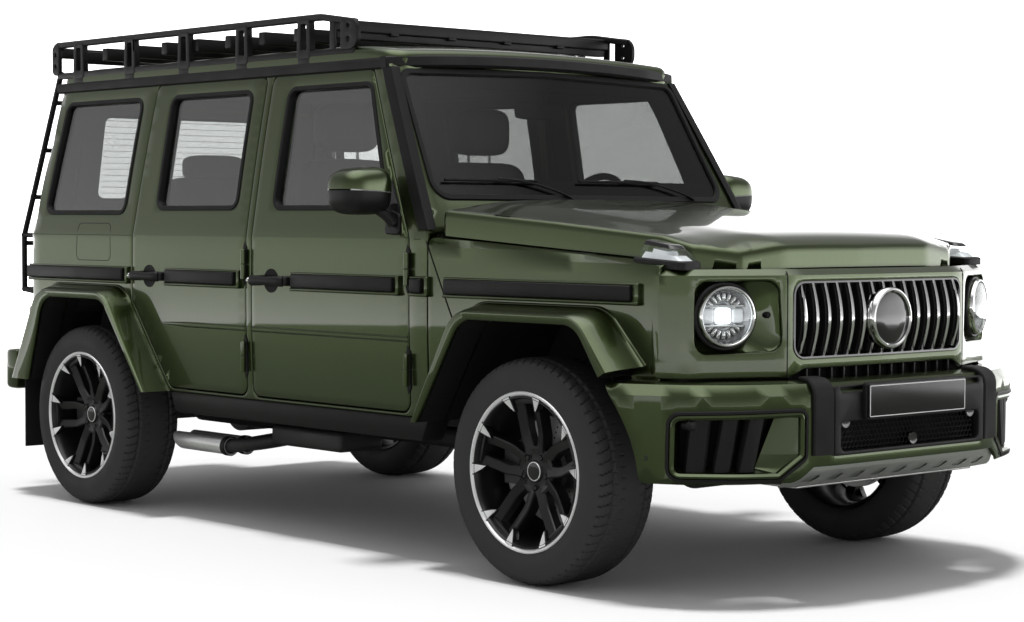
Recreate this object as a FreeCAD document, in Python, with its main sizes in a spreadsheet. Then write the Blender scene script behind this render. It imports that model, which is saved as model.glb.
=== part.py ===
# Off-road 4x4 estate car with roof rack, ladder and spare wheel.
# +X points forward, +Y to the car's left and +Z up, in millimetres.
# The origin is on the ground below the centre of the car's outer box.
import FreeCAD, Part
import math
import os

import Sketcher
from FreeCAD import Placement, Rotation, Vector

doc = FreeCAD.newDocument("OffRoadCar")
sheet = doc.addObject("Spreadsheet::Sheet", "Sizes")

SIZES = {
    # Stance and wheels
    "front_axle_x": 1498, "wheelbase": 2890, "track": 1652, "tyre_radius": 391.5,
    "tyre_width": 275, "tyre_edge_width": 26, "rim_seat_radius": 262, "rim_width": 250,
    "rim_wall": 9, "hub_face_inset": 44, "spoke_thickness": 42, "spoke_width": 30,
    "spoke_spread": 74, "hub_radius": 92, "bell_radius": 74, "disc_radius": 185,
    "disc_thickness": 34, "disc_y": 800, "kingpin_y": 750, "running_gap": 6, "seat_gap": 0.3,
    "wishbone_drop": 112, "wishbone_width": 70, "wishbone_thickness": 34, "kingpin_radius": 24,
    "hub_carrier_radius": 52, "caliper_length": 120, "caliper_width": 84, "caliper_bridge": 14,
    "caliper_side": 17,
    # Body side section, cabin outline and wheel arches
    "body_bottom_z": 526, "bottom_half_width": 862, "belt_z": 1180, "belt_half_width": 872,
    "gutter_z": 1840, "gutter_half_width": 757, "wall": 60, "firewall_thickness": 40,
    "rear_x": -1990, "rear_lean": 98, "corner_round": 50, "cowl_x": 880, "cowl_z": 1215,
    "cowl_top_z": 1262, "cowl_half_width": 700, "screen_foot_x": 805, "screen_foot_z": 1346,
    "screen_lean": 281, "floor_z": 540, "floor_thickness": 60, "panel_gap": 8,
    "glass_thickness": 5, "arch_radius": 512, "flare_height": 62, "flare_flat": 28,
    "flare_reach": 120, "flare_round": 110, "flare_outer_round": 150, "flare_seat": 26,
    "front_arch_rear_foot": 538, "front_arch_rear_top": 300, "front_arch_front_foot": 540,
    "front_arch_front_top": 285, "front_flare_rear_foot": 600, "front_flare_rear_top": 380,
    "front_flare_front_top": 300, "front_flare_front_foot": 710, "rear_arch_front_foot": 532, "rear_arch_front_top": 222,
    "rear_arch_rear_foot": 408, "rear_arch_rear_top": 278, "rear_flare_front_foot": 565,
    "rear_flare_front_top": 222, "rear_flare_rear_top": 395, "rear_flare_rear_foot": 700,
    "house_wall": 20, "rear_house_y": 660, "front_house_y": 452, "overrun": 200,
    # Doors
    "door_bottom_z": 545, "door_top_z": 1826, "skin_thickness": 14, "door_inset": 26,
    "front_door_front_x": 772, "front_door_top_x": 420, "front_door_rear_x": -219,
    "door_split": 47, "rear_door_rear_x": -1104, "rear_door_top_x": -1066,
    "door_corner": 40, "hinge_offset": 15, "hinge_radius": 9, "hinge_height": 60,
    "hinge_leaf": 27, "hinge_root": 24, "upper_hinge_z": 1010, "lower_hinge_z": 640,
    "tailgate_lower_hinge_z": 690, "window_sill_z": 1291, "window_head_z": 1772,
    "window_corner": 34, "front_window_front_x": 636, "front_window_top_x": 432,
    "front_window_rear_x": -100, "rear_window_front_x": -346, "rear_window_rear_x": -943,
    "quarter_front_x": -1189, "quarter_front_top_x": -1168, "quarter_margin": 129,
    "quarter_top_margin": 190, "quarter_sill_z": 1273, "tailgate_half_width": 715,
    "tailgate_bottom_z": 660, "tailgate_top_z": 1790, "rear_glass_half_width": 560,
    "rear_glass_sill_z": 1330, "rear_glass_head_z": 1735,
    # Roof, gutter and rack
    "roof_z": 1945, "roof_thickness": 45, "gutter_lip": 14, "gutter_height": 22,
    "gutter_channel": 39, "roof_side_z": 1900, "roof_shoulder_z": 1930,
    "roof_shoulder_y": 640, "rack_foot": 12, "rack_top_z": 2058, "rack_bottom_z": 1888,
    "rack_half_width": 752, "rack_front_x": 313, "rack_overhang": 87, "rack_bar": 28,
    "rack_post": 98, "rack_first_post": 181, "rack_last_post": 300, "rack_slot_width": 36,
    "rack_slot_height": 104, "rack_plate_length": 172, "rack_plate_height": 122,
    "rack_floor_z": 1984, "rack_floor_height": 24,
    # Nose, bonnet and wings
    "nose_overhang": 784, "nose_bow": 14, "grille_half_width": 451, "nose_corner_back": 169,
    "nose_corner_y": 800, "nose_join_back": 259, "nose_join_y": 836, "nose_wall": 60,
    "nose_bottom_z": 735, "nose_top_z": 1076, "grille_bottom_z": 800, "grille_top_z": 1060,
    "grille_round": 36, "slat_width": 14, "slat_depth": 34, "slat_bow": 12,
    "boss_radius": 92, "lamp_back": 105, "lamp_y": 674, "lamp_z": 940, "lamp_radius": 99,
    "lamp_depth": 110, "recess_depth": 26, "recess_half": 128, "bonnet_rear_x": 905,
    "bonnet_side_back": 242, "bonnet_front_back": 118, "bonnet_half_width": 742,
    "bonnet_side_half_width": 694, "bonnet_front_half_width": 487, "bonnet_edge_rear_z": 1204,
    "bonnet_edge_side_z": 1134, "bonnet_edge_front_z": 1118, "bonnet_dome_rear_z": 1322,
    "bonnet_dome_side_z": 1204, "bonnet_dome_front_z": 1178, "bonnet_dome_half_width": 520,
    "bonnet_dome_front_half_width": 420, "bonnet_dome_round": 10, "bonnet_thickness": 42,
    "bonnet_hinge_x": 889, "bonnet_hinge_z": 1285,
    "bonnet_hinge_y": 470, "wing_wall": 40, "wing_front_z": 1096, "wing_rear_z": 1188,
    "wing_gap": 10, "indicator_length": 160, "indicator_outer_y": 800,
    "indicator_inner_y": 712, "indicator_sweep": 66, "indicator_height": 82,
    "indicator_top_inset": 36,
    # Bumpers and trim
    "bumper_reach": 115, "bumper_strap_y": 387, "bumper_strap_width": 108,
    "bumper_shoulder_back": 14, "bumper_mid_back": 112, "bumper_mid_y": 730,
    "bumper_corner_back": 236, "bumper_corner_y": 868, "bumper_corner_round": 190,
    "bumper_mid_round": 400, "bumper_side_back": 457, "bumper_wall": 90,
    "bumper_bottom_z": 400, "bumper_top_z": 725, "intake_bottom_z": 425,
    "intake_top_z": 630, "intake_outer_y": 862, "intake_corner": 80, "fin_thickness": 24,
    "fin_depth": 70, "fin_spacing": 82, "mesh_half_width": 370, "mesh_bottom_z": 482,
    "mesh_top_z": 610, "plate_width": 520, "plate_height": 112, "plate_z": 657,
    "plate_thickness": 10, "plate_stand": 36, "skid_top_z": 452, "skid_bottom_z": 388,
    "skid_top_half_width": 480, "skid_half_width": 560, "skid_front_back": 22,
    "skid_length": 360, "skid_thickness": 12, "sill_height": 86, "sill_half_width": 872,
    "sill_width": 110, "sill_chamfer": 40, "rear_bumper_depth": 150,
    "rear_bumper_top_z": 650, "rear_bumper_bottom_z": 470, "rear_bumper_half_width": 940,
    "tail_lamp_inner_y": 766, "tail_lamp_outer_y": 861, "tail_lamp_bottom_z": 690,
    "tail_lamp_height": 160, "tail_lamp_depth": 44, "mudflap_thickness": 8,
    "mudflap_bottom_z": 210, "mudflap_inset": 85,
    # Underbody
    "rail_y": 410, "rail_width": 60, "rail_bottom_z": 445, "rail_top_z": 539,
    "cross_width": 90, "axle_radius": 44, "diff_radius": 120, "diff_length": 240,
    "engine_length": 720, "engine_width": 560, "engine_height": 480, "engine_x": 1330,
    "tailpipe_radius": 36, "tailpipe_spacing": 82, "tailpipe_rear_x": -884,
    "tailpipe_front_x": -480, "tailpipe_slash": 50, "tailpipe_y": 792, "tailpipe_z": 314,
    "pipe_radius": 26, "silencer_front_x": 130, "silencer_rear_x": -330,
    "silencer_inner_y": 480, "silencer_outer_y": 700, "silencer_height": 110,
    "silencer_bottom_z": 300,
    # Cabin
    "seat_width": 520, "seat_y": 365, "seat_length": 520, "seat_x": 60, "seat_base_z": 600,
    "cushion_top_z": 900, "backrest_top_z": 1420, "backrest_thickness": 130,
    "headrest_width": 250, "headrest_height": 200, "headrest_gap": 40, "bench_x": -900,
    "bench_width": 1240, "dash_rear_x": 560, "dash_bottom_z": 860, "dash_top_z": 1250,
    "dash_half_width": 790, "wheel_rim_radius": 185, "wheel_rim_tube": 16, "column_x": 470,
    "column_z": 1130,
    # Rear door furniture and mirrors
    "spare_radius": 398, "spare_face_radius": 352, "spare_depth": 285, "spare_round": 34,
    "spare_z": 985, "spare_stand_off": 158, "carrier_radius": 110, "ladder_outer_y": -700,
    "ladder_inner_y": -430, "ladder_radius": 13, "rung_radius": 11, "bend_swell": 1.5, "ladder_top_z": 1926,
    "ladder_top_stand": 92, "ladder_knee_stand": 260,
    "ladder_waist_z": 1171, "ladder_waist_stand": 345, "ladder_foot_z": 885,
    "ladder_stay_z": 1762, "ladder_rung_z": 915, "ladder_rung_step": 218, "mirror_x": 640,
    "mirror_foot_x": 700, "mirror_inner_y": 888, "mirror_outer_y": 1093,
    "mirror_bottom_z": 1285, "mirror_top_z": 1440, "mirror_depth": 130, "mirror_arm": 46,
    "mirror_drop": 60,
}
COUNTS = {"grille_slats": 15, "ladder_rungs": 5, "rack_posts": 5, "rack_bars": 8, "spokes": 5,
          "fins": 3}
ANGLES = {"lamp_yaw": 21, "steering_rake": 65}


class Size:
    """A length: its value, and the expression that binds it to the sheet."""

    def __init__(self, value, text):
        self.value = value
        self.text = text

    def __add__(self, other):
        other = as_size(other)
        return Size(self.value + other.value, f"({self.text} + {other.text})")

    def __sub__(self, other):
        other = as_size(other)
        return Size(self.value - other.value, f"({self.text} - {other.text})")

    def __mul__(self, factor):
        factor = as_size(factor)
        return Size(self.value * factor.value, f"({self.text} * {factor.text})")

    def __truediv__(self, factor):
        factor = as_size(factor)
        return Size(self.value / factor.value, f"({self.text} / {factor.text})")

    def __neg__(self):
        return Size(-self.value, f"(0 - {self.text})")

    __radd__ = __add__
    __rmul__ = __mul__


def as_size(number):
    """Gives a plain number the form of a Size."""
    if isinstance(number, Size):
        return number
    return Size(float(number), repr(float(number)))


def distance(across_size, up_size):
    """The straight distance that two sizes at right angles make."""
    return Size(math.hypot(across_size.value, up_size.value),
                f"sqrt({across_size.text} ^ 2 + {up_size.text} ^ 2)")


class SheetSizes:
    """Gives each alias of the sheet as a Size."""

    def __getattr__(self, alias):
        return Size(float(SIZES[alias]), f"Sizes.{alias}")


for row, (alias, length) in enumerate(SIZES.items(), start=1):
    sheet.set(f"A{row}", alias)
    sheet.set(f"B{row}", str(length))
    sheet.setAlias(f"B{row}", alias)
doc.recompute()
s = SheetSizes()
NODES = {}

PLANES = {
    "XY": (Rotation(), Vector(0, 0, 1), "z"),
    "XZ": (Rotation(Vector(1, 0, 0), 90), Vector(0, 1, 0), "y"),
    "YZ": (Rotation(Vector(0, 1, 0), Vector(0, 0, 1), Vector(1, 0, 0), "XYZ"), Vector(1, 0, 0), "x"),
}


def bind(obj, prop, size):
    """Binds a property of an object to a size."""
    obj.setExpression(prop, as_size(size).text)


def place(obj, x=0, y=0, z=0):
    """Puts an object's base at a point given by sizes."""
    for axis, size in zip("xyz", (x, y, z)):
        bind(obj, f"Placement.Base.{axis}", size)


def outline(name, plane, points, offset=0):
    """A closed sketch of straight sides, with corners rounded where a third value is given."""
    sketch = doc.addObject("Sketcher::SketchObject", name + "_outline")
    rotation, _, normal = PLANES[plane]
    sketch.Placement = Placement(Vector(), rotation)
    bind(sketch, f"Placement.Base.{normal}", offset)
    corners = [[as_size(value) for value in point] for point in points]
    count = len(corners)
    for index, here in enumerate(corners):
        there = corners[(index + 1) % count]
        ends = [Vector(corner[0].value, corner[1].value, 0) for corner in (here, there)]
        sketch.addGeometry(Part.LineSegment(*ends), False)
    for index in range(count):
        sketch.addConstraint(Sketcher.Constraint("Coincident", index, 2, (index + 1) % count, 1))
    for index, corner in enumerate(corners):
        for kind, size in zip(("DistanceX", "DistanceY"), corner):
            number = sketch.addConstraint(Sketcher.Constraint(kind, -1, 1, index, 1, size.value))
            bind(sketch, f"Constraints[{number}]", size)
    for index, corner in enumerate(corners):
        if len(corner) > 2:
            sketch.fillet((index - 1) % count, 2, corner[2].value, True, True)
            arc = max(g for g in range(sketch.GeometryCount)
                      if isinstance(sketch.Geometry[g], Part.ArcOfCircle))
            number = sketch.addConstraint(Sketcher.Constraint("Radius", arc, corner[2].value))
            bind(sketch, f"Constraints[{number}]", corner[2])
    return sketch


def prism(name, plane, points, start, end):
    """An outline carried straight along its plane's normal, from start to end."""
    solid = doc.addObject("Part::Extrusion", name)
    solid.Base = outline(name, plane, points, start)
    solid.DirMode = "Custom"
    solid.Dir = PLANES[plane][1]
    solid.Solid = True
    bind(solid, "LengthFwd", as_size(end) - start)
    return solid


def box(name, x0, x1, y0, y1, z0, z1):
    """A box between two corners."""
    solid = doc.addObject("Part::Box", name)
    for prop, low, high in (("Length", x0, x1), ("Width", y0, y1), ("Height", z0, z1)):
        bind(solid, prop, as_size(high) - low)
    place(solid, x0, y0, z0)
    return solid


TURNS = {"x": Rotation(Vector(0, 1, 0), 90), "y": Rotation(Vector(1, 0, 0), -90),
         "z": Rotation()}


def cylinder(name, axis, radius, start, end, first, second):
    """A cylinder along an axis, with its centre line given on the other two axes in order."""
    solid = doc.addObject("Part::Cylinder", name)
    bind(solid, "Radius", radius)
    bind(solid, "Height", as_size(end) - start)
    solid.Placement = Placement(Vector(), TURNS[axis])
    places = {"x": (start, first, second), "y": (first, start, second),
              "z": (first, second, start)}
    place(solid, *places[axis])
    return solid


def cut(name, base, *tools):
    """A base with tools taken away."""
    solid = doc.addObject("Part::Cut", name)
    solid.Base = base
    solid.Tool = tools[0] if len(tools) == 1 else group(name + "_tools", *tools)
    return solid


def group(name, *parts):
    """Solids joined into one."""
    solid = doc.addObject("Part::MultiFuse", name)
    solid.Shapes = list(parts)
    return solid


def common(name, *parts):
    """What all the solids share."""
    solid = doc.addObject("Part::MultiCommon", name)
    solid.Shapes = list(parts)
    return solid


def mirrored(part):
    """The same piece on the other side of the car."""
    solid = doc.addObject("Part::Mirroring", part.Name + "_mirrored")
    solid.Source = part
    solid.Normal = Vector(0, 1, 0)
    return solid


def separate(name, *parts):
    """Solids that stay apart, kept as one piece."""
    solid = doc.addObject("Part::Compound", name)
    solid.Links = list(parts)
    return solid


def lofted(name, *sections):
    """A solid of straight rules between outlines with as many corners."""
    solid = doc.addObject("Part::Loft", name)
    solid.Sections = list(sections)
    solid.Solid = True
    solid.Ruled = True
    return solid


def bent_tube(name, radius, y, points):
    """A round tube in a plane along the car, of straight runs with a ball at each bend, which
    stands a little proud so that the runs join it cleanly."""
    parts = []
    for index, (low, high) in enumerate(zip(points, points[1:])):
        run = doc.addObject("Part::Cylinder", f"{name}_run_{index}")
        dx, dz = as_size(high[0]) - low[0], as_size(high[1]) - low[1]
        bind(run, "Radius", radius)
        bind(run, "Height", distance(dx, dz))
        turn = Rotation(Vector(0, 0, 1), Vector(dx.value, 0, dz.value))
        run.Placement = Placement(Vector(), turn)
        place(run, low[0], y, low[1])
        parts.append(run)
        if index:
            ball = doc.addObject("Part::Sphere", f"{name}_bend_{index}")
            bind(ball, "Radius", radius + s.bend_swell)
            place(ball, low[0], y, low[1])
            parts.append(ball)
    return group(name, *parts)


def node(label, part):
    """Marks a finished sub-part under the name of its file."""
    part.Label = label
    NODES[label] = part
    return part


rear_axle_x = s.front_axle_x - s.wheelbase
wheel_y = s.track / 2
tyre_inner_y = wheel_y - s.tyre_width / 2
screen_slope = s.screen_lean / (s.gutter_z - s.screen_foot_z)
far = s.overrun * 6
rear_top_x = s.rear_x + s.rear_lean
rack_rear_x = rear_top_x - s.rack_overhang
nose_x = s.front_axle_x + s.nose_overhang
nose_side_x = nose_x - s.nose_bow
nose_corner_x = nose_x - s.nose_corner_back
nose_join_x = nose_x - s.nose_join_back
bumper_x = nose_x + s.bumper_reach
bumper_shoulder_x = bumper_x - s.bumper_shoulder_back
bumper_shoulder_y = s.bumper_strap_y + s.bumper_strap_width
bumper_side_x = bumper_x - s.bumper_side_back
spare_front_x = s.rear_x - s.spare_stand_off
flare_half_width = s.belt_half_width + s.flare_reach
arch_top_z = s.tyre_radius + s.arch_radius
rear_door_front_x = s.front_door_rear_x - s.door_split


def screen_x(z):
    """The windscreen's place along the car at a height."""
    return s.screen_foot_x + (s.screen_foot_z - z) * screen_slope


def side_section(name, inset_out, inset_in, start, end):
    """The left side wall between two depths below its outer face, carried along the car."""
    return prism(name, "YZ", [
        (s.bottom_half_width - inset_out, s.body_bottom_z),
        (s.belt_half_width - inset_out, s.belt_z),
        (s.gutter_half_width - inset_out, s.gutter_z),
        (s.gutter_half_width - inset_in, s.gutter_z),
        (s.belt_half_width - inset_in, s.belt_z),
        (s.bottom_half_width - inset_in, s.body_bottom_z)], start, end)


def body_fill(name, start, end):
    """All that lies inside the left side's outer face, with the gap that a seated piece keeps."""
    low = s.body_bottom_z - s.overrun
    return prism(name, "YZ", [
        (0, low), (s.bottom_half_width + s.seat_gap, low),
        (s.bottom_half_width + s.seat_gap, s.body_bottom_z),
        (s.belt_half_width + s.seat_gap, s.belt_z),
        (s.gutter_half_width + s.seat_gap, s.gutter_z), (0, s.gutter_z)], start, end)


def across(name, points):
    """A side-view outline carried right through the car."""
    return prism(name, "XZ", points, -far, far)


def end_view_points(shrink):
    """The body seen from behind, made smaller by a depth."""
    right = [(s.bottom_half_width - shrink, s.body_bottom_z), (s.belt_half_width - shrink, s.belt_z),
             (s.gutter_half_width - shrink, s.gutter_z)]
    return right + [(-y, z) for y, z in reversed(right)]


def plan_block(name):
    """The body's outer form seen from above at three heights, with its rear corners rounded."""
    levels = [(s.body_bottom_z, s.bottom_half_width, s.rear_x), (s.belt_z, s.belt_half_width, s.rear_x),
              (s.gutter_z, s.gutter_half_width, rear_top_x)]
    sections = []
    for index, (z, half, rear) in enumerate(levels):
        sections.append(outline(f"{name}_{index}", "XY", [
            (rear, half, s.corner_round), (rear, -half, s.corner_round), (s.cowl_x, -half),
            (s.cowl_x, half)], z))
    return lofted(name, *sections)


def flare_line_x(z):
    """The front edge of the rear flare, where it meets the body, at a height."""
    foot = rear_axle_x + s.rear_flare_front_foot
    top = rear_axle_x + s.rear_flare_front_top
    rise = arch_top_z + s.flare_height - s.body_bottom_z
    return foot + (top - foot) * ((z - s.body_bottom_z) / rise)


def door_points(grow, front):
    """A side door's outline, made larger by a gap."""
    bottom, top = s.door_bottom_z - grow, s.door_top_z + grow
    if front:
        return [(s.front_door_rear_x - grow, bottom, s.door_corner),
                (s.front_door_front_x + grow, bottom, s.door_corner),
                (s.front_door_front_x + grow, s.belt_z),
                (s.front_door_top_x + grow, top, s.door_corner),
                (s.front_door_rear_x - grow, top, s.door_corner)]
    edge = s.panel_gap * 2 - grow
    rear = s.rear_door_rear_x - grow
    slope_top = arch_top_z
    return [(flare_line_x(bottom) + edge, bottom, s.door_corner),
            (rear_door_front_x + grow, bottom, s.door_corner),
            (rear_door_front_x + grow, top, s.door_corner),
            (s.rear_door_top_x - grow, top, s.door_corner), (rear, s.belt_z),
            (flare_line_x(slope_top) + edge, slope_top)]


def window_points(shrink, front):
    """A side door's window, made smaller by a gap."""
    sill, head = s.window_sill_z + shrink, s.window_head_z - shrink
    corner = s.window_corner - shrink
    if front:
        return [(s.front_window_rear_x + shrink, sill, corner),
                (s.front_window_front_x - shrink, sill, corner),
                (s.front_window_top_x - shrink, head, corner),
                (s.front_window_rear_x + shrink, head, corner)]
    return [(s.rear_window_rear_x + shrink, sill, corner),
            (s.rear_window_front_x - shrink, sill, corner),
            (s.rear_window_front_x - shrink, head, corner),
            (s.rear_window_rear_x + shrink, head, corner)]


def quarter_points():
    """The quarter window, whose rear edge leans with the body's end."""
    sill, head, corner = s.quarter_sill_z, s.window_head_z, s.window_corner
    return [(s.rear_x + s.quarter_margin, sill, corner), (s.quarter_front_x, sill, corner),
            (s.quarter_front_top_x, head, corner), (s.rear_x + s.quarter_top_margin, head, corner)]


def tailgate_points(grow):
    """The rear door seen from behind, made larger by a gap."""
    half = s.tailgate_half_width + grow
    top_half = half - s.door_corner
    bottom, top = s.tailgate_bottom_z - grow, s.tailgate_top_z + grow
    return [(-half, bottom, s.door_corner), (half, bottom, s.door_corner), (half, s.belt_z),
            (top_half, top, s.door_corner), (-top_half, top, s.door_corner), (-half, s.belt_z)]


def arch_points(front, grow):
    """A wheel opening seen from the side, made larger by a depth."""
    axle, name = (s.front_axle_x, "front_arch") if front else (rear_axle_x, "rear_arch")
    top, low = arch_top_z + grow, s.body_bottom_z - s.overrun
    rise = (s.overrun + arch_top_z - s.body_bottom_z) / (arch_top_z - s.body_bottom_z)
    ends = []
    for side in ("front", "rear"):
        tip, foot = getattr(s, f"{name}_{side}_top"), getattr(s, f"{name}_{side}_foot")
        ends.append((tip + grow, tip + (foot - tip) * rise + grow))
    (front_top, front_low), (rear_top, rear_low) = ends
    corner = s.flare_round + grow
    return [(axle - rear_low, low), (axle + front_low, low), (axle + front_top, top, corner),
            (axle - rear_top, top, corner)]


def flare_points(front):
    """A flare's outline on the body's side."""
    axle, name = (s.front_axle_x, "front_flare") if front else (rear_axle_x, "rear_flare")
    top, low = arch_top_z + s.flare_height, s.body_bottom_z - s.overrun
    rise = (s.overrun + top - s.body_bottom_z) / (top - s.body_bottom_z)
    ends = []
    for side in ("front", "rear"):
        tip, foot = getattr(s, f"{name}_{side}_top"), getattr(s, f"{name}_{side}_foot")
        ends.append((tip, tip + (foot - tip) * rise))
    (front_top, front_low), (rear_top, rear_low) = ends
    return [(axle - rear_low, low), (axle + front_low, low),
            (axle + front_top, top, s.flare_outer_round), (axle - rear_top, top, s.flare_outer_round)]


def side_walls():
    """The two side walls with their pillars, open for the doors, the quarter windows and the wheels."""
    cabin = across("cabin", [
        (s.rear_x, s.body_bottom_z), (s.cowl_x, s.body_bottom_z), (s.cowl_x, s.cowl_z),
        (screen_x(s.gutter_z), s.gutter_z), (rear_top_x, s.gutter_z), (s.rear_x, s.belt_z)])
    wall = side_section("side_wall", 0, s.wall, s.rear_x, s.cowl_x)
    holes = [across("front_door_hole", door_points(s.panel_gap, True)),
             across("rear_door_hole", door_points(s.panel_gap, False)),
             across("quarter_hole", quarter_points()),
             across("rear_arch", arch_points(False, 0))]
    side = cut("side", common("side_whole", wall, cabin, plan_block("body_plan")), *holes)
    hinges = []
    for x, door in ((s.front_door_front_x, "front"), (rear_door_front_x, "rear")):
        for level, z in (("upper", s.upper_hinge_z), ("lower", s.lower_hinge_z)):
            hinges.append(hinge(f"{door}_{level}_pillar_hinge", x + s.panel_gap, z, False))
    left = group("side_left", side, *hinges)
    return node("side_walls", separate("side_walls", left, mirrored(left)))


def floor_pan():
    """The floor with the rear wheel houses, the firewall, the cowl and its bonnet hinges."""
    inner_y = s.bottom_half_width - s.wall
    floor = box("floor", s.rear_x + s.wall, s.cowl_x, -inner_y, inner_y, s.floor_z,
                s.floor_z + s.floor_thickness)
    firewall = box("firewall", s.cowl_x - s.firewall_thickness, s.cowl_x, -inner_y, inner_y,
                   s.floor_z, s.cowl_z)
    outer = prism("house_outer", "XZ", arch_points(False, s.house_wall), s.rear_house_y - s.house_wall,
                  inner_y)
    inner = prism("house_inner", "XZ", arch_points(False, 0), s.rear_house_y, inner_y + s.overrun)
    below = box("below_floor", s.rear_x - s.overrun * 3, s.cowl_x, 0, s.belt_half_width,
                -s.overrun * 2, s.floor_z)
    behind = box("behind_floor", s.rear_x - s.overrun * 3, s.rear_x + s.wall, 0, s.belt_half_width,
                 0, s.belt_z)
    house = cut("house_shell", outer, inner, below, behind)
    floor = cut("floor_trimmed", floor, inner, mirrored(inner))
    cowl = prism("cowl", "XZ", [
        (s.cowl_x - s.firewall_thickness, s.cowl_z), (s.cowl_x, s.cowl_z), (s.cowl_x, s.cowl_top_z),
        (screen_x(s.cowl_top_z) - s.glass_thickness, s.cowl_top_z)], -s.cowl_half_width,
        s.cowl_half_width)
    hinges = [bonnet_hinge(f"cowl_hinge_{side + 1}", side, False) for side in (-1, 1)]
    return node("floor_pan", group("floor_pan", floor, firewall, house, mirrored(house), cowl, *hinges))


def rear_frame():
    """The frame round the rear door, between the side walls."""
    wall = prism("rear_wall_section", "XZ", [
        (s.rear_x, s.floor_z), (s.rear_x + s.wall, s.floor_z), (s.rear_x + s.wall, s.belt_z),
        (rear_top_x + s.wall, s.gutter_z), (rear_top_x, s.gutter_z), (s.rear_x, s.belt_z)],
        -s.belt_half_width, s.belt_half_width)
    view = prism("body_end_view", "YZ", end_view_points(s.wall), s.rear_x, rear_top_x + s.wall)
    hole = prism("tailgate_hole", "YZ", tailgate_points(s.panel_gap), s.rear_x - s.overrun,
                 s.rear_x + s.overrun)
    frame = cut("rear_frame_slab", common("rear_slab", wall, view), hole)
    hinges = [tailgate_hinge(f"tailgate_{level}_pillar_hinge", z, False)
              for level, z in (("upper", s.upper_hinge_z), ("lower", s.tailgate_lower_hinge_z))]
    return node("rear_frame", group("rear_frame", frame, *hinges))


def roof_panel():
    """The roof, with its crown, the gutter round it and the header above the windscreen."""
    half = s.gutter_half_width + s.gutter_lip
    edge = half - s.gutter_channel
    gutter_top = s.gutter_z + s.gutter_height
    section = prism("roof_section", "YZ", [
        (-half, s.gutter_z), (half, s.gutter_z), (half, gutter_top), (edge, gutter_top),
        (edge - s.gutter_lip, s.roof_side_z), (s.roof_shoulder_y, s.roof_shoulder_z),
        (0, s.roof_z, s.roof_z * 2), (-s.roof_shoulder_y, s.roof_shoulder_z),
        (-edge + s.gutter_lip, s.roof_side_z), (-edge, gutter_top), (-half, gutter_top)],
        rear_top_x - s.gutter_lip, screen_x(s.gutter_z) + s.gutter_lip)
    inner = s.roof_shoulder_y - s.roof_thickness
    hollow = box("roof_hollow", rear_top_x + s.wall, screen_x(s.gutter_z) - s.wall, -inner, inner,
                 s.gutter_z - s.overrun, s.roof_shoulder_z - s.roof_thickness)
    header = common("header", across("header_section", [
        (screen_x(s.gutter_z), s.gutter_z), (screen_x(s.window_head_z), s.window_head_z),
        (screen_x(s.window_head_z) - s.wall, s.window_head_z),
        (screen_x(s.gutter_z) - s.wall, s.gutter_z)]),
        prism("header_view", "YZ", end_view_points(s.wall + s.seat_gap), 0, s.cowl_x))
    return node("roof_panel", group("roof_panel", cut("roof_skin", section, hollow), header))


def fixed_glass():
    """The windscreen and the two quarter windows."""
    foot_z = s.cowl_top_z
    slab = across("screen_slab", [
        (screen_x(foot_z), foot_z), (screen_x(s.window_head_z), s.window_head_z),
        (screen_x(s.window_head_z) - s.glass_thickness, s.window_head_z),
        (screen_x(foot_z) - s.glass_thickness, foot_z)])
    inner = prism("screen_view", "YZ", end_view_points(s.wall), 0, s.cowl_x)
    pane = side_section("quarter_pane", s.skin_thickness, s.skin_thickness + s.glass_thickness,
                        s.rear_x, s.rear_door_rear_x)
    quarter = common("quarter_glass", pane, across("quarter_shape", quarter_points()))
    return node("fixed_glass", separate("fixed_glass", common("screen", slab, inner), quarter,
                                        mirrored(quarter)))


def hinge(name, x, z, on_door):
    """Half of a lift-off hinge on the left: the pillar's lower half or the door's upper half."""
    low = z + s.hinge_height + s.seat_gap if on_door else z
    y = s.belt_half_width + s.hinge_offset
    barrel = cylinder(name + "_barrel", "z", s.hinge_radius, low, low + s.hinge_height, x, y)
    start, end = (x - s.hinge_leaf, x) if on_door else (x, x + s.hinge_leaf)
    leaf = box(name + "_leaf", start, end, y - s.hinge_root, y, low, low + s.hinge_height)
    return group(name, barrel, leaf)


def tailgate_hinge(name, z, on_door):
    """Half of a lift-off hinge at the rear door's right edge."""
    low = z + s.hinge_height + s.seat_gap if on_door else z
    x = s.rear_x - s.hinge_offset
    y = -(s.tailgate_half_width + s.panel_gap)
    barrel = cylinder(name + "_barrel", "z", s.hinge_radius, low, low + s.hinge_height, x, y)
    start, end = (y, y + s.hinge_leaf) if on_door else (y - s.hinge_leaf, y)
    leaf = box(name + "_leaf", x, x + s.hinge_root, start, end, low, low + s.hinge_height)
    return group(name, barrel, leaf)


def bonnet_hinge(name, side, on_bonnet):
    """Half of a bonnet hinge at the cowl, on one side of the car."""
    middle = s.bonnet_hinge_y + s.hinge_height / 2
    low = middle + s.seat_gap if on_bonnet else s.bonnet_hinge_y
    high = middle + s.hinge_height / 2 if on_bonnet else middle - s.seat_gap
    if side < 0:
        low, high = -high, -low
    barrel = cylinder(name + "_barrel", "y", s.hinge_radius, low, high, s.bonnet_hinge_x,
                      s.bonnet_hinge_z)
    if on_bonnet:
        leaf = box(name + "_leaf", s.bonnet_hinge_x, s.bonnet_rear_x + s.hinge_leaf, low, high,
                   s.bonnet_hinge_z - s.hinge_radius, s.bonnet_hinge_z)
    else:
        leaf = box(name + "_leaf", s.cowl_x - s.firewall_thickness / 2, s.bonnet_hinge_x, low, high,
                   s.cowl_z, s.bonnet_hinge_z)
    return group(name, barrel, leaf)


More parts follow.
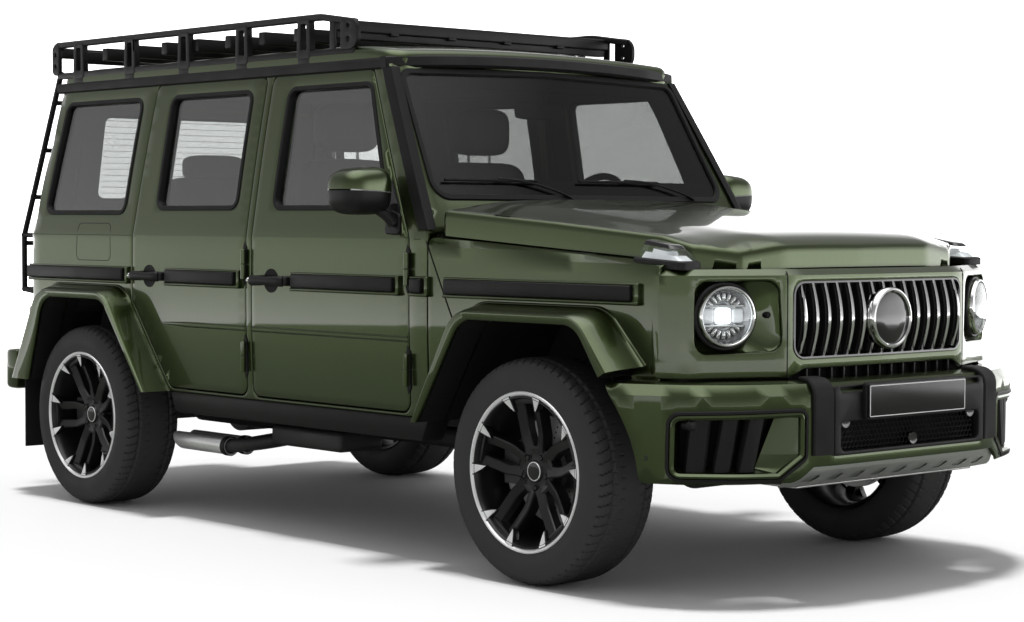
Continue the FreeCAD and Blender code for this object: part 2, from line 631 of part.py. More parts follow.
def side_door(label, front, left):
    """A door of the full wall's thickness, its inner box set in from its skin."""
    start, end = s.rear_door_rear_x, rear_door_front_x
    if front:
        start, end = s.front_door_rear_x, s.front_door_front_x
    skin = common(label + "_skin",
                  side_section(label + "_skin_wall", 0, s.skin_thickness, start, end),
                  across(label + "_shape", door_points(0, front)))
    hinges = [hinge(f"{label}_{level}_hinge", end + s.panel_gap, z, True)
              for level, z in (("upper", s.upper_hinge_z), ("lower", s.lower_hinge_z))]
    inner = common(label + "_box",
                   side_section(label + "_inner_wall", s.skin_thickness / 2, s.wall, start, end),
                   across(label + "_box_shape", door_points(-s.door_inset, front)))
    body = group(label + "_body", skin, inner, *hinges)
    door = cut(label + "_panel", body, across(label + "_window", window_points(0, front)))
    glass = common(label + "_pane", side_section(label + "_glass_wall", s.skin_thickness,
                   s.skin_thickness + s.glass_thickness, start, end),
                   across(label + "_glass_shape", window_points(0, front)))
    if not left:
        door = mirrored(door)
        glass = mirrored(glass)
    node(label, door)
    node(label + "_glass", glass)


def bonnet():
    """The bonnet, with its raised middle and swept front corners, from the cowl to the nose."""
    flat = s.nose_top_z + s.wing_gap
    rear_low = s.bonnet_dome_rear_z - s.bonnet_thickness
    stations = [
        (s.bonnet_rear_x, s.bonnet_half_width, s.bonnet_edge_rear_z, s.bonnet_dome_half_width,
         s.bonnet_dome_rear_z, s.bonnet_edge_rear_z - s.bonnet_thickness,
         rear_low - s.bonnet_dome_round, rear_low),
        (nose_x - s.bonnet_side_back, s.bonnet_side_half_width, s.bonnet_edge_side_z,
         s.bonnet_dome_front_half_width, s.bonnet_dome_side_z, flat, flat, flat),
        (nose_x - s.bonnet_front_back, s.bonnet_front_half_width, s.bonnet_edge_front_z,
         s.bonnet_dome_front_half_width, s.bonnet_dome_front_z, flat, flat, flat)]
    sections = []
    for index, (x, half, edge_z, dome, dome_z, low_edge, low_side, low_middle) in enumerate(stations):
        shoulder = dome_z - s.bonnet_dome_round
        sections.append(outline(f"bonnet_{index}", "YZ", [
            (-half, edge_z), (-dome, shoulder), (0, dome_z), (dome, shoulder), (half, edge_z),
            (half, low_edge), (dome, low_side), (0, low_middle), (-dome, low_side),
            (-half, low_edge)], x))
    hinges = [bonnet_hinge(f"bonnet_hinge_{side + 1}", side, True) for side in (-1, 1)]
    return node("bonnet", group("bonnet", lofted("bonnet_skin", *sections), *hinges))


def wing_top_z(x):
    """The height of the wing's top at a place along the car."""
    slope = (s.wing_rear_z - s.wing_front_z) / (nose_join_x - s.cowl_x)
    return s.wing_front_z + (nose_join_x - x) * slope


def front_wings():
    """The two front wings, open below to the engine bay."""
    side = prism("wing_side", "XZ", [
        (s.cowl_x, s.body_bottom_z), (nose_join_x, s.body_bottom_z), (nose_join_x, s.wing_front_z),
        (s.cowl_x, s.wing_rear_z)], 0, s.belt_half_width + s.overrun)
    plan = prism("wing_plan", "XY", [
        (s.cowl_x, s.bonnet_half_width + s.panel_gap), (nose_join_x, s.bonnet_side_half_width + s.wing_gap),
        (nose_join_x, s.nose_join_y), (s.cowl_x, s.belt_half_width)], 0, s.roof_z)
    hollow = prism("wing_hollow_side", "XZ", [
        (s.cowl_x - s.overrun, s.body_bottom_z - s.overrun),
        (nose_join_x + s.overrun, s.body_bottom_z - s.overrun),
        (nose_join_x + s.overrun, s.wing_front_z - s.wing_wall),
        (s.cowl_x - s.overrun, s.wing_rear_z - s.wing_wall)], 0, s.nose_join_y - s.wing_wall)
    arch = prism("wing_arch", "XZ", arch_points(True, 0), 0, far)
    bumper_room = box("wing_bumper_room", s.front_axle_x, far * 3, 0, far, 0,
                      s.bumper_top_z + s.seat_gap)
    wing = cut("wing", common("wing_block", side, plan), hollow, arch, bumper_room)
    return node("front_wings", separate("front_wings", wing, mirrored(wing)))


def lamp_point(along, aside):
    """A place in plan, measured along and across the left headlamp's own axis."""
    yaw = math.radians(ANGLES["lamp_yaw"])
    along, aside = as_size(along), as_size(aside)
    return (nose_x - s.lamp_back + along * math.cos(yaw) - aside * math.sin(yaw),
            s.lamp_y + along * math.sin(yaw) + aside * math.cos(yaw))


def lamp_cylinder(name, radius, start, end):
    """A round form along the headlamp's own axis, which is turned outwards."""
    solid = doc.addObject("Part::Cylinder", name)
    bind(solid, "Radius", radius)
    bind(solid, "Height", as_size(end) - start)
    turn = Rotation(Vector(0, 0, 1), ANGLES["lamp_yaw"]).multiply(TURNS["x"])
    solid.Placement = Placement(Vector(), turn)
    x, y = lamp_point(start, 0)
    place(solid, x, y, s.lamp_z)
    return solid


def lamp_recess():
    """The square recess in the nose round the left headlamp."""
    solid = doc.addObject("Part::Box", "lamp_recess")
    bind(solid, "Length", s.recess_depth + s.overrun)
    bind(solid, "Width", s.recess_half * 2)
    bind(solid, "Height", s.recess_half * 2)
    solid.Placement = Placement(Vector(), Rotation(Vector(0, 0, 1), ANGLES["lamp_yaw"]))
    x, y = lamp_point(-s.recess_depth, -s.recess_half)
    place(solid, x, y, s.lamp_z - s.recess_half)
    return solid


def grille_points(shrink):
    """The grille's opening seen from the front, made smaller by a depth."""
    half, corner = s.grille_half_width - shrink, s.grille_round - shrink
    low, high = s.grille_bottom_z + shrink, s.grille_top_z - shrink
    return [(-half, low, corner), (half, low, corner), (half, high, corner), (-half, high, corner)]


def front_panel():
    """The nose panel, open for the grille and recessed for the two round lamps."""
    depth = s.nose_wall
    half = prism("nose_half", "XY", [
        (nose_x, 0), (nose_side_x, s.grille_half_width), (nose_corner_x, s.nose_corner_y, depth),
        (nose_join_x, s.nose_join_y), (nose_join_x, s.nose_join_y - depth),
        (nose_corner_x - depth, s.nose_corner_y - depth),
        (nose_side_x - depth, s.grille_half_width - depth / 2), (nose_x - depth, 0)],
        s.nose_bottom_z, s.nose_top_z)
    panel = group("nose_block", half, mirrored(half))
    opening = prism("grille_hole", "YZ", grille_points(0), nose_x - s.overrun, nose_x + s.overrun)
    recess = lamp_recess()
    hole = lamp_cylinder("lamp_hole", s.lamp_radius + s.seat_gap, -s.overrun, s.overrun)
    return node("front_panel", cut("front_panel", panel, opening, recess, mirrored(recess), hole,
                                   mirrored(hole)))


def grille():
    """A frame that holds upright slats and a plain round boss across the nose opening."""
    back, face = nose_x - s.nose_wall, nose_side_x - s.panel_gap
    ring = cut("grille_frame", prism("grille_outer", "YZ", grille_points(0), back, face),
               prism("grille_inner", "YZ", grille_points(s.slat_width), back - s.overrun, face + s.overrun))
    parts = [ring]
    count = COUNTS["grille_slats"]
    for index in range(count):
        share = (2 * index + 1 - count) / count
        y = s.grille_half_width * share
        front = face + s.slat_bow * (1 - share * share)
        parts.append(box(f"grille_slat_{index}", front - s.slat_depth, front, y - s.slat_width / 2,
                         y + s.slat_width / 2, s.grille_bottom_z + s.slat_width / 2,
                         s.grille_top_z - s.slat_width / 2))
    middle = (s.grille_bottom_z + s.grille_top_z) / 2
    parts.append(cylinder("grille_boss", "x", s.boss_radius, back, face + s.slat_depth, 0, middle))
    return node("grille", group("grille", *parts))


def lamps():
    """Round headlamps, the indicators on the wings and the tail lamps."""
    head = lamp_cylinder("headlamp", s.lamp_radius, -s.lamp_depth, 0)
    tip = nose_x - s.lamp_back - s.lamp_radius + s.slat_width
    back = tip - s.indicator_length - s.indicator_sweep
    top = wing_top_z(back) + s.indicator_height - s.indicator_top_inset / 2
    side = prism("indicator_side", "XZ", [
        (back, wing_top_z(back) + s.seat_gap), (nose_join_x, s.wing_front_z + s.seat_gap),
        (tip, s.wing_front_z + s.seat_gap), (tip, s.wing_front_z + s.slat_width * 2),
        (tip - s.indicator_sweep, top), (back + s.indicator_top_inset, top),
        (back, wing_top_z(back) + s.indicator_top_inset)], s.indicator_inner_y, s.indicator_outer_y)
    plan = prism("indicator_plan", "XY", [
        (back, s.indicator_outer_y), (back + s.slat_width, s.indicator_inner_y),
        (tip, s.indicator_inner_y), (tip - s.indicator_sweep, s.indicator_outer_y)], 0, s.roof_z)
    tail = prism("tail_lamp_block", "XZ", [
        (s.rear_x + s.corner_round, s.tail_lamp_bottom_z + s.tail_lamp_height),
        (s.rear_x - s.tail_lamp_depth * 0.7, s.tail_lamp_bottom_z + s.tail_lamp_height * 0.7),
        (s.rear_x - s.tail_lamp_depth * 0.8, s.tail_lamp_bottom_z + s.tail_lamp_height * 0.4),
        (s.rear_x, s.tail_lamp_bottom_z), (s.rear_x + s.corner_round, s.tail_lamp_bottom_z)],
        s.tail_lamp_inner_y, s.tail_lamp_outer_y)
    pieces = [head, common("indicator", side, plan), cut("tail_lamp", tail, plan_block("tail_lamp_seat"))]
    return node("lamps", separate("lamps", *pieces, *[mirrored(piece) for piece in pieces]))


def skid_points(grow):
    """The skid plate's face seen from the front, made larger by a gap."""
    low, high = s.skid_bottom_z - grow, s.skid_top_z + grow
    return [(-s.skid_half_width - grow, low), (s.skid_half_width + grow, low),
            (s.skid_top_half_width + grow, high), (-s.skid_top_half_width - grow, high)]


def front_bumper():
    """The front bumper, curved round to the wheels, with its intakes open."""
    depth = s.bumper_wall
    mid_x, corner_x = bumper_x - s.bumper_mid_back, bumper_x - s.bumper_corner_back
    half = prism("bumper_half", "XY", [
        (bumper_x, 0), (bumper_x, s.bumper_strap_y), (bumper_shoulder_x, bumper_shoulder_y),
        (mid_x, s.bumper_mid_y, s.bumper_mid_round),
        (corner_x, s.bumper_corner_y, s.bumper_corner_round), (bumper_side_x, flare_half_width),
        (bumper_side_x, flare_half_width - depth), (corner_x - depth, s.bumper_corner_y - depth),
        (mid_x - depth, s.bumper_mid_y - depth), (bumper_shoulder_x - depth, bumper_shoulder_y - depth / 2),
        (bumper_x - depth, 0)], s.bumper_bottom_z, s.bumper_top_z)
    block = group("bumper_block", half, mirrored(half))
    inner, outer = bumper_shoulder_y + s.panel_gap, s.intake_outer_y
    low, high, corner = s.intake_bottom_z, s.intake_top_z, s.intake_corner
    intake = prism("intake", "YZ", [
        (inner, low + corner), (inner + corner, low), (outer - corner / 2, low),
        (outer, low + corner / 2), (outer, high - corner / 4), (outer - corner / 4, high),
        (inner, high)], bumper_side_x, bumper_x + s.overrun)
    mesh = box("mesh_hole", bumper_side_x, bumper_x + s.overrun, -s.mesh_half_width, s.mesh_half_width,
               s.mesh_bottom_z, s.mesh_top_z)
    skid = prism("skid_room", "YZ", skid_points(s.seat_gap), bumper_side_x, bumper_x + s.overrun)
    arch = cylinder("bumper_arch", "y", s.arch_radius + s.panel_gap * 3, -far, far, s.front_axle_x,
                    s.tyre_radius)
    return node("front_bumper", cut("front_bumper", block, intake, mirrored(intake), mesh, skid, arch))


def intake_line_x(y, behind):
    """A line behind the bumper's face, at a place across it."""
    far_x = bumper_x - s.bumper_corner_back
    slope = (bumper_shoulder_x - far_x) / (s.bumper_corner_y - bumper_shoulder_y)
    return bumper_shoulder_x - behind - (y - bumper_shoulder_y) * slope


def bumper_trim():
    """The straps, the mesh between them, the blank number plate and the intakes' fins."""
    top = s.bumper_top_z - s.panel_gap
    face = bumper_x + s.skin_thickness
    strap = box("strap", bumper_x, face, s.bumper_strap_y, bumper_shoulder_y, s.mesh_bottom_z, top)
    beam = box("strap_beam", bumper_x, face, -s.bumper_strap_y, s.bumper_strap_y, s.mesh_top_z, top)
    front = bumper_x + s.plate_stand
    half, rise = s.plate_width / 2, s.plate_height / 2
    plate = box("plate", front - s.plate_thickness, front, -half, half, s.plate_z - rise, s.plate_z + rise)
    carrier = box("plate_carrier", bumper_x, front - s.plate_thickness, -half + s.overrun / 2,
                  half - s.overrun / 2, s.plate_z - rise / 2, s.plate_z + rise / 2)
    mesh = box("mesh", bumper_x - s.bumper_wall, bumper_x - s.bumper_wall / 2, -s.mesh_half_width,
               s.mesh_half_width, s.mesh_bottom_z, s.mesh_top_z)
    inner, outer = bumper_shoulder_y + s.panel_gap, s.intake_outer_y
    low, high = s.intake_bottom_z + s.intake_corner, s.intake_top_z - s.intake_corner / 4
    near, deep = s.fin_depth, s.bumper_wall - s.skin_thickness
    fins = [prism("intake_back", "XY", [
        (intake_line_x(inner, deep), inner), (intake_line_x(outer, deep), outer),
        (intake_line_x(outer, near), outer), (intake_line_x(inner, near), inner)], low, high)]
    for index in range(COUNTS["fins"]):
        y = outer - s.fin_spacing * (index + 0.6)
        fins.append(prism(f"intake_fin_{index}", "XY", [
            (intake_line_x(y, near), y), (intake_line_x(y + s.fin_thickness, near), y + s.fin_thickness),
            (intake_line_x(y + s.fin_thickness, s.bumper_shoulder_back), y + s.fin_thickness),
            (intake_line_x(y, s.bumper_shoulder_back), y)], low, high))
    fins = group("intake_fins", *fins)
    bar = group("bumper_bar", strap, mirrored(strap), beam, plate, carrier)
    return node("bumper_trim", separate("bumper_trim", bar, mesh, fins, mirrored(fins)))


def skid_plate():
    """The plate below the front bumper, which turns back under it."""
    front = bumper_x - s.skid_front_back
    face = prism("skid_face", "YZ", skid_points(0), front - s.skid_thickness, front)
    pan = box("skid_pan", front - s.skid_length, front, -s.skid_top_half_width, s.skid_top_half_width,
              s.skid_bottom_z, s.skid_bottom_z + s.skid_thickness)
    return node("skid_plate", group("skid_plate", face, pan))


def flares():
    """The four wheel-arch flares, from their line on the body out to the lip."""
    pieces = []
    seat_y = s.nose_join_y - s.flare_seat
    meet_y = s.bottom_half_width - s.seat_gap
    wing_line = prism("wing_line", "XY", [
        (s.cowl_x - s.overrun, 0), (nose_join_x + s.overrun, 0), (nose_join_x + s.overrun, s.nose_join_y),
        (nose_join_x, s.nose_join_y + s.seat_gap), (s.cowl_x, s.belt_half_width + s.seat_gap),
        (s.cowl_x - s.overrun, s.belt_half_width + s.seat_gap)], 0, s.roof_z)
    side_line = body_fill("side_line", s.rear_x - s.overrun, 0)
    for name, x, body in (("front", s.front_axle_x, wing_line), ("rear", rear_axle_x, side_line)):
        front = name == "front"
        root = prism(name + "_flare_root", "XZ", flare_points(front), seat_y, meet_y)
        form = lofted(name + "_flare_form",
                      outline(name + "_flare_line", "XZ", flare_points(front), meet_y),
                      outline(name + "_flare_lip", "XZ", arch_points(front, s.flare_flat), flare_half_width))
        hole = prism(name + "_flare_hole", "XZ", arch_points(front, 0), 0, far)
        below = box(name + "_flare_below", x - far, x + far, 0, far, -far, s.body_bottom_z)
        if front:
            end = box("flare_front_room", s.front_axle_x, x + far, 0, far, 0, s.bumper_top_z + s.seat_gap)
        else:
            end = box("flare_rear_room", s.rear_x - far, s.rear_x, 0, far, 0, s.belt_z)
        flare = cut(name + "_flare_half", group(name + "_flare_whole", root, form), body, hole, below, end)
        pieces += [flare, mirrored(flare)]
    return node("arch_flares", separate("arch_flares", *pieces))


def sills():
    """The black sills below the doors, with sloping ends."""
    rear = flare_line_x(s.body_bottom_z) + s.panel_gap
    front = s.front_axle_x - s.front_flare_rear_foot - s.panel_gap
    low = s.body_bottom_z - s.sill_height
    sill = prism("sill", "XZ", [
        (rear, s.body_bottom_z), (rear + s.sill_chamfer, low), (front - s.sill_chamfer, low),
        (front, s.body_bottom_z)], s.sill_half_width - s.sill_width, s.sill_half_width)
    return node("side_sills", separate("side_sills", sill, mirrored(sill)))


def rear_bumper():
    """The rear bumper."""
    rear = s.rear_x - s.rear_bumper_depth
    bumper = prism("rear_bumper", "XY", [
        (s.rear_x, -s.rear_bumper_half_width), (s.rear_x, s.rear_bumper_half_width),
        (rear, s.rear_bumper_half_width, s.bumper_wall), (rear, -s.rear_bumper_half_width, s.bumper_wall)],
        s.rear_bumper_bottom_z, s.rear_bumper_top_z)
    return node("rear_bumper", bumper)


def mudflaps():
    """The flaps behind the rear wheels."""
    x = s.rear_x + s.mudflap_inset
    flap = box("mudflap", x - s.mudflap_thickness, x, tyre_inner_y, s.rear_bumper_half_width,
               s.mudflap_bottom_z, s.body_bottom_z)
    return node("mudflaps", separate("mudflaps", flap, mirrored(flap)))


def chassis():
    """A ladder frame of two rails and their cross members, with the front inner wings."""
    rear, front = s.rear_x + s.seat_gap, bumper_shoulder_x - s.bumper_wall - s.seat_gap
    low, high = s.rail_bottom_z, s.rail_top_z
    rail = box("rail", rear, front, s.rail_y - s.rail_width / 2, s.rail_y + s.rail_width / 2, low, high)
    parts = [rail, mirrored(rail)]
    for index, x in enumerate((rear, rear_axle_x + s.overrun * 2, as_size(0), s.engine_x - s.overrun,
                               s.engine_x + s.overrun * 1.5, front - s.overrun)):
        parts.append(box(f"cross_{index}", x, x + s.cross_width, -s.rail_y, s.rail_y, low, high))
    web_low = high - s.rail_width / 2
    apron = box("apron", s.cowl_x + s.seat_gap, nose_join_x, s.front_house_y - s.house_wall, s.front_house_y,
                web_low, s.nose_top_z)
    web = box("apron_web", s.cowl_x + s.seat_gap, nose_join_x, s.rail_y, s.front_house_y, web_low, high)
    parts += [apron, mirrored(apron), web, mirrored(web)]
    return node("chassis_frame", group("chassis_frame", *parts))


def axles():
    """The rear axle, the front axle with its wishbones, and their spring seats."""
    pieces = []
    hub_z = s.tyre_radius
    for name, x, end in (("rear", rear_axle_x, s.disc_y - s.running_gap),
                         ("front", s.front_axle_x, s.front_house_y)):
        parts = [cylinder(name + "_axle_tube", "y", s.axle_radius, -end, end, x, hub_z),
                 cylinder(name + "_gear_case", "y", s.diff_radius, -s.diff_length / 2, s.diff_length / 2, x,
                          hub_z)]
        seat = box(name + "_spring_seat", x - s.axle_radius, x + s.axle_radius, s.rail_y - s.rail_width / 2,
                   s.rail_y + s.rail_width / 2, hub_z, s.rail_bottom_z - s.seat_gap)
        parts += [seat, mirrored(seat)]
        near, wide = x - s.wishbone_width / 2, x + s.wishbone_width / 2
        reach = s.wishbone_drop + s.wishbone_thickness
        if name == "front":
            for level in (-1, 1):
                low, high = sorted((s.wishbone_drop * level, reach * level), key=lambda size: size.value)
                arm = box(f"wishbone_{level + 1}", near, wide, s.front_house_y + s.house_wall,
                          s.kingpin_y + s.kingpin_radius, hub_z + low, hub_z + high)
                parts += [arm, mirrored(arm)]
            post = box("wishbone_post", near, wide, s.front_house_y, s.front_house_y + s.house_wall * 2,
                       hub_z - reach, hub_z + reach)
            link = cylinder("axle_link", "y", s.axle_radius, -s.front_house_y - s.house_wall,
                            s.front_house_y + s.house_wall, x, hub_z)
            parts += [post, mirrored(post), link]
        else:
            stub_end = s.disc_y - s.seat_gap
            parts.append(cylinder("rear_stub", "y", s.kingpin_radius, -stub_end, stub_end, x, hub_z))
            block = caliper("rear_caliper", x)
            parts += [block, mirrored(block)]
        pieces.append(group(name + "_axle", *parts))
    return node("axles", separate("axles", *pieces))


def caliper(name, x):
    """A brake caliper round the rear edge of the left disc, with the bracket that carries it."""
    near, deep = s.disc_y - s.running_gap, s.disc_y + s.disc_thickness + s.running_gap
    outer = x - s.disc_radius - s.running_gap - s.caliper_bridge
    half, hub_z = s.caliper_length / 2, s.tyre_radius
    block = box(name + "_block", outer, outer + s.caliper_width, near - s.caliper_side,
                deep + s.caliper_side, hub_z - half, hub_z + half)
    slot = box(name + "_slot", x - s.disc_radius - s.running_gap, x, near, deep, hub_z - half * 2,
               hub_z + half * 2)
    bracket = box(name + "_bracket", outer + s.caliper_width - s.caliper_bridge, x, near - s.caliper_side,
                  near, hub_z - s.kingpin_radius, hub_z + s.kingpin_radius)
    return group(name, cut(name + "_body", block, slot), bracket)


def engine():
    """The engine, as one plain block."""
    half = s.engine_length / 2
    block = box("engine_block", s.engine_x - half, s.engine_x + half, -s.engine_width / 2,
                s.engine_width / 2, s.rail_top_z + s.seat_gap, s.rail_top_z + s.engine_height)
    return node("engine_block", block)


def exhaust():
    """A silencer below the floor on each side, with twin slanted tailpipes below the sill."""
    low, high = s.silencer_bottom_z, s.silencer_bottom_z + s.silencer_height
    silencer = box("silencer", s.silencer_rear_x, s.silencer_front_x, s.silencer_inner_y,
                   s.silencer_outer_y, low, high)
    hanger = box("silencer_hanger", (s.silencer_rear_x + s.silencer_front_x) / 2,
                 s.silencer_front_x - s.cross_width, s.silencer_inner_y, s.silencer_inner_y + s.rail_width,
                 high, s.floor_z - s.seat_gap)
    z, radius, slash, rear = s.tailpipe_z, s.tailpipe_radius, s.tailpipe_slash, s.tailpipe_rear_x
    tips = [cylinder(f"tailpipe_{index}", "x", radius, rear, s.tailpipe_front_x,
                     s.tailpipe_y - s.tailpipe_spacing * index, z) for index in range(2)]
    wedge = prism("tailpipe_wedge", "XZ", [
        (rear - slash, z + radius), (rear, z + radius), (rear + slash, z - radius),
        (rear + slash, z - radius * 2), (rear - slash, z - radius * 2)], 0, far)
    joint = box("tailpipe_joint", s.tailpipe_front_x - radius, s.tailpipe_front_x + radius,
                s.silencer_outer_y - radius * 2, s.tailpipe_y + radius / 2, z - radius / 2, z + radius)
    pipe = cylinder("silencer_pipe", "x", s.pipe_radius, s.tailpipe_front_x, s.silencer_rear_x + radius,
                    s.silencer_outer_y - radius, z + radius / 2)
    side = group("exhaust_side", cut("tailpipes", group("tips", *tips), wedge), joint, pipe, silencer, hanger)
    return node("exhaust", separate("exhaust", side, mirrored(side)))


def seats():
    """Two front seats and the rear bench, with head restraints."""
    pieces = []
    for name, y, x, width in (("left", s.seat_y, s.seat_x, s.seat_width),
                              ("right", -s.seat_y, s.seat_x, s.seat_width),
                              ("bench", as_size(0), s.bench_x, s.bench_width)):
        rear = x - s.seat_length / 2
        cushion = box(name + "_cushion", rear, x + s.seat_length / 2, y - width / 2, y + width / 2,
                      s.seat_base_z, s.cushion_top_z)
        back = box(name + "_backrest", rear - s.backrest_thickness, rear, y - width / 2, y + width / 2,
                   s.seat_base_z, s.backrest_top_z)
        head = box(name + "_headrest", rear - s.backrest_thickness, rear, y - s.headrest_width / 2,
                   y + s.headrest_width / 2, s.backrest_top_z - s.headrest_gap,
                   s.backrest_top_z + s.headrest_height)
        pieces.append(group(name + "_seat", cushion, back, head))
    return node("seats", separate("seats", *pieces))


def dashboard():
    """The dashboard across the cabin, with the steering column and wheel."""
    dash = box("dash", s.dash_rear_x, s.cowl_x - s.firewall_thickness, -s.dash_half_width,
               s.dash_half_width, s.dash_bottom_z, s.dash_top_z)
    ring = doc.addObject("Part::Torus", "steering_rim")
    bind(ring, "Radius1", s.wheel_rim_radius)
    bind(ring, "Radius2", s.wheel_rim_tube)
    ring.Placement = Placement(Vector(), Rotation(Vector(0, 1, 0), -ANGLES["steering_rake"]))
    place(ring, s.column_x, s.seat_y, s.column_z)
    tube = s.wheel_rim_tube
    spoke = box("steering_spoke", s.column_x - tube, s.dash_rear_x + tube, s.seat_y - s.wheel_rim_radius,
                s.seat_y + s.wheel_rim_radius, s.column_z - tube * 2, s.column_z + tube)
    return node("dashboard", group("dashboard", dash, ring, spoke))


def roof_rack():
    """The rack: two sides of rails, slotted posts and rounded end plates, and the bars between."""
    outer, inner = s.rack_half_width, s.rack_half_width - s.rack_bar
    top, bottom, bar = s.rack_top_z, s.rack_bottom_z, s.rack_bar
    rear, front = rack_rear_x, s.rack_front_x
    plate = s.rack_plate_length
    parts = [box("rack_top_rail", rear + plate / 4, front - plate / 4, inner, outer, top - bar, top),
             box("rack_low_rail", rear + plate / 2, front - plate / 2, inner, outer, bottom, bottom + bar)]
    first, last = rear + s.rack_first_post, front - s.rack_last_post
    posts, slots = COUNTS["rack_posts"], []
    foot_z = s.gutter_z + s.gutter_height + s.seat_gap
    middle = (top + bottom) / 2
    for index in range(posts):
        x = first + (last - first) * (index / (posts - 1))
        parts.append(box(f"rack_post_{index}", x, x + s.rack_post, inner, outer, bottom, top))
        parts.append(box(f"rack_foot_{index}", x, x + s.rack_post, outer - s.rack_foot, outer, foot_z,
                         bottom + bar))
        slot = (s.rack_post - s.rack_slot_width) / 2
        slots.append(box(f"rack_slot_{index}", x + slot, x + slot + s.rack_slot_width, inner - bar,
                         outer + bar, middle - s.rack_slot_height / 2, middle + s.rack_slot_height / 2))
    half = s.rack_plate_height / 2
    for name, low_x in (("front", front - plate), ("rear", rear)):
        corner = half - s.rack_foot
        parts.append(prism(f"rack_{name}_plate", "XZ", [
            (low_x, middle - half, corner), (low_x + plate, middle - half, corner),
            (low_x + plate, middle + half, corner), (low_x, middle + half, corner)],
            inner, outer))
    side = cut("rack_side", group("rack_side_whole", *parts), *slots)
    node("rack_sides", separate("rack_sides", side, mirrored(side)))
    reach = inner - s.seat_gap
    low, high = s.rack_floor_z, s.rack_floor_z + s.rack_floor_height
    bars, count = [], COUNTS["rack_bars"]
    start, end = rear + plate / 4, front - plate / 4
    for index in range(count):
        x = start + (end - start - bar) * (index / (count - 1))
        bars.append(box(f"rack_slat_{index}", x, x + bar, -reach, reach, low, high))
    for index in range(4):
        y = reach * (-0.6 + 0.4 * index)
        bars.append(box(f"rack_runner_{index}", start, end, y - bar / 2, y + bar / 2, low, high))
    return node("rack_floor", group("rack_floor", *bars))


def tailgate():
    """The side-hinged rear door and its glass, with the covered spare wheel and the ladder."""
    def slab(name, near, deep):
        return prism(name, "XZ", [
            (s.rear_x + near, s.body_bottom_z), (s.rear_x + deep, s.body_bottom_z),
            (s.rear_x + deep, s.belt_z), (rear_top_x + deep, s.gutter_z), (rear_top_x + near, s.gutter_z),
            (s.rear_x + near, s.belt_z)], -s.belt_half_width, s.belt_half_width)

    def view(name, points):
        return prism(name, "YZ", points, s.rear_x - s.overrun, s.rear_x + s.overrun * 2)

    skin = common("tailgate_skin", slab("tailgate_skin_slab", 0, s.skin_thickness),
                  view("tailgate_shape", tailgate_points(0)))
    inner = common("tailgate_box", slab("tailgate_box_slab", s.skin_thickness / 2, s.wall),
                   view("tailgate_box_shape", tailgate_points(-s.door_inset)))
    half, low, high = s.rear_glass_half_width, s.rear_glass_sill_z, s.rear_glass_head_z
    glass_points = [(-half, low, s.window_corner), (half, low, s.window_corner),
                    (half, high, s.window_corner), (-half, high, s.window_corner)]
    hole = view("tailgate_window", glass_points)
    hinges = [tailgate_hinge(f"tailgate_{level}_hinge", z, True)
              for level, z in (("upper", s.upper_hinge_z), ("lower", s.tailgate_lower_hinge_z))]
    node("rear_door", cut("rear_door", group("tailgate_body", skin, inner, *hinges), hole))
    pane = common("tailgate_pane", slab("tailgate_glass_slab", s.skin_thickness,
                                        s.skin_thickness + s.glass_thickness),
                  view("tailgate_glass_shape", glass_points))
    node("rear_door_glass", pane)
    spare_rear_x = spare_front_x - s.spare_depth
    cover = cylinder("spare_cover", "x", s.spare_radius, spare_rear_x + s.spare_round, spare_front_x, 0,
                     s.spare_z)
    face = cylinder("spare_face", "x", s.spare_face_radius, spare_rear_x, spare_front_x, 0, s.spare_z)
    hub = cylinder("spare_carrier", "x", s.carrier_radius, spare_front_x, s.rear_x, 0, s.spare_z)
    node("spare_wheel", group("spare_wheel", cover, face, hub))
    parts = []
    top = (rear_top_x - s.ladder_top_stand, s.ladder_top_z)
    knee = (s.rear_x - s.ladder_knee_stand, s.ladder_rung_z + s.ladder_rung_step * 2)
    waist = (s.rear_x - s.ladder_waist_stand, s.ladder_waist_z)
    low = (s.rear_x - s.ladder_waist_stand, s.ladder_rung_z)
    foot = (s.rear_x - s.ladder_radius / 6, s.ladder_foot_z)
    points = [foot, low, waist, knee, top]

    def rail_x(z):
        """The ladder's place along the car at a height."""
        for (x0, z0), (x1, z1) in zip(points[1:], points[2:]):
            if z.value <= z1.value:
                return x0 + (x1 - x0) * ((z - z0) / (z1 - z0))
        return top[0]

    for index, y in enumerate((s.ladder_outer_y, s.ladder_inner_y)):
        parts.append(bent_tube(f"ladder_rail_{index}", s.ladder_radius, y, points))
        parts.append(cylinder(f"ladder_stay_{index}", "x", s.rung_radius, waist[0], s.rear_x, y,
                              waist[1]))
    high_z = s.ladder_stay_z
    lean = s.rear_lean * ((high_z - s.rung_radius - s.belt_z) / (s.gutter_z - s.belt_z))
    parts.append(cylinder("ladder_hook", "x", s.rung_radius, rail_x(high_z), s.rear_x + lean,
                          s.ladder_inner_y, high_z))
    for index in range(COUNTS["ladder_rungs"]):
        z = s.ladder_rung_z + s.ladder_rung_step * index
        parts.append(cylinder(f"ladder_rung_{index}", "y", s.rung_radius, s.ladder_outer_y,
                              s.ladder_inner_y, rail_x(z), z))
    node("ladder", group("ladder", *parts))


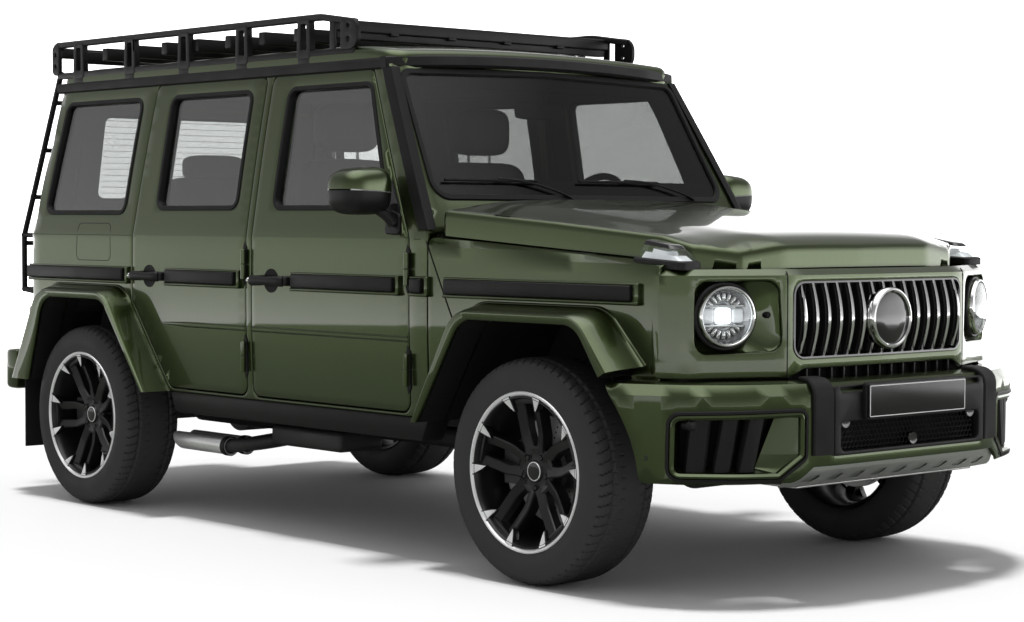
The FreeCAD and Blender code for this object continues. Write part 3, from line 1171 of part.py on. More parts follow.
def mirrors():
    """The door mirrors, carried by the front doors."""
    inner, outer, corner = s.mirror_inner_y, s.mirror_outer_y, s.window_corner
    shell = prism("mirror_shell", "YZ", [
        (inner, s.mirror_bottom_z, corner), (outer, s.mirror_bottom_z, corner),
        (outer, s.mirror_top_z, corner), (inner, s.mirror_top_z, corner)],
        s.mirror_x - s.mirror_depth / 2, s.mirror_x + s.mirror_depth / 2)
    low, high = s.mirror_foot_x - s.mirror_arm / 2, s.mirror_foot_x + s.mirror_arm / 2
    arm = box("mirror_arm", low, high, s.belt_half_width - s.wall / 2, inner + s.mirror_arm, s.belt_z,
              s.mirror_bottom_z - s.mirror_arm)
    stalk = box("mirror_stalk", s.mirror_x - s.mirror_arm / 2, high, inner, inner + s.mirror_arm,
                s.mirror_bottom_z - s.mirror_drop, s.mirror_bottom_z + s.mirror_arm / 4)
    foot = cut("mirror_foot", arm, body_fill("mirror_seat", 0, s.cowl_x))
    left = group("mirror_left", shell, foot, stalk)
    node("mirror_left", left)
    node("mirror_right", mirrored(left))


def revolved(name, points):
    """A profile of half widths and radii turned about the wheel's axle."""
    ring = doc.addObject("Part::Revolution", name)
    ring.Source = outline(name, "YZ", points)
    ring.Axis = Vector(0, 1, 0)
    ring.Angle = 360
    ring.Solid = True
    return ring


def wheels():
    """Four tyres and rims, and the two steered knuckles."""
    half, rim_half = s.tyre_width / 2, s.rim_width / 2
    seat, edge, tread = s.rim_seat_radius, s.tyre_edge_width, s.tyre_radius
    for end, x in (("front", s.front_axle_x), ("rear", rear_axle_x)):
        for side, sign in (("left", 1), ("right", -1)):
            name = f"{end}_{side}"
            tyre = revolved(name + "_tyre_ring", [
                (-rim_half, seat), (rim_half, seat), (half, seat + edge * 2), (half, tread - edge * 2),
                (half - edge, tread), (-half + edge, tread), (-half, tread - edge * 2),
                (-half, seat + edge * 2)])
            place(tyre, x, wheel_y * sign, tread)
            node(f"tyre_{name}", tyre)
            face = wheel_y + rim_half - s.hub_face_inset
            barrel = revolved(name + "_barrel", [
                (-rim_half, seat - s.rim_wall), (rim_half, seat - s.rim_wall), (rim_half, seat),
                (-rim_half, seat)])
            place(barrel, x, wheel_y * sign, tread)
            spans = {"hub": (s.hub_radius, face - s.spoke_thickness, face),
                     "bell": (s.bell_radius, s.disc_y, face),
                     "disc": (s.disc_radius, s.disc_y, s.disc_y + s.disc_thickness)}
            parts = [barrel]
            for label, (radius, near, deep) in spans.items():
                if sign < 0:
                    near, deep = -deep, -near
                parts.append(cylinder(f"{name}_{label}", "y", radius, near, deep, x, tread))
            low = face - s.spoke_thickness if sign > 0 else -face
            for index in range(COUNTS["spokes"] * 2):
                spoke = doc.addObject("Part::Box", f"{name}_spoke_{index}")
                bind(spoke, "Length", s.spoke_width)
                bind(spoke, "Width", s.spoke_thickness)
                bind(spoke, "Height", seat - s.rim_wall)
                turn = Rotation(Vector(0, 1, 0), 360 / COUNTS["spokes"] * (index // 2))
                across_spoke = turn.multVec(Vector(1, 0, 0))
                spoke.Placement = Placement(Vector(), turn)
                shift = s.spoke_spread / (2 if index % 2 else -2) - s.spoke_width / 2
                place(spoke, x + shift * across_spoke.x, low, tread + shift * across_spoke.z)
                parts.append(spoke)
            node(f"rim_{name}", group(f"rim_{name}_solid", *parts))
    for side, sign in (("left", 1), ("right", -1)):
        knuckle(side, sign)


def knuckle(side, sign):
    """A steered knuckle between the wishbones, with its hub carrier and brake caliper."""
    half = s.wishbone_drop - s.seat_gap
    pin = cylinder(f"kingpin_{side}", "z", s.kingpin_radius, s.tyre_radius - half, s.tyre_radius + half,
                   s.front_axle_x, s.kingpin_y)
    carrier = cylinder(f"hub_carrier_{side}", "y", s.hub_carrier_radius, s.kingpin_y, s.disc_y - s.seat_gap,
                       s.front_axle_x, s.tyre_radius)
    left = group(f"knuckle_{side}_solid", pin, carrier, caliper(f"front_caliper_{side}", s.front_axle_x))
    node(f"knuckle_{side}", left if sign > 0 else mirrored(left))


side_walls()
floor_pan()
rear_frame()
roof_panel()
fixed_glass()
bonnet()
front_wings()
front_panel()
grille()
lamps()
front_bumper()
bumper_trim()
skid_plate()
flares()
sills()
rear_bumper()
mudflaps()
chassis()
axles()
engine()
exhaust()
seats()
dashboard()
roof_rack()
side_door("door_front_left", True, True)
side_door("door_front_right", True, False)
side_door("door_rear_left", False, True)
side_door("door_rear_right", False, False)
tailgate()
mirrors()
wheels()
doc.recompute()

for item in doc.Objects:
    bad = [state for state in item.State if state in ("Invalid", "Error")]
    if bad:
        raise RuntimeError(f"{item.Label} did not compute: {bad}")
for label, piece in NODES.items():
    if piece.Shape.isNull() or not piece.Shape.isValid() or not piece.Shape.Solids:
        raise RuntimeError(f"{label} has no sound shape")

os.makedirs("parts", exist_ok=True)
for label, piece in NODES.items():
    piece.Shape.exportStep(os.path.join("parts", label + ".step"))
print(len(NODES), "sub-parts written")
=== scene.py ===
import math

import bmesh
import bpy
import numpy as np
from mathutils import Matrix, Vector, geometry


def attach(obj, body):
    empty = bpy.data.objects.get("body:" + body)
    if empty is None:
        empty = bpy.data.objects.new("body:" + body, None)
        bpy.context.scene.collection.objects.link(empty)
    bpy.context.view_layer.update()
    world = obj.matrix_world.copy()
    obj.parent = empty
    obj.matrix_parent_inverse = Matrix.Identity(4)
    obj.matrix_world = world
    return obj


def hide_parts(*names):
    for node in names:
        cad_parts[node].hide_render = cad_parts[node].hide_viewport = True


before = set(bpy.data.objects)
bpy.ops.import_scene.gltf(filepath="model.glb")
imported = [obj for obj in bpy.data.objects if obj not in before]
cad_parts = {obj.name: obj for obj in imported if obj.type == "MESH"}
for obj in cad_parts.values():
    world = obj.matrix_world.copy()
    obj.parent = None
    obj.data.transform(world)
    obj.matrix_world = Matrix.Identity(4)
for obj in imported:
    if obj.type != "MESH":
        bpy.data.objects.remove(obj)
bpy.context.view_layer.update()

bl_info = {
    "name": "Off-road estate car",
    "version": (1, 0, 0),
    "blender": (4, 5, 0),
    "location": "View3D > Sidebar > Off-road car",
    "description": "Dresses the packed solids of an off-road estate car",
    "category": "Object",
}

HUB_Z = 0.3915
FRONT_AXLE = 1.498
REAR_AXLE = -1.392
WHEEL_Y = 0.826
SILL_Z = 0.526
ARCH_Z = 0.9035
STRIP_Z = 1.008
BELT_Z = 1.18
SPARE_HUB = (0, 0, 0.985)
SCREEN_FOOT = (0.805, 1.346)
SCREEN_LEAN = 0.569
HINGE_X = {"front": 0.780, "rear": -0.258}
HINGE_Y = 0.887
SPIN_DEGREES = {"front": -3.0, "rear": 50.0}
CAMERA_AT = (7.0873, -5.9927, 1.2547)
CAMERA_TURN = (2.4133, -0.0415, 0.0032)
LENS_MM, SENSOR_MM = 77.92, 36
FLOOR_RADIUS, FLOOR_SIDES = 13, 96
SIDES = (("left", 1), ("right", -1))


# Outlines, in metres as everything here

def columns(*parts):
    """Points from their coordinates, of which some may be single numbers."""
    return np.stack(np.broadcast_arrays(*parts), -1)


def rounded(points, steps=6):
    """A closed outline whose corners, given as (a, b, radius), are arcs tangent to their two sides."""
    corners = [tuple(p) + (0,) * (3 - len(p)) for p in points]
    out = []
    for index, (a, b, radius) in enumerate(corners):
        here = np.array((a, b), float)
        if radius <= 0:
            out.append(here[None])
            continue
        before = np.array(corners[index - 1][:2], float) - here
        after = np.array(corners[(index + 1) % len(corners)][:2], float) - here
        before /= np.linalg.norm(before)
        after /= np.linalg.norm(after)
        half = math.acos(np.clip(before @ after, -1, 1)) / 2
        middle = (before + after) / np.linalg.norm(before + after)
        centre = here + middle * radius / math.sin(half)
        first = here + before * radius / math.tan(half) - centre
        last = here + after * radius / math.tan(half) - centre
        start = math.atan2(first[1], first[0])
        turn = (math.atan2(last[1], last[0]) - start + math.pi) % (2 * math.pi) - math.pi
        angles = start + turn * np.linspace(0, 1, steps + 1)
        out.append(centre + radius * columns(np.cos(angles), np.sin(angles)))
    return np.concatenate(out)


def rect(a0, a1, b0, b1, radius, steps=6):
    """A rectangle with four equal corners."""
    return rounded([(a0, b0, radius), (a1, b0, radius), (a1, b1, radius), (a0, b1, radius)], steps)


def tapered(low_half, low, high_half, high, radius, steps=6):
    """A symmetrical outline given by its half width at two heights, with four equal corners."""
    return rounded([(-low_half, low, radius), (low_half, low, radius), (high_half, high, radius),
        (-high_half, high, radius)], steps)


def dense(outline, step):
    """The same closed outline with points no further apart than a step."""
    ends = np.roll(outline, -1, 0)
    counts = np.maximum(1, np.ceil(np.linalg.norm(ends - outline, axis=1) / step).astype(int))
    share = np.concatenate([np.arange(n) / n for n in counts])[:, None]
    return np.repeat(outline, counts, 0) * (1 - share) + np.repeat(ends, counts, 0) * share


def counter_clockwise(outline):
    """The outline in the order that has its inside on the left."""
    a, b = outline[:, 0], outline[:, 1]
    area = np.sum(a * np.roll(b, -1) - b * np.roll(a, -1))
    return outline if area > 0 else outline[::-1]


def inset(outline, depth):
    """A counter-clockwise outline moved inwards, each corner along the mean of its sides' normals."""
    side = np.roll(outline, -1, 0) - outline
    side /= np.maximum(np.linalg.norm(side, axis=1, keepdims=True), 1e-9)
    normal = np.stack([-side[:, 1], side[:, 0]], 1)
    mean = normal + np.roll(normal, 1, 0)
    mean /= np.maximum(np.linalg.norm(mean, axis=1, keepdims=True), 1e-9)
    stretch = 1 / np.maximum(np.sum(mean * normal, 1), 0.5)
    return outline + mean * depth * stretch[:, None]


def inside(points, outline):
    """Which points lie inside an outline, by the number of its sides that a level ray crosses."""
    x, y = points[:, 0][:, None], points[:, 1][:, None]
    x0, y0 = outline[:, 0], outline[:, 1]
    x1, y1 = np.roll(x0, -1), np.roll(y0, -1)
    crosses = ((y0 > y) != (y1 > y)) & (x < (x1 - x0) * (y - y0) / (y1 - y0 + 1e-15) + x0)
    return crosses.sum(1) % 2 == 1


def smooth_path(points, count):
    """An open path through points by Catmull-Rom cubics, with evenly many steps in each span."""
    p = np.asarray(points, float)
    p = np.concatenate([[2 * p[0] - p[1]], p, [2 * p[-1] - p[-2]]])
    t = np.linspace(0, len(p) - 3, count)
    i = np.minimum(t.astype(int), len(p) - 4)
    f = (t - i)[:, None]
    a, b, c, d = p[i], p[i + 1], p[i + 2], p[i + 3]
    return 0.5 * (2 * b + (c - a) * f + (2 * a - 5 * b + 4 * c - d) * f ** 2 + (3 * b - a - 3 * c + d)
        * f ** 3)


# Meshes: a form is a pair of a point array and a list of face arrays

def grid_faces(rows, cols, wrap_rows=False, wrap_cols=False):
    """The quads of a grid of points kept row by row, joined round where it wraps."""
    i = np.arange(rows if wrap_rows else rows - 1)[:, None]
    j = np.arange(cols if wrap_cols else cols - 1)[None]
    i1, j1 = (i + 1) % rows, (j + 1) % cols
    return np.stack(np.broadcast_arrays(i * cols + j, i * cols + j1, i1 * cols + j1, i1 * cols + j),
        -1).reshape(-1, 4)


def joined(*forms):
    """Several forms as one."""
    points, faces, count = [], [], 0
    for form_points, form_faces in forms:
        points.append(form_points)
        faces += [face + count for face in form_faces]
        count += len(form_points)
    return np.concatenate(points), faces


def moved(form, function):
    """A form whose points are passed through a function of an array."""
    return function(form[0]), form[1]


def loft(rings, closed_ends=True):
    """Rings of as many points each, joined in order, with a flat face on the first and last."""
    rings = np.asarray(rings, float)
    rows, cols = rings.shape[:2]
    faces = [grid_faces(rows, cols, wrap_cols=True)]
    if closed_ends:
        faces += [np.arange(cols)[None, ::-1], (np.arange(cols) + (rows - 1) * cols)[None]]
    return rings.reshape(-1, 3), faces


def sheet(points):
    """An open grid of points as a surface."""
    rows, cols = points.shape[:2]
    return points.reshape(-1, 3), [grid_faces(rows, cols)]


def tube(path, radius, sides=12, flat=1.0, up=(0, 0, 1)):
    """A round section carried along a path, its frame turned from the path's own direction."""
    path = np.asarray(path, float)
    along = np.gradient(path, axis=0)
    along /= np.linalg.norm(along, axis=1, keepdims=True)
    guide = np.broadcast_to(np.asarray(up, float), along.shape)
    across = np.cross(along, guide)
    across /= np.maximum(np.linalg.norm(across, axis=1, keepdims=True), 1e-9)
    rise = np.cross(across, along)
    angle = np.linspace(0, 2 * math.pi, sides, endpoint=False)
    radius = np.broadcast_to(np.asarray(radius, float), len(path))[:, None, None]
    ring = (np.cos(angle)[None, :, None] * across[:, None] + flat * np.sin(angle)[None, :, None] * rise[:,
        None]) * radius
    return loft(path[:, None] + ring)


def looped(rings):
    """Rings of as many points each, joined in order and the last to the first."""
    rings = np.stack(rings)
    return rings.reshape(-1, 3), [grid_faces(*rings.shape[:2], wrap_rows=True, wrap_cols=True)]


def strands(lines):
    """Lines of as many points each, laid side by side round a form and closed at both ends."""
    return loft(np.stack(lines, 1))


def hoop(rings):
    """Rings joined in order as a surface that is open at its first and last ring."""
    rings = np.stack(rings)
    return sheet(rings[:, np.r_[0:rings.shape[1], 0]])


def bead(line, surface, steps):
    """A closed strip round a line on a surface, from steps of (distance inside the line, depth)."""
    return looped([surface(*inset(line, wide).T, depth) for wide, depth in steps])


def lathe(profile, axis="y", segments=64, centre=(0, 0, 0)):
    """A closed profile of (radius, distance along the axis) turned about the axis."""
    profile = np.asarray(profile, float)
    angle = np.linspace(0, 2 * math.pi, segments, endpoint=False)
    r, a = profile[:, 0], profile[:, 1]
    one, two = r[None] * np.cos(angle)[:, None], r[None] * np.sin(angle)[:, None]
    along = np.broadcast_to(a[None], one.shape)
    order = {"x": (along, one, two), "y": (two, along, one), "z": (one, two, along)}[axis]
    return looped(np.stack(order, -1) + np.asarray(centre, float))


def panel(outline, surface, depth, edge=0.004, holes=(), spacing=0.06, step=0.03, folds=()):
    """A skin of a given depth over a surface of two parameters and a depth below it.

    Its outline and holes are rolled over with a quarter round, and its face is a Delaunay mesh of
    the rolled line and a grid of points, so that it follows the surface's curve."""
    loops = [counter_clockwise(dense(outline, step))]
    loops += [counter_clockwise(dense(hole, step))[::-1] for hole in holes]
    turn = np.linspace(0, math.pi / 2, 4) if edge > 0 else np.zeros(1)
    inner, points, faces, count = [], [], [], 0
    for loop in loops:
        rings = [surface(loop[:, 0], loop[:, 1], depth)]
        for angle in turn:
            line = inset(loop, edge * (1 - math.cos(angle)))
            rings.append(surface(line[:, 0], line[:, 1], edge * (1 - math.sin(angle))))
        inner.append(line)
        rings = np.stack(rings)
        points.append(rings.reshape(-1, 3))
        faces.append(grid_faces(len(rings), len(loop), wrap_cols=True) + count)
        count += rings.shape[0] * len(loop)
    low, high = inner[0].min(0), inner[0].max(0)
    a, b = np.meshgrid(np.arange(low[0] + spacing / 2, high[0], spacing), np.arange(low[1] + spacing / 2,
        high[1], spacing))
    grid = [columns(a.ravel(), b.ravel())]
    for fold in folds:
        clear = abs(grid[0][:, 1] - fold) > spacing * 0.3
        line = np.arange(low[0] + step / 2, high[0], step)
        grid[0] = grid[0][clear]
        grid += [columns(line, fold + shift) for shift in (-0.003, 0.003)]
    grid = np.concatenate(grid)
    near = spacing * 0.3 if not folds else 0.004
    keep = inside(grid, inset(inner[0], near))
    for line in inner[1:]:
        keep &= ~inside(grid, inset(line, near))
    grid = grid[keep]
    flat = np.concatenate(inner + [grid])
    edges, start = [], 0
    for line in inner:
        index = np.arange(len(line))
        edges.append(columns(index, (index + 1) % len(line)) + start)
        start += len(line)
    cut = geometry.delaunay_2d_cdt(flat.tolist(), np.concatenate(edges).tolist(), [], 0, 1e-7, False)
    flat = np.array([tuple(p) for p in cut[0]])
    triangles = np.array(cut[2])
    middle = flat[triangles].mean(1)
    keep = inside(middle, inner[0])
    for line in inner[1:]:
        keep &= ~inside(middle, line)
    triangles = triangles[keep]
    used = np.unique(triangles)
    lookup = np.zeros(len(flat), int)
    lookup[used] = np.arange(len(used))
    triangles, flat = lookup[triangles], flat[used]
    for level, order in ((0.0, 1), (depth, -1)):
        if level:
            place = flat.copy()
            near = np.linalg.norm(flat[:, None] - np.concatenate(inner)[None], axis=2)
            rim = near.min(1) < 1e-6
            place[rim] = np.concatenate(loops)[near[rim].argmin(1)]
        else:
            place = flat
        points.append(surface(place[:, 0], place[:, 1], level))
        faces.append(triangles[:, ::order] + count)
        count += len(flat)
    return np.concatenate(points), faces


def plate(outline, low, high, edge, to_place, steps=3):
    """An outline carried from one level to another, with both rims rolled over by a quarter round."""
    outline = counter_clockwise(outline)
    turn = np.linspace(0, math.pi / 2, steps + 1) if edge > 0 else np.array([math.pi / 2])
    rings = [(inset(outline, edge * (1 - math.sin(t))), low + edge * (1 - math.cos(t))) for t in turn]
    rings += [(inset(outline, edge * (1 - math.sin(t))), high - edge * (1 - math.cos(t)))
        for t in turn[::-1]]
    return loft([to_place(line[:, 0], line[:, 1], np.full(len(line), level)) for line, level in rings])


def side_on(a, b, c):
    """An outline's (along, height) and its level as (along, out, height)."""
    return columns(a, c, b)


def rounded_box(low, high, edge, steps=3):
    """A box with its upright edges and both rims rounded."""
    low, high = np.minimum(low, high), np.maximum(low, high)
    edge = min(edge, *(0.49 * (high - low)))
    line = rounded([(low[0], low[1], edge), (high[0], low[1], edge), (high[0], high[1], edge),
        (low[0], high[1], edge)], steps)
    return plate(line, low[2], high[2], edge, lambda a, b, c: columns(a, b, c), steps)


def turned(form, axis, degrees):
    """A form turned about an axis through the origin."""
    matrix = np.array(Matrix.Rotation(math.radians(degrees), 3, axis))
    return form[0] @ matrix.T, form[1]


def piece(name, form, material, body="root", slot=None, replaces=(), crease=35, whole=True):
    """Puts a form into the scene as a finished piece that rides on a body.

    Its slot, given or taken from its finish's row in the table of slots, is worked out and not used."""
    name = name.replace(" ", "_")
    slot = slot or SLOTS.get(material, "black_plastic")
    mesh = bpy.data.meshes.new(name)
    points, faces = form
    mesh.from_pydata(points.tolist(), [], [face.tolist() for group in faces for face in group])
    if whole:
        work = bmesh.new()
        work.from_mesh(mesh)
        bmesh.ops.remove_doubles(work, verts=work.verts, dist=2e-6)
        bmesh.ops.dissolve_degenerate(work, edges=work.edges, dist=1e-6)
        bmesh.ops.recalc_face_normals(work, faces=work.faces)
        work.to_mesh(mesh)
        work.free()
    mesh.polygons.foreach_set("use_smooth", np.ones(len(mesh.polygons), bool))
    mesh.set_sharp_from_angle(angle=math.radians(crease))
    mesh.materials.append(finish(material))
    item = bpy.data.objects.new(name, mesh)
    bpy.context.scene.collection.objects.link(item)
    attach(item, body)
    if replaces:
        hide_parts(*replaces)
    return item


# Finishes

# the material slot of each finish that isn't black_plastic
SLOTS = {
    "body_paint": "paint", "shaded_paint": "paint", "chrome": "chrome",
    "cabin_cloth": "cabin_plastic", "cabin_plastic": "cabin_plastic", "wood_dark": "cabin_plastic",
    "caliper_paint": "cast_metal", "cast_metal": "cast_metal", "frame_black": "black_metal",
    "rack_black": "black_metal", "heat_shield": "exhaust_metal", "exhaust_steel": "exhaust_metal",
    "lamp_facet": "lamp_glass", "lamp_pale": "lamp_glass", "lamp_red": "lamp_glass",
    "lens_glass": "lamp_glass", "mirror_face": "glass", "privacy_glass": "glass",
    "screen_glass": "glass", "seat_leather": "seat_leather", "skid_metal": "skid_metal",
    "tyre_rubber": "tyre", "disc_steel": "rim",
}


def node_group(name, inputs, outputs, build):
    """A shader group with named sockets, made once."""
    group = bpy.data.node_groups.get(name)
    if group:
        return group
    group = bpy.data.node_groups.new(name, "ShaderNodeTree")
    for label, kind, value in inputs:
        socket = group.interface.new_socket(label, in_out="INPUT", socket_type=kind)
        if value is not None:
            socket.default_value = value
    for label, kind in outputs:
        group.interface.new_socket(label, in_out="OUTPUT", socket_type=kind)
    start = group.nodes.new("NodeGroupInput")
    end = group.nodes.new("NodeGroupOutput")
    build(group, start, end)
    return group


def mathed(tree, operation, one, two=None):
    """A Math node of two sockets or numbers."""
    node = tree.nodes.new("ShaderNodeMath")
    node.operation = operation
    for index, value in enumerate((one, two)):
        if value is None:
            continue
        if isinstance(value, (int, float)):
            node.inputs[index].default_value = value
        else:
            tree.links.new(value, node.inputs[index])
    return node.outputs[0]


def noise(tree, vector, scale, detail=3.0, roughness=0.55):
    """A Noise texture's value at a vector and scale."""
    node = tree.nodes.new("ShaderNodeTexNoise")
    tree.links.new(vector, node.inputs["Vector"])
    if isinstance(scale, (int, float)):
        node.inputs["Scale"].default_value = scale
    else:
        tree.links.new(scale, node.inputs["Scale"])
    node.inputs["Detail"].default_value = detail
    node.inputs["Roughness"].default_value = roughness
    return node.outputs["Fac"]


def grain_build(tree, start, end):
    """Fine height from two noises, as a bumped normal and a mask."""
    fine = noise(tree, start.outputs["Place"], start.outputs["Scale"], 4.0)
    broad = noise(tree, start.outputs["Place"], 7.0, 2.0)
    height = mathed(tree, "ADD", fine, mathed(tree, "MULTIPLY", broad, 0.3))
    bump = tree.nodes.new("ShaderNodeBump")
    tree.links.new(height, bump.inputs["Height"])
    tree.links.new(start.outputs["Depth"], bump.inputs["Distance"])
    bump.inputs["Strength"].default_value = 1.0
    tree.links.new(bump.outputs["Normal"], end.inputs["Normal"])
    tree.links.new(fine, end.inputs["Mask"])
    tree.links.new(broad, end.inputs["Patches"])


def flake_build(tree, start, end):
    """A cell pattern's random values, as the paint's metal flakes, with a slow drift of tone."""
    cells = tree.nodes.new("ShaderNodeTexVoronoi")
    tree.links.new(start.outputs["Place"], cells.inputs["Vector"])
    tree.links.new(start.outputs["Scale"], cells.inputs["Scale"])
    grey = tree.nodes.new("ShaderNodeSeparateColor")
    tree.links.new(cells.outputs["Color"], grey.inputs["Color"])
    drift = noise(tree, start.outputs["Place"], 1.7, 2.0)
    value = mathed(tree, "MULTIPLY", grey.outputs[0], start.outputs["Sparkle"])
    value = mathed(tree, "ADD", value, mathed(tree, "MULTIPLY", drift, 0.12))
    tree.links.new(value, end.inputs["Tone"])


def grained():
    """The group that gives grain to plastics, rubber, leather and castings."""
    return node_group("Fine grain", [("Place", "NodeSocketVector", None), ("Scale", "NodeSocketFloat",
        400.0), ("Depth", "NodeSocketFloat", 0.0002)], [("Normal", "NodeSocketVector"),
        ("Mask", "NodeSocketFloat"), ("Patches", "NodeSocketFloat")], grain_build)


def flaked():
    """The group that gives the paint its flakes."""
    return node_group("Paint flakes", [("Place", "NodeSocketVector", None), ("Scale", "NodeSocketFloat",
        1400.0), ("Sparkle", "NodeSocketFloat", 0.3)], [("Tone", "NodeSocketFloat")], flake_build)


def mixed(tree, share, one, two):
    """A colour mixed from two by a share."""
    node = tree.nodes.new("ShaderNodeMix")
    node.data_type = "RGBA"
    tree.links.new(share, node.inputs[0])
    node.inputs[6].default_value = (*one, 1)
    node.inputs[7].default_value = (*two, 1)
    return node.outputs[2]


def ranged(tree, value, low, high, out_low, out_high):
    """A value moved from one range to another and held within it."""
    node = tree.nodes.new("ShaderNodeMapRange")
    tree.links.new(value, node.inputs["Value"])
    for key, number in (("From Min", low), ("From Max", high), ("To Min", out_low), ("To Max", out_high)):
        node.inputs[key].default_value = number
    return node.outputs["Result"]


def coat(weight, roughness):
    """The numbers of a clear coat over a finish."""
    return {"Coat Weight": weight, "Coat Roughness": roughness}


DULL = {"Specular IOR Level": 0.22}
# name: base colour or grey, roughness, metallic, grain scale, grain depth in metres, how far the
# colour and roughness drift, and the shader's other numbers
# The second row is the body colour darkened to about two fifths: painted shade on the inner walls, the
# belt's crease line and the bumper's small dots.
# lamp_pale's faint emission of its own colour is a painted glow that brightens pale lamp parts: the
# indicators' shells and blocks, the headlamps' halos and the reversing lamps.
FINISHES = {"body_paint": ((0.050, 0.070, 0.024), 0.30, 0.90, 0, 0, 0.2, coat(0.8, 0.03)),
    "shaded_paint": ((0.020, 0.027, 0.012), 0.5, 0.2, 60, 0.0001, 0.2, {}), "gloss_black": (0.006, 0.12, 0,
    120, 0.00002, 0.1, coat(0.5, 0.05)), "satin_black": (0.010, 0.42, 0, 900, 0.00012, 0.25, DULL),
    "grained_black": (0.012, 0.6, 0, 700, 0.0004, 0.3, DULL), "seal_black": (0.006, 0.55, 0, 300, 0.0001,
    0.2, DULL), "liner_felt": (0.007, 0.9, 0, 350, 0.0008, 0.3, DULL), "tyre_rubber": (0.036, 0.62, 0,
    500, 0.0003, 0.35, DULL), "rim_black": ((0.010, 0.010, 0.011), 0.34, 0.3, 500, 0.00006, 0.2,
    coat(0.35, 0.2)), "rim_bright": ((0.90, 0.90, 0.91), 0.30, 0.55, 300, 0.00002, 0.1, {}),
    "chrome": ((0.80, 0.80, 0.81), 0.07, 1.0, 40, 0.00001, 0.06, {}), "satin_metal": ((0.55, 0.55, 0.56),
    0.30, 1.0, 250, 0.00005, 0.2, {}), "skid_metal": (0.70, 0.33, 0.9, 400, 0.00006, 0.2, {}),
    "exhaust_steel": (0.86, 0.32, 0.8, 120, 0.00004, 0.15, {}), "disc_steel": ((0.55, 0.55, 0.56), 0.38,
    1.0, 300, 0.00008, 0.2, {}), "caliper_paint": ((0.48, 0.49, 0.50), 0.35, 0.6, 200, 0.00008, 0.2, {}),
    "cast_metal": (0.045, 0.65, 0.5, 180, 0.0005, 0.4, {}), "frame_black": (0.014, 0.5, 0.1, 220, 0.0002,
    0.3, DULL), "rack_black": (0.010, 0.45, 0.1, 900, 0.00015, 0.2, DULL), "heat_shield": (0.05, 0.45,
    0.6, 90, 0.0008, 0.3, {}), "seat_leather": (0.016, 0.45, 0, 260, 0.0005, 0.3, {}),
    "cabin_plastic": (0.014, 0.6, 0, 500, 0.0003, 0.3, {}), "cabin_cloth": (0.07, 0.9, 0, 600, 0.0003,
    0.2, {}), "carpet": (0.012, 0.95, 0, 500, 0.001, 0.3, {}), "lamp_white": ((0.90, 0.93, 0.95), 0.25, 0,
    60, 0.0001, 0.05, {"Emission Strength": 1.4}), "lamp_pale": ((0.70, 0.73, 0.75), 0.2, 0, 60, 0.0001,
    0.05, {"Coat Weight": 1.0, "Emission Strength": 0.3}), "lamp_facet": ((0.62, 0.62, 0.63), 0.15, 0.9,
    60, 0.0001, 0.1, {}), "lamp_body": ((0.32, 0.32, 0.33), 0.25, 0.7, 80, 0.00005, 0.1, {}),
    "lamp_red": ((0.35, 0.010, 0.008), 0.12, 0, 60, 0.00005, 0.1, {"Coat Weight": 1.0}),
    "lamp_amber": ((0.55, 0.16, 0.02), 0.2, 0, 60, 0.00005, 0.1, {"Coat Weight": 1.0}),
    "plate_black": (0.006, 0.22, 0, 400, 0.00003, 0.1, {}), "plate_white": (0.75, 0.3, 0, 400, 0.00003,
    0.1, {}), "mirror_face": ((0.75, 0.77, 0.78), 0.03, 1.0, 20, 0.000005, 0.04, {}), "dark_mesh": (0.014,
    0.4, 0.2, 300, 0.0001, 0.2, DULL), "wood_dark": ((0.03, 0.02, 0.014), 0.3, 0, 60, 0.0001, 0.4,
    {"Coat Weight": 0.6}),}
# name: colour of the light let through each face, and the share reflected head-on
GLASSES = {
    "window_glass": ((0.84, 0.85, 0.845), 0.155),
    "screen_glass": ((0.47, 0.475, 0.47), 0.05),
    "privacy_glass": ((0.78, 0.79, 0.785), 0.16),
    "lens_glass": ((0.98, 0.99, 0.99), 0.035),
}


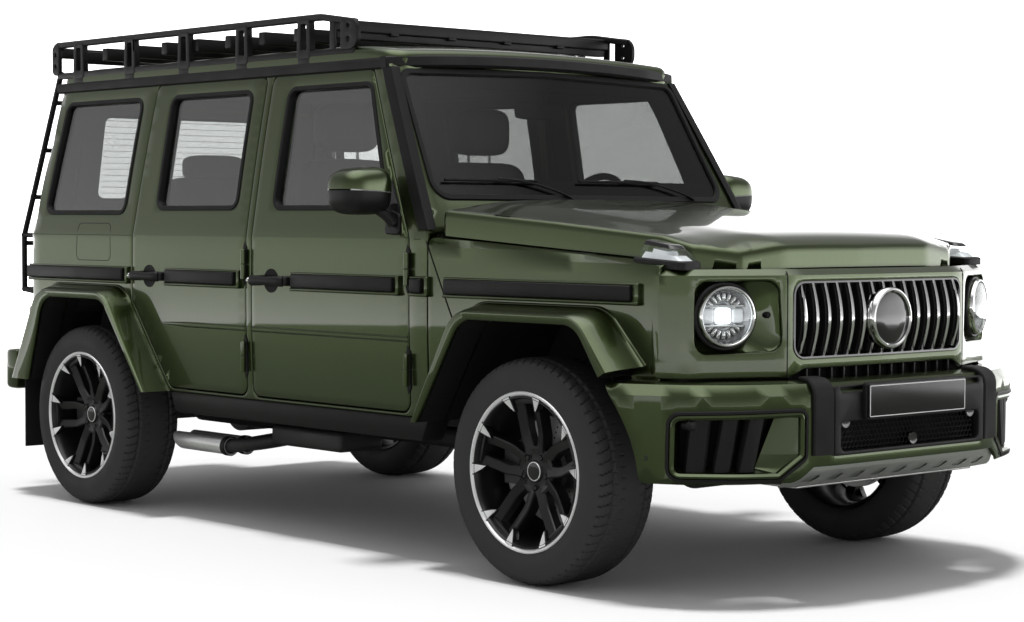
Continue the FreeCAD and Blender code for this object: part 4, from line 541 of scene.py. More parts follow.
def finish(name):
    """The material of a finish, made from its row in the table above."""
    material = bpy.data.materials.get(name)
    if material:
        return material
    material = bpy.data.materials.new(name)
    material.use_nodes = True
    tree = material.node_tree
    shader = tree.nodes["Principled BSDF"]
    place = tree.nodes.new("ShaderNodeTexCoord").outputs["Object"]
    if name in GLASSES:
        colour, level = GLASSES[name]
        shade = ranged(tree, noise(tree, place, 3.0), 0.3, 0.7, 0.0, 0.02)
        see = tree.nodes.new("ShaderNodeBsdfTransparent")
        see.inputs["Color"].default_value = (*colour, 1)
        gloss = tree.nodes.new("ShaderNodeBsdfGlossy")
        tree.links.new(shade, gloss.inputs["Roughness"])
        facing = tree.nodes.new("ShaderNodeLayerWeight").outputs["Facing"]
        share = mathed(tree, "MULTIPLY", mathed(tree, "POWER", facing, 5.0), 1 - level)
        share = mathed(tree, "ADD", share, level)
        blend = tree.nodes.new("ShaderNodeMixShader")
        tree.links.new(share, blend.inputs["Fac"])
        tree.links.new(see.outputs["BSDF"], blend.inputs[1])
        tree.links.new(gloss.outputs["BSDF"], blend.inputs[2])
        tree.links.new(blend.outputs[0], tree.nodes["Material Output"].inputs["Surface"])
        tree.nodes.remove(shader)
        return material
    colour, roughness, metallic, scale, depth, drift, others = FINISHES[name]
    colour = colour if isinstance(colour, tuple) else (colour,) * 3
    if name == "body_paint":
        colour = tuple(bpy.context.scene.offroad_looks.paint_colour)
    shader.inputs["Metallic"].default_value = metallic
    for key, value in others.items():
        shader.inputs[key].default_value = value
    if "Emission Strength" in others:
        shader.inputs["Emission Color"].default_value = (*colour, 1)
    dark = tuple(c * (1 - drift) for c in colour)
    light = tuple(min(1, c * (1 + drift)) for c in colour)
    if scale:
        group = tree.nodes.new("ShaderNodeGroup")
        group.node_tree = grained()
        tree.links.new(place, group.inputs["Place"])
        group.inputs["Scale"].default_value = scale
        group.inputs["Depth"].default_value = depth
        tree.links.new(group.outputs["Normal"], shader.inputs["Normal"])
        tree.links.new(mixed(tree, group.outputs["Mask"], dark, light), shader.inputs["Base Color"])
        rough = ranged(tree, group.outputs["Patches"], 0.3, 0.7, roughness * (1 - drift / 2),
            min(1, roughness * (1 + drift / 2)))
        tree.links.new(rough, shader.inputs["Roughness"])
    else:
        group = tree.nodes.new("ShaderNodeGroup")
        group.node_tree = flaked()
        tree.links.new(place, group.inputs["Place"])
        tree.links.new(mixed(tree, group.outputs["Tone"], dark, tuple(c * 2.2 for c in colour)),
            shader.inputs["Base Color"])
        rough = ranged(tree, noise(tree, place, 2.0), 0.3, 0.7, roughness * 0.92, roughness * 1.08)
        tree.links.new(rough, shader.inputs["Roughness"])
    return material


NODE_FINISH = {
    "floor_pan": "carpet", "chassis_frame": "frame_black", "axles": "cast_metal",
    "engine_block": "cast_metal", "mudflaps": "grained_black", "exhaust": "exhaust_steel",
    "knuckle_left": "cast_metal", "knuckle_right": "cast_metal", "seats": "seat_leather",
    "dashboard": "cabin_plastic", "rack_sides": "rack_black", "rack_floor": "rack_black",
    "ladder": "rack_black", "side_sills": "satin_black", "grille": "chrome", "lamps": "lens_glass",
    "bumper_trim": "satin_black", "skid_plate": "skid_metal", "spare_wheel": "gloss_black",
    "fixed_glass": "window_glass", "rear_door_glass": "privacy_glass",
}


class SceneLooks(bpy.types.PropertyGroup):
    """Colours and levels of the whole scene."""

    paint_colour: bpy.props.FloatVectorProperty(name="Paint colour", description="The body's base colour",
        subtype="COLOR", size=3, min=0, max=1, default=FINISHES["body_paint"][0])
    floor_tone: bpy.props.FloatProperty(name="Floor tone", description="The floor's grey", default=0.975,
        min=0, max=1)
    key_power: bpy.props.FloatProperty(name="Key light",
        description="Strength of the sun that casts the shadow", default=2.25, min=0, max=10)
    fill_level: bpy.props.FloatProperty(name="Fill level",
        description="How strongly the surroundings light the car", default=0.41, min=0, max=4)
    edge_level: bpy.props.FloatProperty(name="Horizon glow",
        description="How much brighter the line past the floor's edge looks in reflections", default=2.6,
        min=0, max=8)
    box_level: bpy.props.FloatProperty(name="Overhead glow",
        description="How much brighter the sky straight above looks in reflections", default=2.2, min=0,
        max=8)
    back_level: bpy.props.FloatProperty(name="Back glow",
        description="How much brighter the low sky behind the car looks in reflections", default=1.8,
        min=0, max=8)
    sky_level: bpy.props.FloatProperty(name="Sky level",
        description="How bright the sky overhead looks in the paint's reflections", default=0.30, min=0,
        max=1)


class SceneSizes(bpy.types.PropertyGroup):
    """Sizes that several pieces share."""

    skin_depth: bpy.props.FloatProperty(name="Skin depth", description="Thickness of the outer skins",
        default=0.014, unit="LENGTH")
    edge_roll: bpy.props.FloatProperty(name="Edge roll", description="Radius of the skins' folded edges",
        default=0.005, unit="LENGTH")
    strip_height: bpy.props.FloatProperty(name="Strip height",
        description="Height of the black rub strips", default=0.062, unit="LENGTH")
    tread_depth: bpy.props.FloatProperty(name="Tread depth", description="Depth of the tyres' grooves",
        default=0.009, unit="LENGTH")


class CarOperator:
    """What every operator of this car shares."""

    bl_options = {"REGISTER", "UNDO"}

    def execute(self, context):
        """Builds the pieces, and says that the work is finished."""
        self.build(context.scene.offroad_sizes, context.scene.offroad_looks)
        return {"FINISHED"}


class OFFROAD_OT_stage(CarOperator, bpy.types.Operator):
    """The pale floor, the surroundings, the lamps and the camera"""

    bl_idname = "offroad.stage"
    bl_label = "Floor, light and camera"

    def build(self, sizes, looks):
        """Places the camera by the car's solved view, and lights it from above and behind."""
        scene = bpy.context.scene
        scene.view_settings.view_transform = "Standard"
        yaw, pitch, roll = CAMERA_TURN
        ahead = Vector((math.cos(pitch) * math.cos(yaw), math.cos(pitch) * math.sin(yaw),
            math.sin(pitch)))
        right = ahead.cross(Vector((0, 0, 1))).normalized()
        rise = right.cross(ahead)
        right, rise = (right * math.cos(roll) + rise * math.sin(roll),
            rise * math.cos(roll) - right * math.sin(roll))
        lens = bpy.data.cameras.new("camera")
        lens.lens, lens.sensor_width = LENS_MM, SENSOR_MM
        lens.clip_end = 300
        camera = bpy.data.objects.new("camera", lens)
        turn = Matrix((right, rise, -ahead)).transposed().to_4x4()
        camera.matrix_world = Matrix.Translation(CAMERA_AT) @ turn
        scene.collection.objects.link(camera)
        scene.camera = camera
        angle = np.linspace(0, 2 * math.pi, FLOOR_SIDES, endpoint=False)
        points = FLOOR_RADIUS * columns(np.cos(angle), np.sin(angle), 0) - (0, 0, 0.001)
        mesh = bpy.data.meshes.new("floor")
        mesh.from_pydata(points.tolist(), [], [list(range(FLOOR_SIDES))])
        floor = bpy.data.objects.new("floor", mesh)
        scene.collection.objects.link(floor)
        mesh.materials.append(floor_finish(looks.floor_tone))
        world = bpy.data.worlds.new("surroundings")
        scene.world = world
        world.use_nodes = True
        tree = world.node_tree
        back = tree.nodes["Background"]
        paths = tree.nodes.new("ShaderNodeLightPath")
        shown = mathed(tree, "MAXIMUM", paths.outputs["Is Camera Ray"], paths.outputs["Is Glossy Ray"])
        shown = mathed(tree, "MAXIMUM", shown, paths.outputs["Is Transmission Ray"])
        clear = mathed(tree, "MAXIMUM", paths.outputs["Is Camera Ray"],
            paths.outputs["Is Transmission Ray"])
        way = tree.nodes.new("ShaderNodeSeparateXYZ")
        tree.links.new(tree.nodes.new("ShaderNodeTexCoord").outputs["Generated"], way.inputs[0])
        fall = ranged(tree, way.outputs["Z"], -0.06, 0.50, 1.0, 0.0)
        fall = mathed(tree, "MULTIPLY", mathed(tree, "MULTIPLY", fall, fall), 1 - looks.sky_level)
        high = mathed(tree, "ADD", fall, looks.sky_level)
        high = mathed(tree, "ADD", high, ranged(tree, way.outputs["Z"], 0.66, 0.94, 0.0, looks.box_level))
        high = mathed(tree, "ADD", high, ranged(tree, way.outputs["Z"], -0.085, -0.02, looks.edge_level,
            0.0))
        behind = mathed(tree, "MULTIPLY", ranged(tree, way.outputs["Y"], 0.15, 0.50, 0.0,
            looks.back_level), ranged(tree, way.outputs["Z"], 0.10, 0.42, 1.0, 0.0))
        high = mathed(tree, "ADD", high, behind)
        seen = mathed(tree, "MAXIMUM", high, clear)
        level = mathed(tree, "ADD", mathed(tree, "MULTIPLY", shown, mathed(tree, "SUBTRACT", seen,
            looks.fill_level)), looks.fill_level)
        tree.links.new(level, back.inputs["Strength"])
        back.inputs["Color"].default_value = (1, 1, 1, 1)
        light = bpy.data.lights.new("key", "SUN")
        light.energy, light.angle = looks.key_power, 0.16
        item = bpy.data.objects.new("key", light)
        item.rotation_euler = Vector((0.08, 0.04, -1.0)).to_track_quat("-Z", "Y").to_euler()
        item.visible_glossy = False
        scene.collection.objects.link(item)


def floor_finish(tone):
    """A pale floor that shows white to the camera where nothing shades it, and dark to glossy rays, a
    painted dark reflection in the body's lower panels.
    """
    material = bpy.data.materials.new("floor")
    material.use_nodes = True
    shader = material.node_tree.nodes["Principled BSDF"]
    tree = material.node_tree
    paths = tree.nodes.new("ShaderNodeLightPath")
    # Glossy rays see the floor at about a sixth of its tone: a painted dark reflection low on the body's
    # sides.
    colour = mixed(tree, paths.outputs["Is Glossy Ray"], (tone, tone, tone), (tone * 0.17, tone * 0.185,
        tone * 0.155))
    tree.links.new(colour, shader.inputs["Base Color"])
    shader.inputs["Roughness"].default_value = 0.9
    return material


class OFFROAD_OT_solids(CarOperator, bpy.types.Operator):
    """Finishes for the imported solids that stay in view"""

    bl_idname = "offroad.solids"
    bl_label = "Finish the solids"

    def build(self, sizes, looks):
        """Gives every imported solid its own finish."""
        for name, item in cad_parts.items():
            label = NODE_FINISH.get(name, "body_paint")
            if name.endswith("_glass") and name not in NODE_FINISH:
                label = "window_glass" if "front" in name else "privacy_glass"
            if name.startswith("tyre"):
                label = "tyre_rubber"
            if name.startswith("rim"):
                label = "rim_black"
            item.data.materials.clear()
            item.data.materials.append(finish(label))


# Body sides

def side_y(x, z):
    """Half width of the body's side: it leans out to the belt, in above it, and in along the wings.

    Two half waves in height make it swell by 5 mm below the belt and 4 mm above it."""
    low = np.clip((z - SILL_Z) / 0.654, -0.2, 1)
    high = np.clip((z - BELT_Z) / 0.66, 0, 1.1)
    y = 0.862 + 0.010 * low + 0.005 * np.sin(math.pi * np.clip(low, 0, 1))
    y = y - 0.115 * high + 0.004 * np.sin(math.pi * np.clip(high, 0, 1))
    return y - 0.036 * np.clip((x - 0.88) / 1.143, 0, 1)


def rear_x(z):
    """The body's rear face, upright to the belt and leaning forward by 98 mm above it."""
    return -1.99 + 0.098 * np.clip((z - BELT_Z) / 0.66, 0, 1)


def on_side(sign):
    """A side's surface, from (along, height, depth): past the rear corner it turns by a quarter of a
    circle of 50 mm in plan and runs on across the rear face."""
    def surface(a, b, depth):
        """Points of the side."""
        depth = np.broadcast_to(depth, a.shape)
        start = rear_x(b) + 0.05
        angle = np.clip((start - a) / 0.05, 0, math.pi / 2)
        past = np.clip(start - a - 0.05 * math.pi / 2, 0, None)
        round_x = start - (0.05 - depth) * np.sin(angle)
        y = side_y(np.maximum(a, start), b) - 0.05 + (0.05 - depth) * np.cos(angle) - past
        x = np.where(angle > 0, round_x, a)
        return columns(x, sign * y, b)
    return surface


def laid_on_side(form, sign):
    """A form given as (along, distance out from the side, height), laid on a side of the car."""
    a, out, b = form[0].T
    return on_side(sign)(a, b, -out), form[1]


def grown(outline, distance):
    """An outline made larger, corner by corner along its normals."""
    return inset(counter_clockwise(outline), -distance)


DOORS = {
    "front": ((-0.219, 0.545, 0.04), (0.772, 0.545, 0.04), (0.772, BELT_Z), (0.420, 1.826, 0.04),
              (-0.219, 1.826, 0.04)),
    "rear": ((-0.8235, 0.545, 0.04), (-0.266, 0.545, 0.04), (-0.266, 1.826, 0.04), (-1.066, 1.826, 0.04),
             (-1.104, BELT_Z), (-1.104, ARCH_Z)),
}
WINDOWS = {
    "front": ((-0.100, 1.291, 0.048), (0.636, 1.291, 0.048), (0.432, 1.772, 0.048), (-0.100, 1.772, 0.048)),
    "rear": ((-0.943, 1.291, 0.048), (-0.346, 1.291, 0.048), (-0.346, 1.772, 0.048),
             (-0.943, 1.772, 0.048)),
    "quarter": ((-1.861, 1.273, 0.048), (-1.189, 1.273, 0.048), (-1.168, 1.772, 0.048),
                (-1.800, 1.772, 0.048)),
}


def body_outline():
    """The side's outline, open for the rear wheel, from the rear face to the windscreen pillar."""
    return rounded([(-2.110, SILL_Z), (-1.800, SILL_Z), (-1.670, ARCH_Z, 0.11), (-1.170, ARCH_Z, 0.11),
        (-0.860, SILL_Z), (0.880, SILL_Z), (0.880, 1.215), (0.524, 1.84), (-2.012, 1.84),
        (-2.110, BELT_Z)], 10)


def seal_ring(name, sign, outer, wide, proud, deep, body, material="seal_black"):
    """A raised ring along an outline on the side, from the line itself to a distance inside it."""
    line = dense(counter_clockwise(outer), 0.05)
    surface = on_side(sign)
    rings = []
    for share, level in ((0, -proud * 0.4), (0.12, -proud), (0.8, -proud), (1, 0.002), (1, deep),
            (0, deep)):
        place = inset(line, wide * share)
        rings.append(surface(place[:, 0], place[:, 1], level))
    return piece(name, looped(rings), material, body, "paint")


def strip_forms(x0, x1, z, sizes):
    """The black core of a rub strip and the painted frame round it, as (along, out, height) forms."""
    half = sizes.strip_height / 2 + 0.006
    core = rounded_box((x0 + 0.012, 0.006, z - half + 0.014), (x1 - 0.030, 0.027, z + half - 0.008),
        0.006)
    base = rounded_box((x0, -0.002, z - half), (x1, 0.010, z + half), 0.005)
    low = rounded_box((x0, 0.0, z - half), (x1, 0.021, z - half + 0.014), 0.006)
    high = rounded_box((x0, 0.0, z + half - 0.009), (x1, 0.016, z + half), 0.004)
    end = rounded_box((x1 - 0.016, 0.0, z - half), (x1, 0.019, z + half), 0.006)
    return core, joined(base, low, high, end)


class OFFROAD_OT_sides(CarOperator, bpy.types.Operator):
    """The body's sides with their inner walls, the quarter windows' seals, strips and fuel flap"""

    bl_idname = "offroad.sides"
    bl_label = "Body sides"

    def build(self, sizes, looks):
        """Lays the skins over the side's surface, open for the doors and the quarter windows."""
        outline = body_outline()
        openings = [grown(rounded(DOORS[key], 8), 0.0065) for key in DOORS]
        quarter = rounded(WINDOWS["quarter"], 8)
        for side, sign in SIDES:
            surface = on_side(sign)
            piece("body side " + side, panel(outline, surface, sizes.skin_depth, sizes.edge_roll,
                openings + [quarter], 0.05, 0.025, (BELT_Z,)), "body_paint", replaces=("side_walls",
                "rear_frame") if sign == 1 else ())
            # The inner wall is in the darker copy of the body paint, painted shade inside the door and
            # window openings.
            piece("body inner side " + side, panel(inset(counter_clockwise(outline), 0.006),
                lambda a, b, d, s=surface: s(a, b, d + 0.056), 0.010, 0.002,
                [grown(rounded(DOORS[key], 6), -0.022) for key in DOORS] + [quarter], 0.12, 0.05),
                "shaded_paint")
            seal_ring("quarter seal " + side, sign, grown(quarter, 0.005), 0.020, 0.004, 0.03, "root")
            core, holder = strip_forms(-1.975, -1.125, STRIP_Z, sizes)
            piece("quarter strip " + side, laid_on_side(core, sign), "satin_black")
            piece("quarter strip frame " + side, laid_on_side(holder, sign), "body_paint")
            if sign == -1:
                flap = rounded([(-1.571, 1.066, 0.03), (-1.281, 1.066, 0.03), (-1.288, 1.232, 0.03),
                    (-1.560, 1.232, 0.03)], 8)
                seal_ring("fuel flap line", sign, flap, 0.0035, 0.0006, 0.002, "root")
            z = np.linspace(0.800, 1.172, 20)
            x = 0.878 + (1.172 - z) * 0.515
            piece("wing seam " + side, tube(columns(x, sign * (side_y(x, z) + 0.0004), z), 0.0026, 6),
                "seal_black")
            # A thin tube in the darker copy of the body paint runs along the belt's crease, a painted shade
            # line.
            x = np.linspace(-1.99, 2.02, 120)
            crease = columns(x, sign * (side_y(x, np.full(120, 1.1795)) - 0.0002), 1.1795)
            lines = [crease[(x > low) & (x < high)] for low, high in ((-1.97, -1.113), (-0.262, -0.226),
                (0.782, 0.87))]
            lines = [tube(line, 0.0014, 5) for line in lines if len(line) > 1]
            piece("belt crease " + side, joined(*lines), "shaded_paint")
            piece("door posts " + side, laid_on_side(joined(rounded_box((-0.262, -0.052, 0.55),
                (-0.223, -0.012, 1.82), 0.004), rounded_box((-1.16, -0.052, 0.95), (-1.108, -0.014, 1.82),
                0.004)), sign), "body_paint")


class OFFROAD_OT_doors(CarOperator, bpy.types.Operator):
    """The four side doors with seals, strips, handles, hinges and mouldings"""

    bl_idname = "offroad.doors"
    bl_label = "Side doors"

    def build(self, sizes, looks):
        """Lays each door's outer skin and inner trim over the side's surface."""
        strips = {"front": (0.062, 0.735), "rear": (-0.832, -0.288)}
        grips = {"front": (-0.192, 0.052), "rear": (-1.075, -0.838)}
        for side, sign in SIDES:
            surface = on_side(sign)
            for key in DOORS:
                body = f"door_{key}_{side}"
                window = rounded(WINDOWS[key], 8)
                outline = grown(rounded(DOORS[key], 8), 0.0015)
                piece(f"{key} door {side}", panel(outline, surface, 0.046, sizes.edge_roll, [window],
                    0.05, 0.025, (BELT_Z,)), "body_paint", body, replaces=(body,))
                piece(f"{key} door trim {side}", panel(grown(outline, -0.02),
                    lambda a, b, d, s=surface: s(a, b, d + 0.046), 0.012, 0.004, [grown(window, -0.004)],
                    0.10, 0.05), "cabin_plastic", body)
                seal_ring(f"{key} window seal {side}", sign, grown(window, 0.005), 0.020, 0.004, 0.03,
                    body)
                x0, x1 = strips[key]
                core, holder = strip_forms(x0, x1, STRIP_Z, sizes)
                piece(f"{key} door strip {side}", laid_on_side(core, sign), "satin_black", body)
                piece(f"{key} door strip frame {side}", laid_on_side(holder, sign), "body_paint", body)
                self.handle(f"{key} handle {side}", *grips[key], STRIP_Z, body, sign)
                self.hinges(key, side, sign, body)
                self.moulding(key, side, sign, body)

    def handle(self, name, x0, x1, z, body, sign):
        """A black bar on two feet over a round dark cup, with a bright button at its rear end."""
        t = np.linspace(0, 1, 25)
        out = 0.036 + 0.007 * np.sin(math.pi * t)
        out[0], out[-1] = 0.030, 0.030
        path = columns(x0 + 0.018 + (x1 - x0 - 0.036) * t, out, z)
        radius = 0.017 + 0.004 * np.cos(math.pi * t) ** 2
        bar = tube(path, radius, 14, 0.72, up=(0, 1, 0))
        feet = joined(rounded_box((x0 + 0.008, -0.002, z - 0.020), (x0 + 0.062, 0.040, z + 0.020), 0.008),
            rounded_box((x1 - 0.062, -0.002, z - 0.018), (x1 + 0.004, 0.036, z + 0.018), 0.008))
        piece(name, laid_on_side(joined(bar, feet), sign), "satin_black", body)
        piece(name + " cup", laid_on_side(lathe([(0.0, 0.0), (0.034, 0.0), (0.044, 0.0012),
            (0.0475, 0.0015), (0.048, -0.002), (0.0, -0.002)], "y", 36, ((x0 * 0.56 + x1 * 0.44), 0.0005,
            z)), sign), "seal_black", body)
        button = lathe([(0.0, 0.0), (0.010, 0.0), (0.012, 0.003), (0.012, 0.010), (0.0, 0.010)], "x", 20)
        button = (button[0] * (-1, 1, 1) + (x0 + 0.010, 0.034, z), button[1])
        piece(name + " button", laid_on_side(button, sign), "chrome", body)

    def hinges(self, key, side, sign, body):
        """Two barrels in front of each door, over thin black plates in the gap that paint the shade of the
        hinges' cut-outs.
        """
        x = HINGE_X[key]
        for low, high in ((1.010, 1.130), (0.640, 0.760)):
            middle = (low + high) / 2
            # A black plate in the door gap behind each hinge: painted shade of its cut-out.
            gap_shade = rounded([(x - 0.010, low - 0.030), (x + 0.008, low - 0.008, 0.006),
                (x + 0.008, high + 0.008, 0.006), (x - 0.010, high + 0.030), (x - 0.020, high, 0.008),
                (x - 0.020, low, 0.008)], 4)
            piece(f"{key} hinge pocket {side} {middle:.1f}", laid_on_side(plate(gap_shade, 0.0002, 0.0022,
                0.0008, side_on), sign), "seal_black")
            for name, z0, z1, rider in (("leaf", low, middle - 0.001, "root"), ("eye", middle + 0.001,
                    high, body)):
                piece(f"{key} hinge {name} {side} {middle:.1f}", lathe([(0.0, z0), (0.009, z0),
                    (0.011, z0 + 0.002), (0.011, z1 - 0.002), (0.009, z1), (0.0, z1)], "z", 20,
                    (x, sign * HINGE_Y, 0)), "body_paint", rider)

    def moulding(self, key, side, sign, body):
        """A thin raised blade that tapers to a point on the rear door."""
        x0, x1 = (-0.217, 0.770) if key == "front" else (-0.930, -0.268)
        t = np.linspace(0, 1, 40)
        x = x0 + (x1 - x0) * t
        half = 0.0115 * np.clip((x + 0.93) / 0.25, 0.04, 1) ** 0.7
        rings = [columns(x, out, 0.812 + half * share) for out, share in ((0.0, 1.0), (0.003, 0.92),
            (0.0045, 0.62), (0.0008, 0.42), (0.0008, -0.42), (0.0045, -0.62), (0.003, -0.92),
            (0.0, -1.0))]
        rings = np.stack(rings, 1)
        piece(f"{key} moulding {side}", laid_on_side(loft(rings), sign), "body_paint", body, crease=50)


# Wheels

def tyre_form(sizes):
    """A tyre round the Y axis at the origin: its section turned about the axis, sunk along the tread's
    grooves, which are four rings and slots across the shoulders that repeat with the angle."""
    section = smooth_path([(0.2625, 0.116), (0.272, 0.126), (0.290, 0.1335), (0.315, 0.1375),
        (0.340, 0.1355), (0.362, 0.1295), (0.376, 0.1215), (0.3835, 0.110), (0.3880, 0.095),
        (0.3905, 0.070), (0.3913, 0.035), (0.3914, 0.0)], 36)
    section = np.concatenate([section, section[-2::-1] * (1, -1)])
    count = 528
    angle = np.linspace(0, 2 * math.pi, count, endpoint=False)
    radius, along = np.meshgrid(section[:, 0], section[:, 1])
    radius, along = (np.broadcast_to(section[:, 0], (count, len(section))).copy(),
        np.broadcast_to(section[:, 1], (count, len(section))))
    phase = angle[:, None] * np.ones_like(along)
    tread = np.clip((radius - 0.366) / 0.007, 0, 1)
    depth = np.zeros_like(radius)
    for ring, wide in ((0.078, 0.0050), (0.027, 0.0050), (-0.027, 0.0050), (-0.078, 0.0050)):
        depth = np.maximum(depth, np.clip((wide - abs(along - ring)) / 0.0022, 0, 1))
    blocks = 66
    skew = 0.5 * np.sign(along) * (abs(along) - 0.08) / 0.05
    saw = ((phase * blocks / (2 * math.pi) + skew) % 1)
    slot = np.clip((0.075 - abs(saw - 0.5)) / 0.03, 0, 1) * (abs(along) > 0.083)
    inner = ((phase * blocks / (2 * math.pi) + along * 14 + 0.3) % 1)
    cut = np.clip((0.05 - abs(inner - 0.5)) / 0.03, 0, 1) * (abs(along) < 0.075) * (abs(along) > 0.030)
    depth = np.maximum(depth, np.maximum(slot * 0.8, cut * 0.6))
    radius = radius - depth * tread * sizes.tread_depth
    wall = np.clip((radius - 0.345) / 0.010, 0, 1) * np.clip((0.374 - radius) / 0.008, 0, 1)
    radius = radius - 0.0012 * wall * np.clip((0.06 - abs(saw - 0.5)) / 0.03, 0, 1)
    points = columns(radius * np.cos(phase), along, radius * np.sin(phase))
    bore = np.stack([0.2625 * np.cos(phase[:, :1]), np.full((count, 1), 0.116),
        0.2625 * np.sin(phase[:, :1])], -1)
    points = np.concatenate([points, bore * (1, -1, 1), bore], 1)[:, :-1]
    return points.reshape(-1, 3), [grid_faces(*points.shape[:2], wrap_rows=True, wrap_cols=True)]


def rim_forms():
    """The wheel round the Y axis, its face at +Y: barrel, lip ring with facets, spokes, hub and cap."""
    barrel = lathe([(0.2610, 0.124), (0.2600, 0.1285), (0.2560, 0.1295), (0.2510, 0.122), (0.2460, 0.100),
        (0.2405, 0.06), (0.238, 0.0), (0.240, -0.09), (0.250, -0.118), (0.2610, -0.124), (0.2555, -0.110),
        (0.2450, -0.085), (0.2440, 0.0), (0.2460, 0.062), (0.2535, 0.105)], "y", 120)
    lip = lathe([(0.2765, 0.1240), (0.2775, 0.1290), (0.2745, 0.1325), (0.2690, 0.1320), (0.2650, 0.1275),
        (0.2620, 0.1240)], "y", 160)
    spokes, facets = [], []
    for index in range(5):
        base = math.radians(90 + 72 * index)

        def placed(u, v, out):
            """A point by its way along and across a pair of spokes, and out of the wheel."""
            return columns(u * math.cos(base) - v * math.sin(base), out,
                u * math.sin(base) + v * math.cos(base))

        for twin in (-1, 1):
            t = np.linspace(0, 1, 18)
            u = 0.058 + 0.194 * t
            ease = np.clip(t / 0.42, 0, 1)
            centre = 0.024 + 0.0165 * ease * ease * (3 - 2 * ease)
            half = 0.0165 + 0.0035 * t + 0.006 * (1 - ease)
            face = 0.079 + 0.034 * t ** 1.5
            rings = [placed(u, twin * (centre + half * across), face - drop) for across, drop in ((-1.0,
                0.046), (-1.0, 0.016), (-0.84, 0.011), (0.30, 0.002), (0.62, 0.0), (0.88, 0.003),
                (1.0, 0.010), (1.0, 0.046))]
            spokes.append(strands(rings))
            for grow, low, high, store in ((1.0, 0.0, 0.002, facets), (1.30, -0.026, -0.0012, spokes)):
                line = [(0.2645, -0.060), (0.2645, 0.078), (0.226, 0.002), (0.212, -0.046)]
                line = [(0.243 + (r - 0.243) * (1 + (grow - 1) * 0.3), 0.002 + (w - 0.002) * grow)
                    for r, w in line]
                line = rounded([(r, w, 0.003) for r, w in line], 2)
                form = plate(line, low, high, 0.0008, side_on, 2)
                r, out, w = form[0].T
                turn = base + twin * (0.292 + w)
                spread = columns(r * np.cos(turn), 0.1295 - (0.2645 - r) * 0.34 + out, r * np.sin(turn))
                store.append((spread, form[1]))
        line = rounded([(0.234, -0.050, 0.006), (0.2615, -0.060, 0.004), (0.2615, 0.060, 0.004),
            (0.234, 0.050, 0.006)], 3)
        spokes.append(plate(line, 0.070, 0.1135, 0.003, placed, 2))
    hub = lathe([(0.0, 0.040), (0.0, 0.079), (0.036, 0.079), (0.040, 0.072), (0.066, 0.070),
        (0.078, 0.074), (0.0865, 0.070), (0.092, 0.055), (0.092, 0.030), (0.0, 0.030)], "y", 60)
    cap = lathe([(0.0, 0.074), (0.0, 0.0810), (0.020, 0.0808), (0.030, 0.0795), (0.0345, 0.0760),
        (0.0345, 0.072)], "y", 40)
    nuts = []
    for index in range(5):
        angle = math.radians(90 + 36 + 72 * index)
        centre = (0.057 * math.cos(angle), 0, 0.057 * math.sin(angle))
        nuts.append(lathe([(0.0, 0.060), (0.0, 0.078), (0.008, 0.078), (0.010, 0.075), (0.0105, 0.060)],
            "y", 6, centre))
        nuts.append(lathe([(0.0112, 0.060), (0.0112, 0.0735), (0.0150, 0.0735), (0.0165, 0.070),
            (0.0165, 0.060)], "y", 20, centre))
    valve = tube([(0.236, 0.104, 0.030), (0.228, 0.118, 0.029)], 0.0035, 8)
    band = lathe([(0.0300, 0.0796), (0.0302, 0.0806), (0.0325, 0.0802), (0.0340, 0.0780),
        (0.0340, 0.0765)], "y", 40)
    return barrel, lip, joined(*spokes), joined(*facets), hub, cap, joined(*nuts), valve, band


def disc_form():
    """A drilled brake disc round the Y axis, with its bell, its holes standing as dark plugs that paint the
    shade inside them.
    """
    disc = lathe([(0.0, -0.026), (0.0, 0.022), (0.074, 0.022), (0.082, 0.008), (0.100, 0.006),
        (0.1835, 0.006), (0.185, 0.004), (0.185, -0.024), (0.1835, -0.026)], "y", 96)
    holes = []
    for ring, (radius, count) in enumerate(((0.112, 18), (0.132, 20), (0.152, 22), (0.171, 24))):
        for index in range(count):
            angle = 2 * math.pi * (index + ring * 0.33) / count
            holes.append(lathe([(0.0, 0.0055), (0.0, 0.0066), (0.0034, 0.0066), (0.0038, 0.0055)], "y", 8,
                (radius * math.cos(angle), 0, radius * math.sin(angle))))
    return disc, joined(*holes)


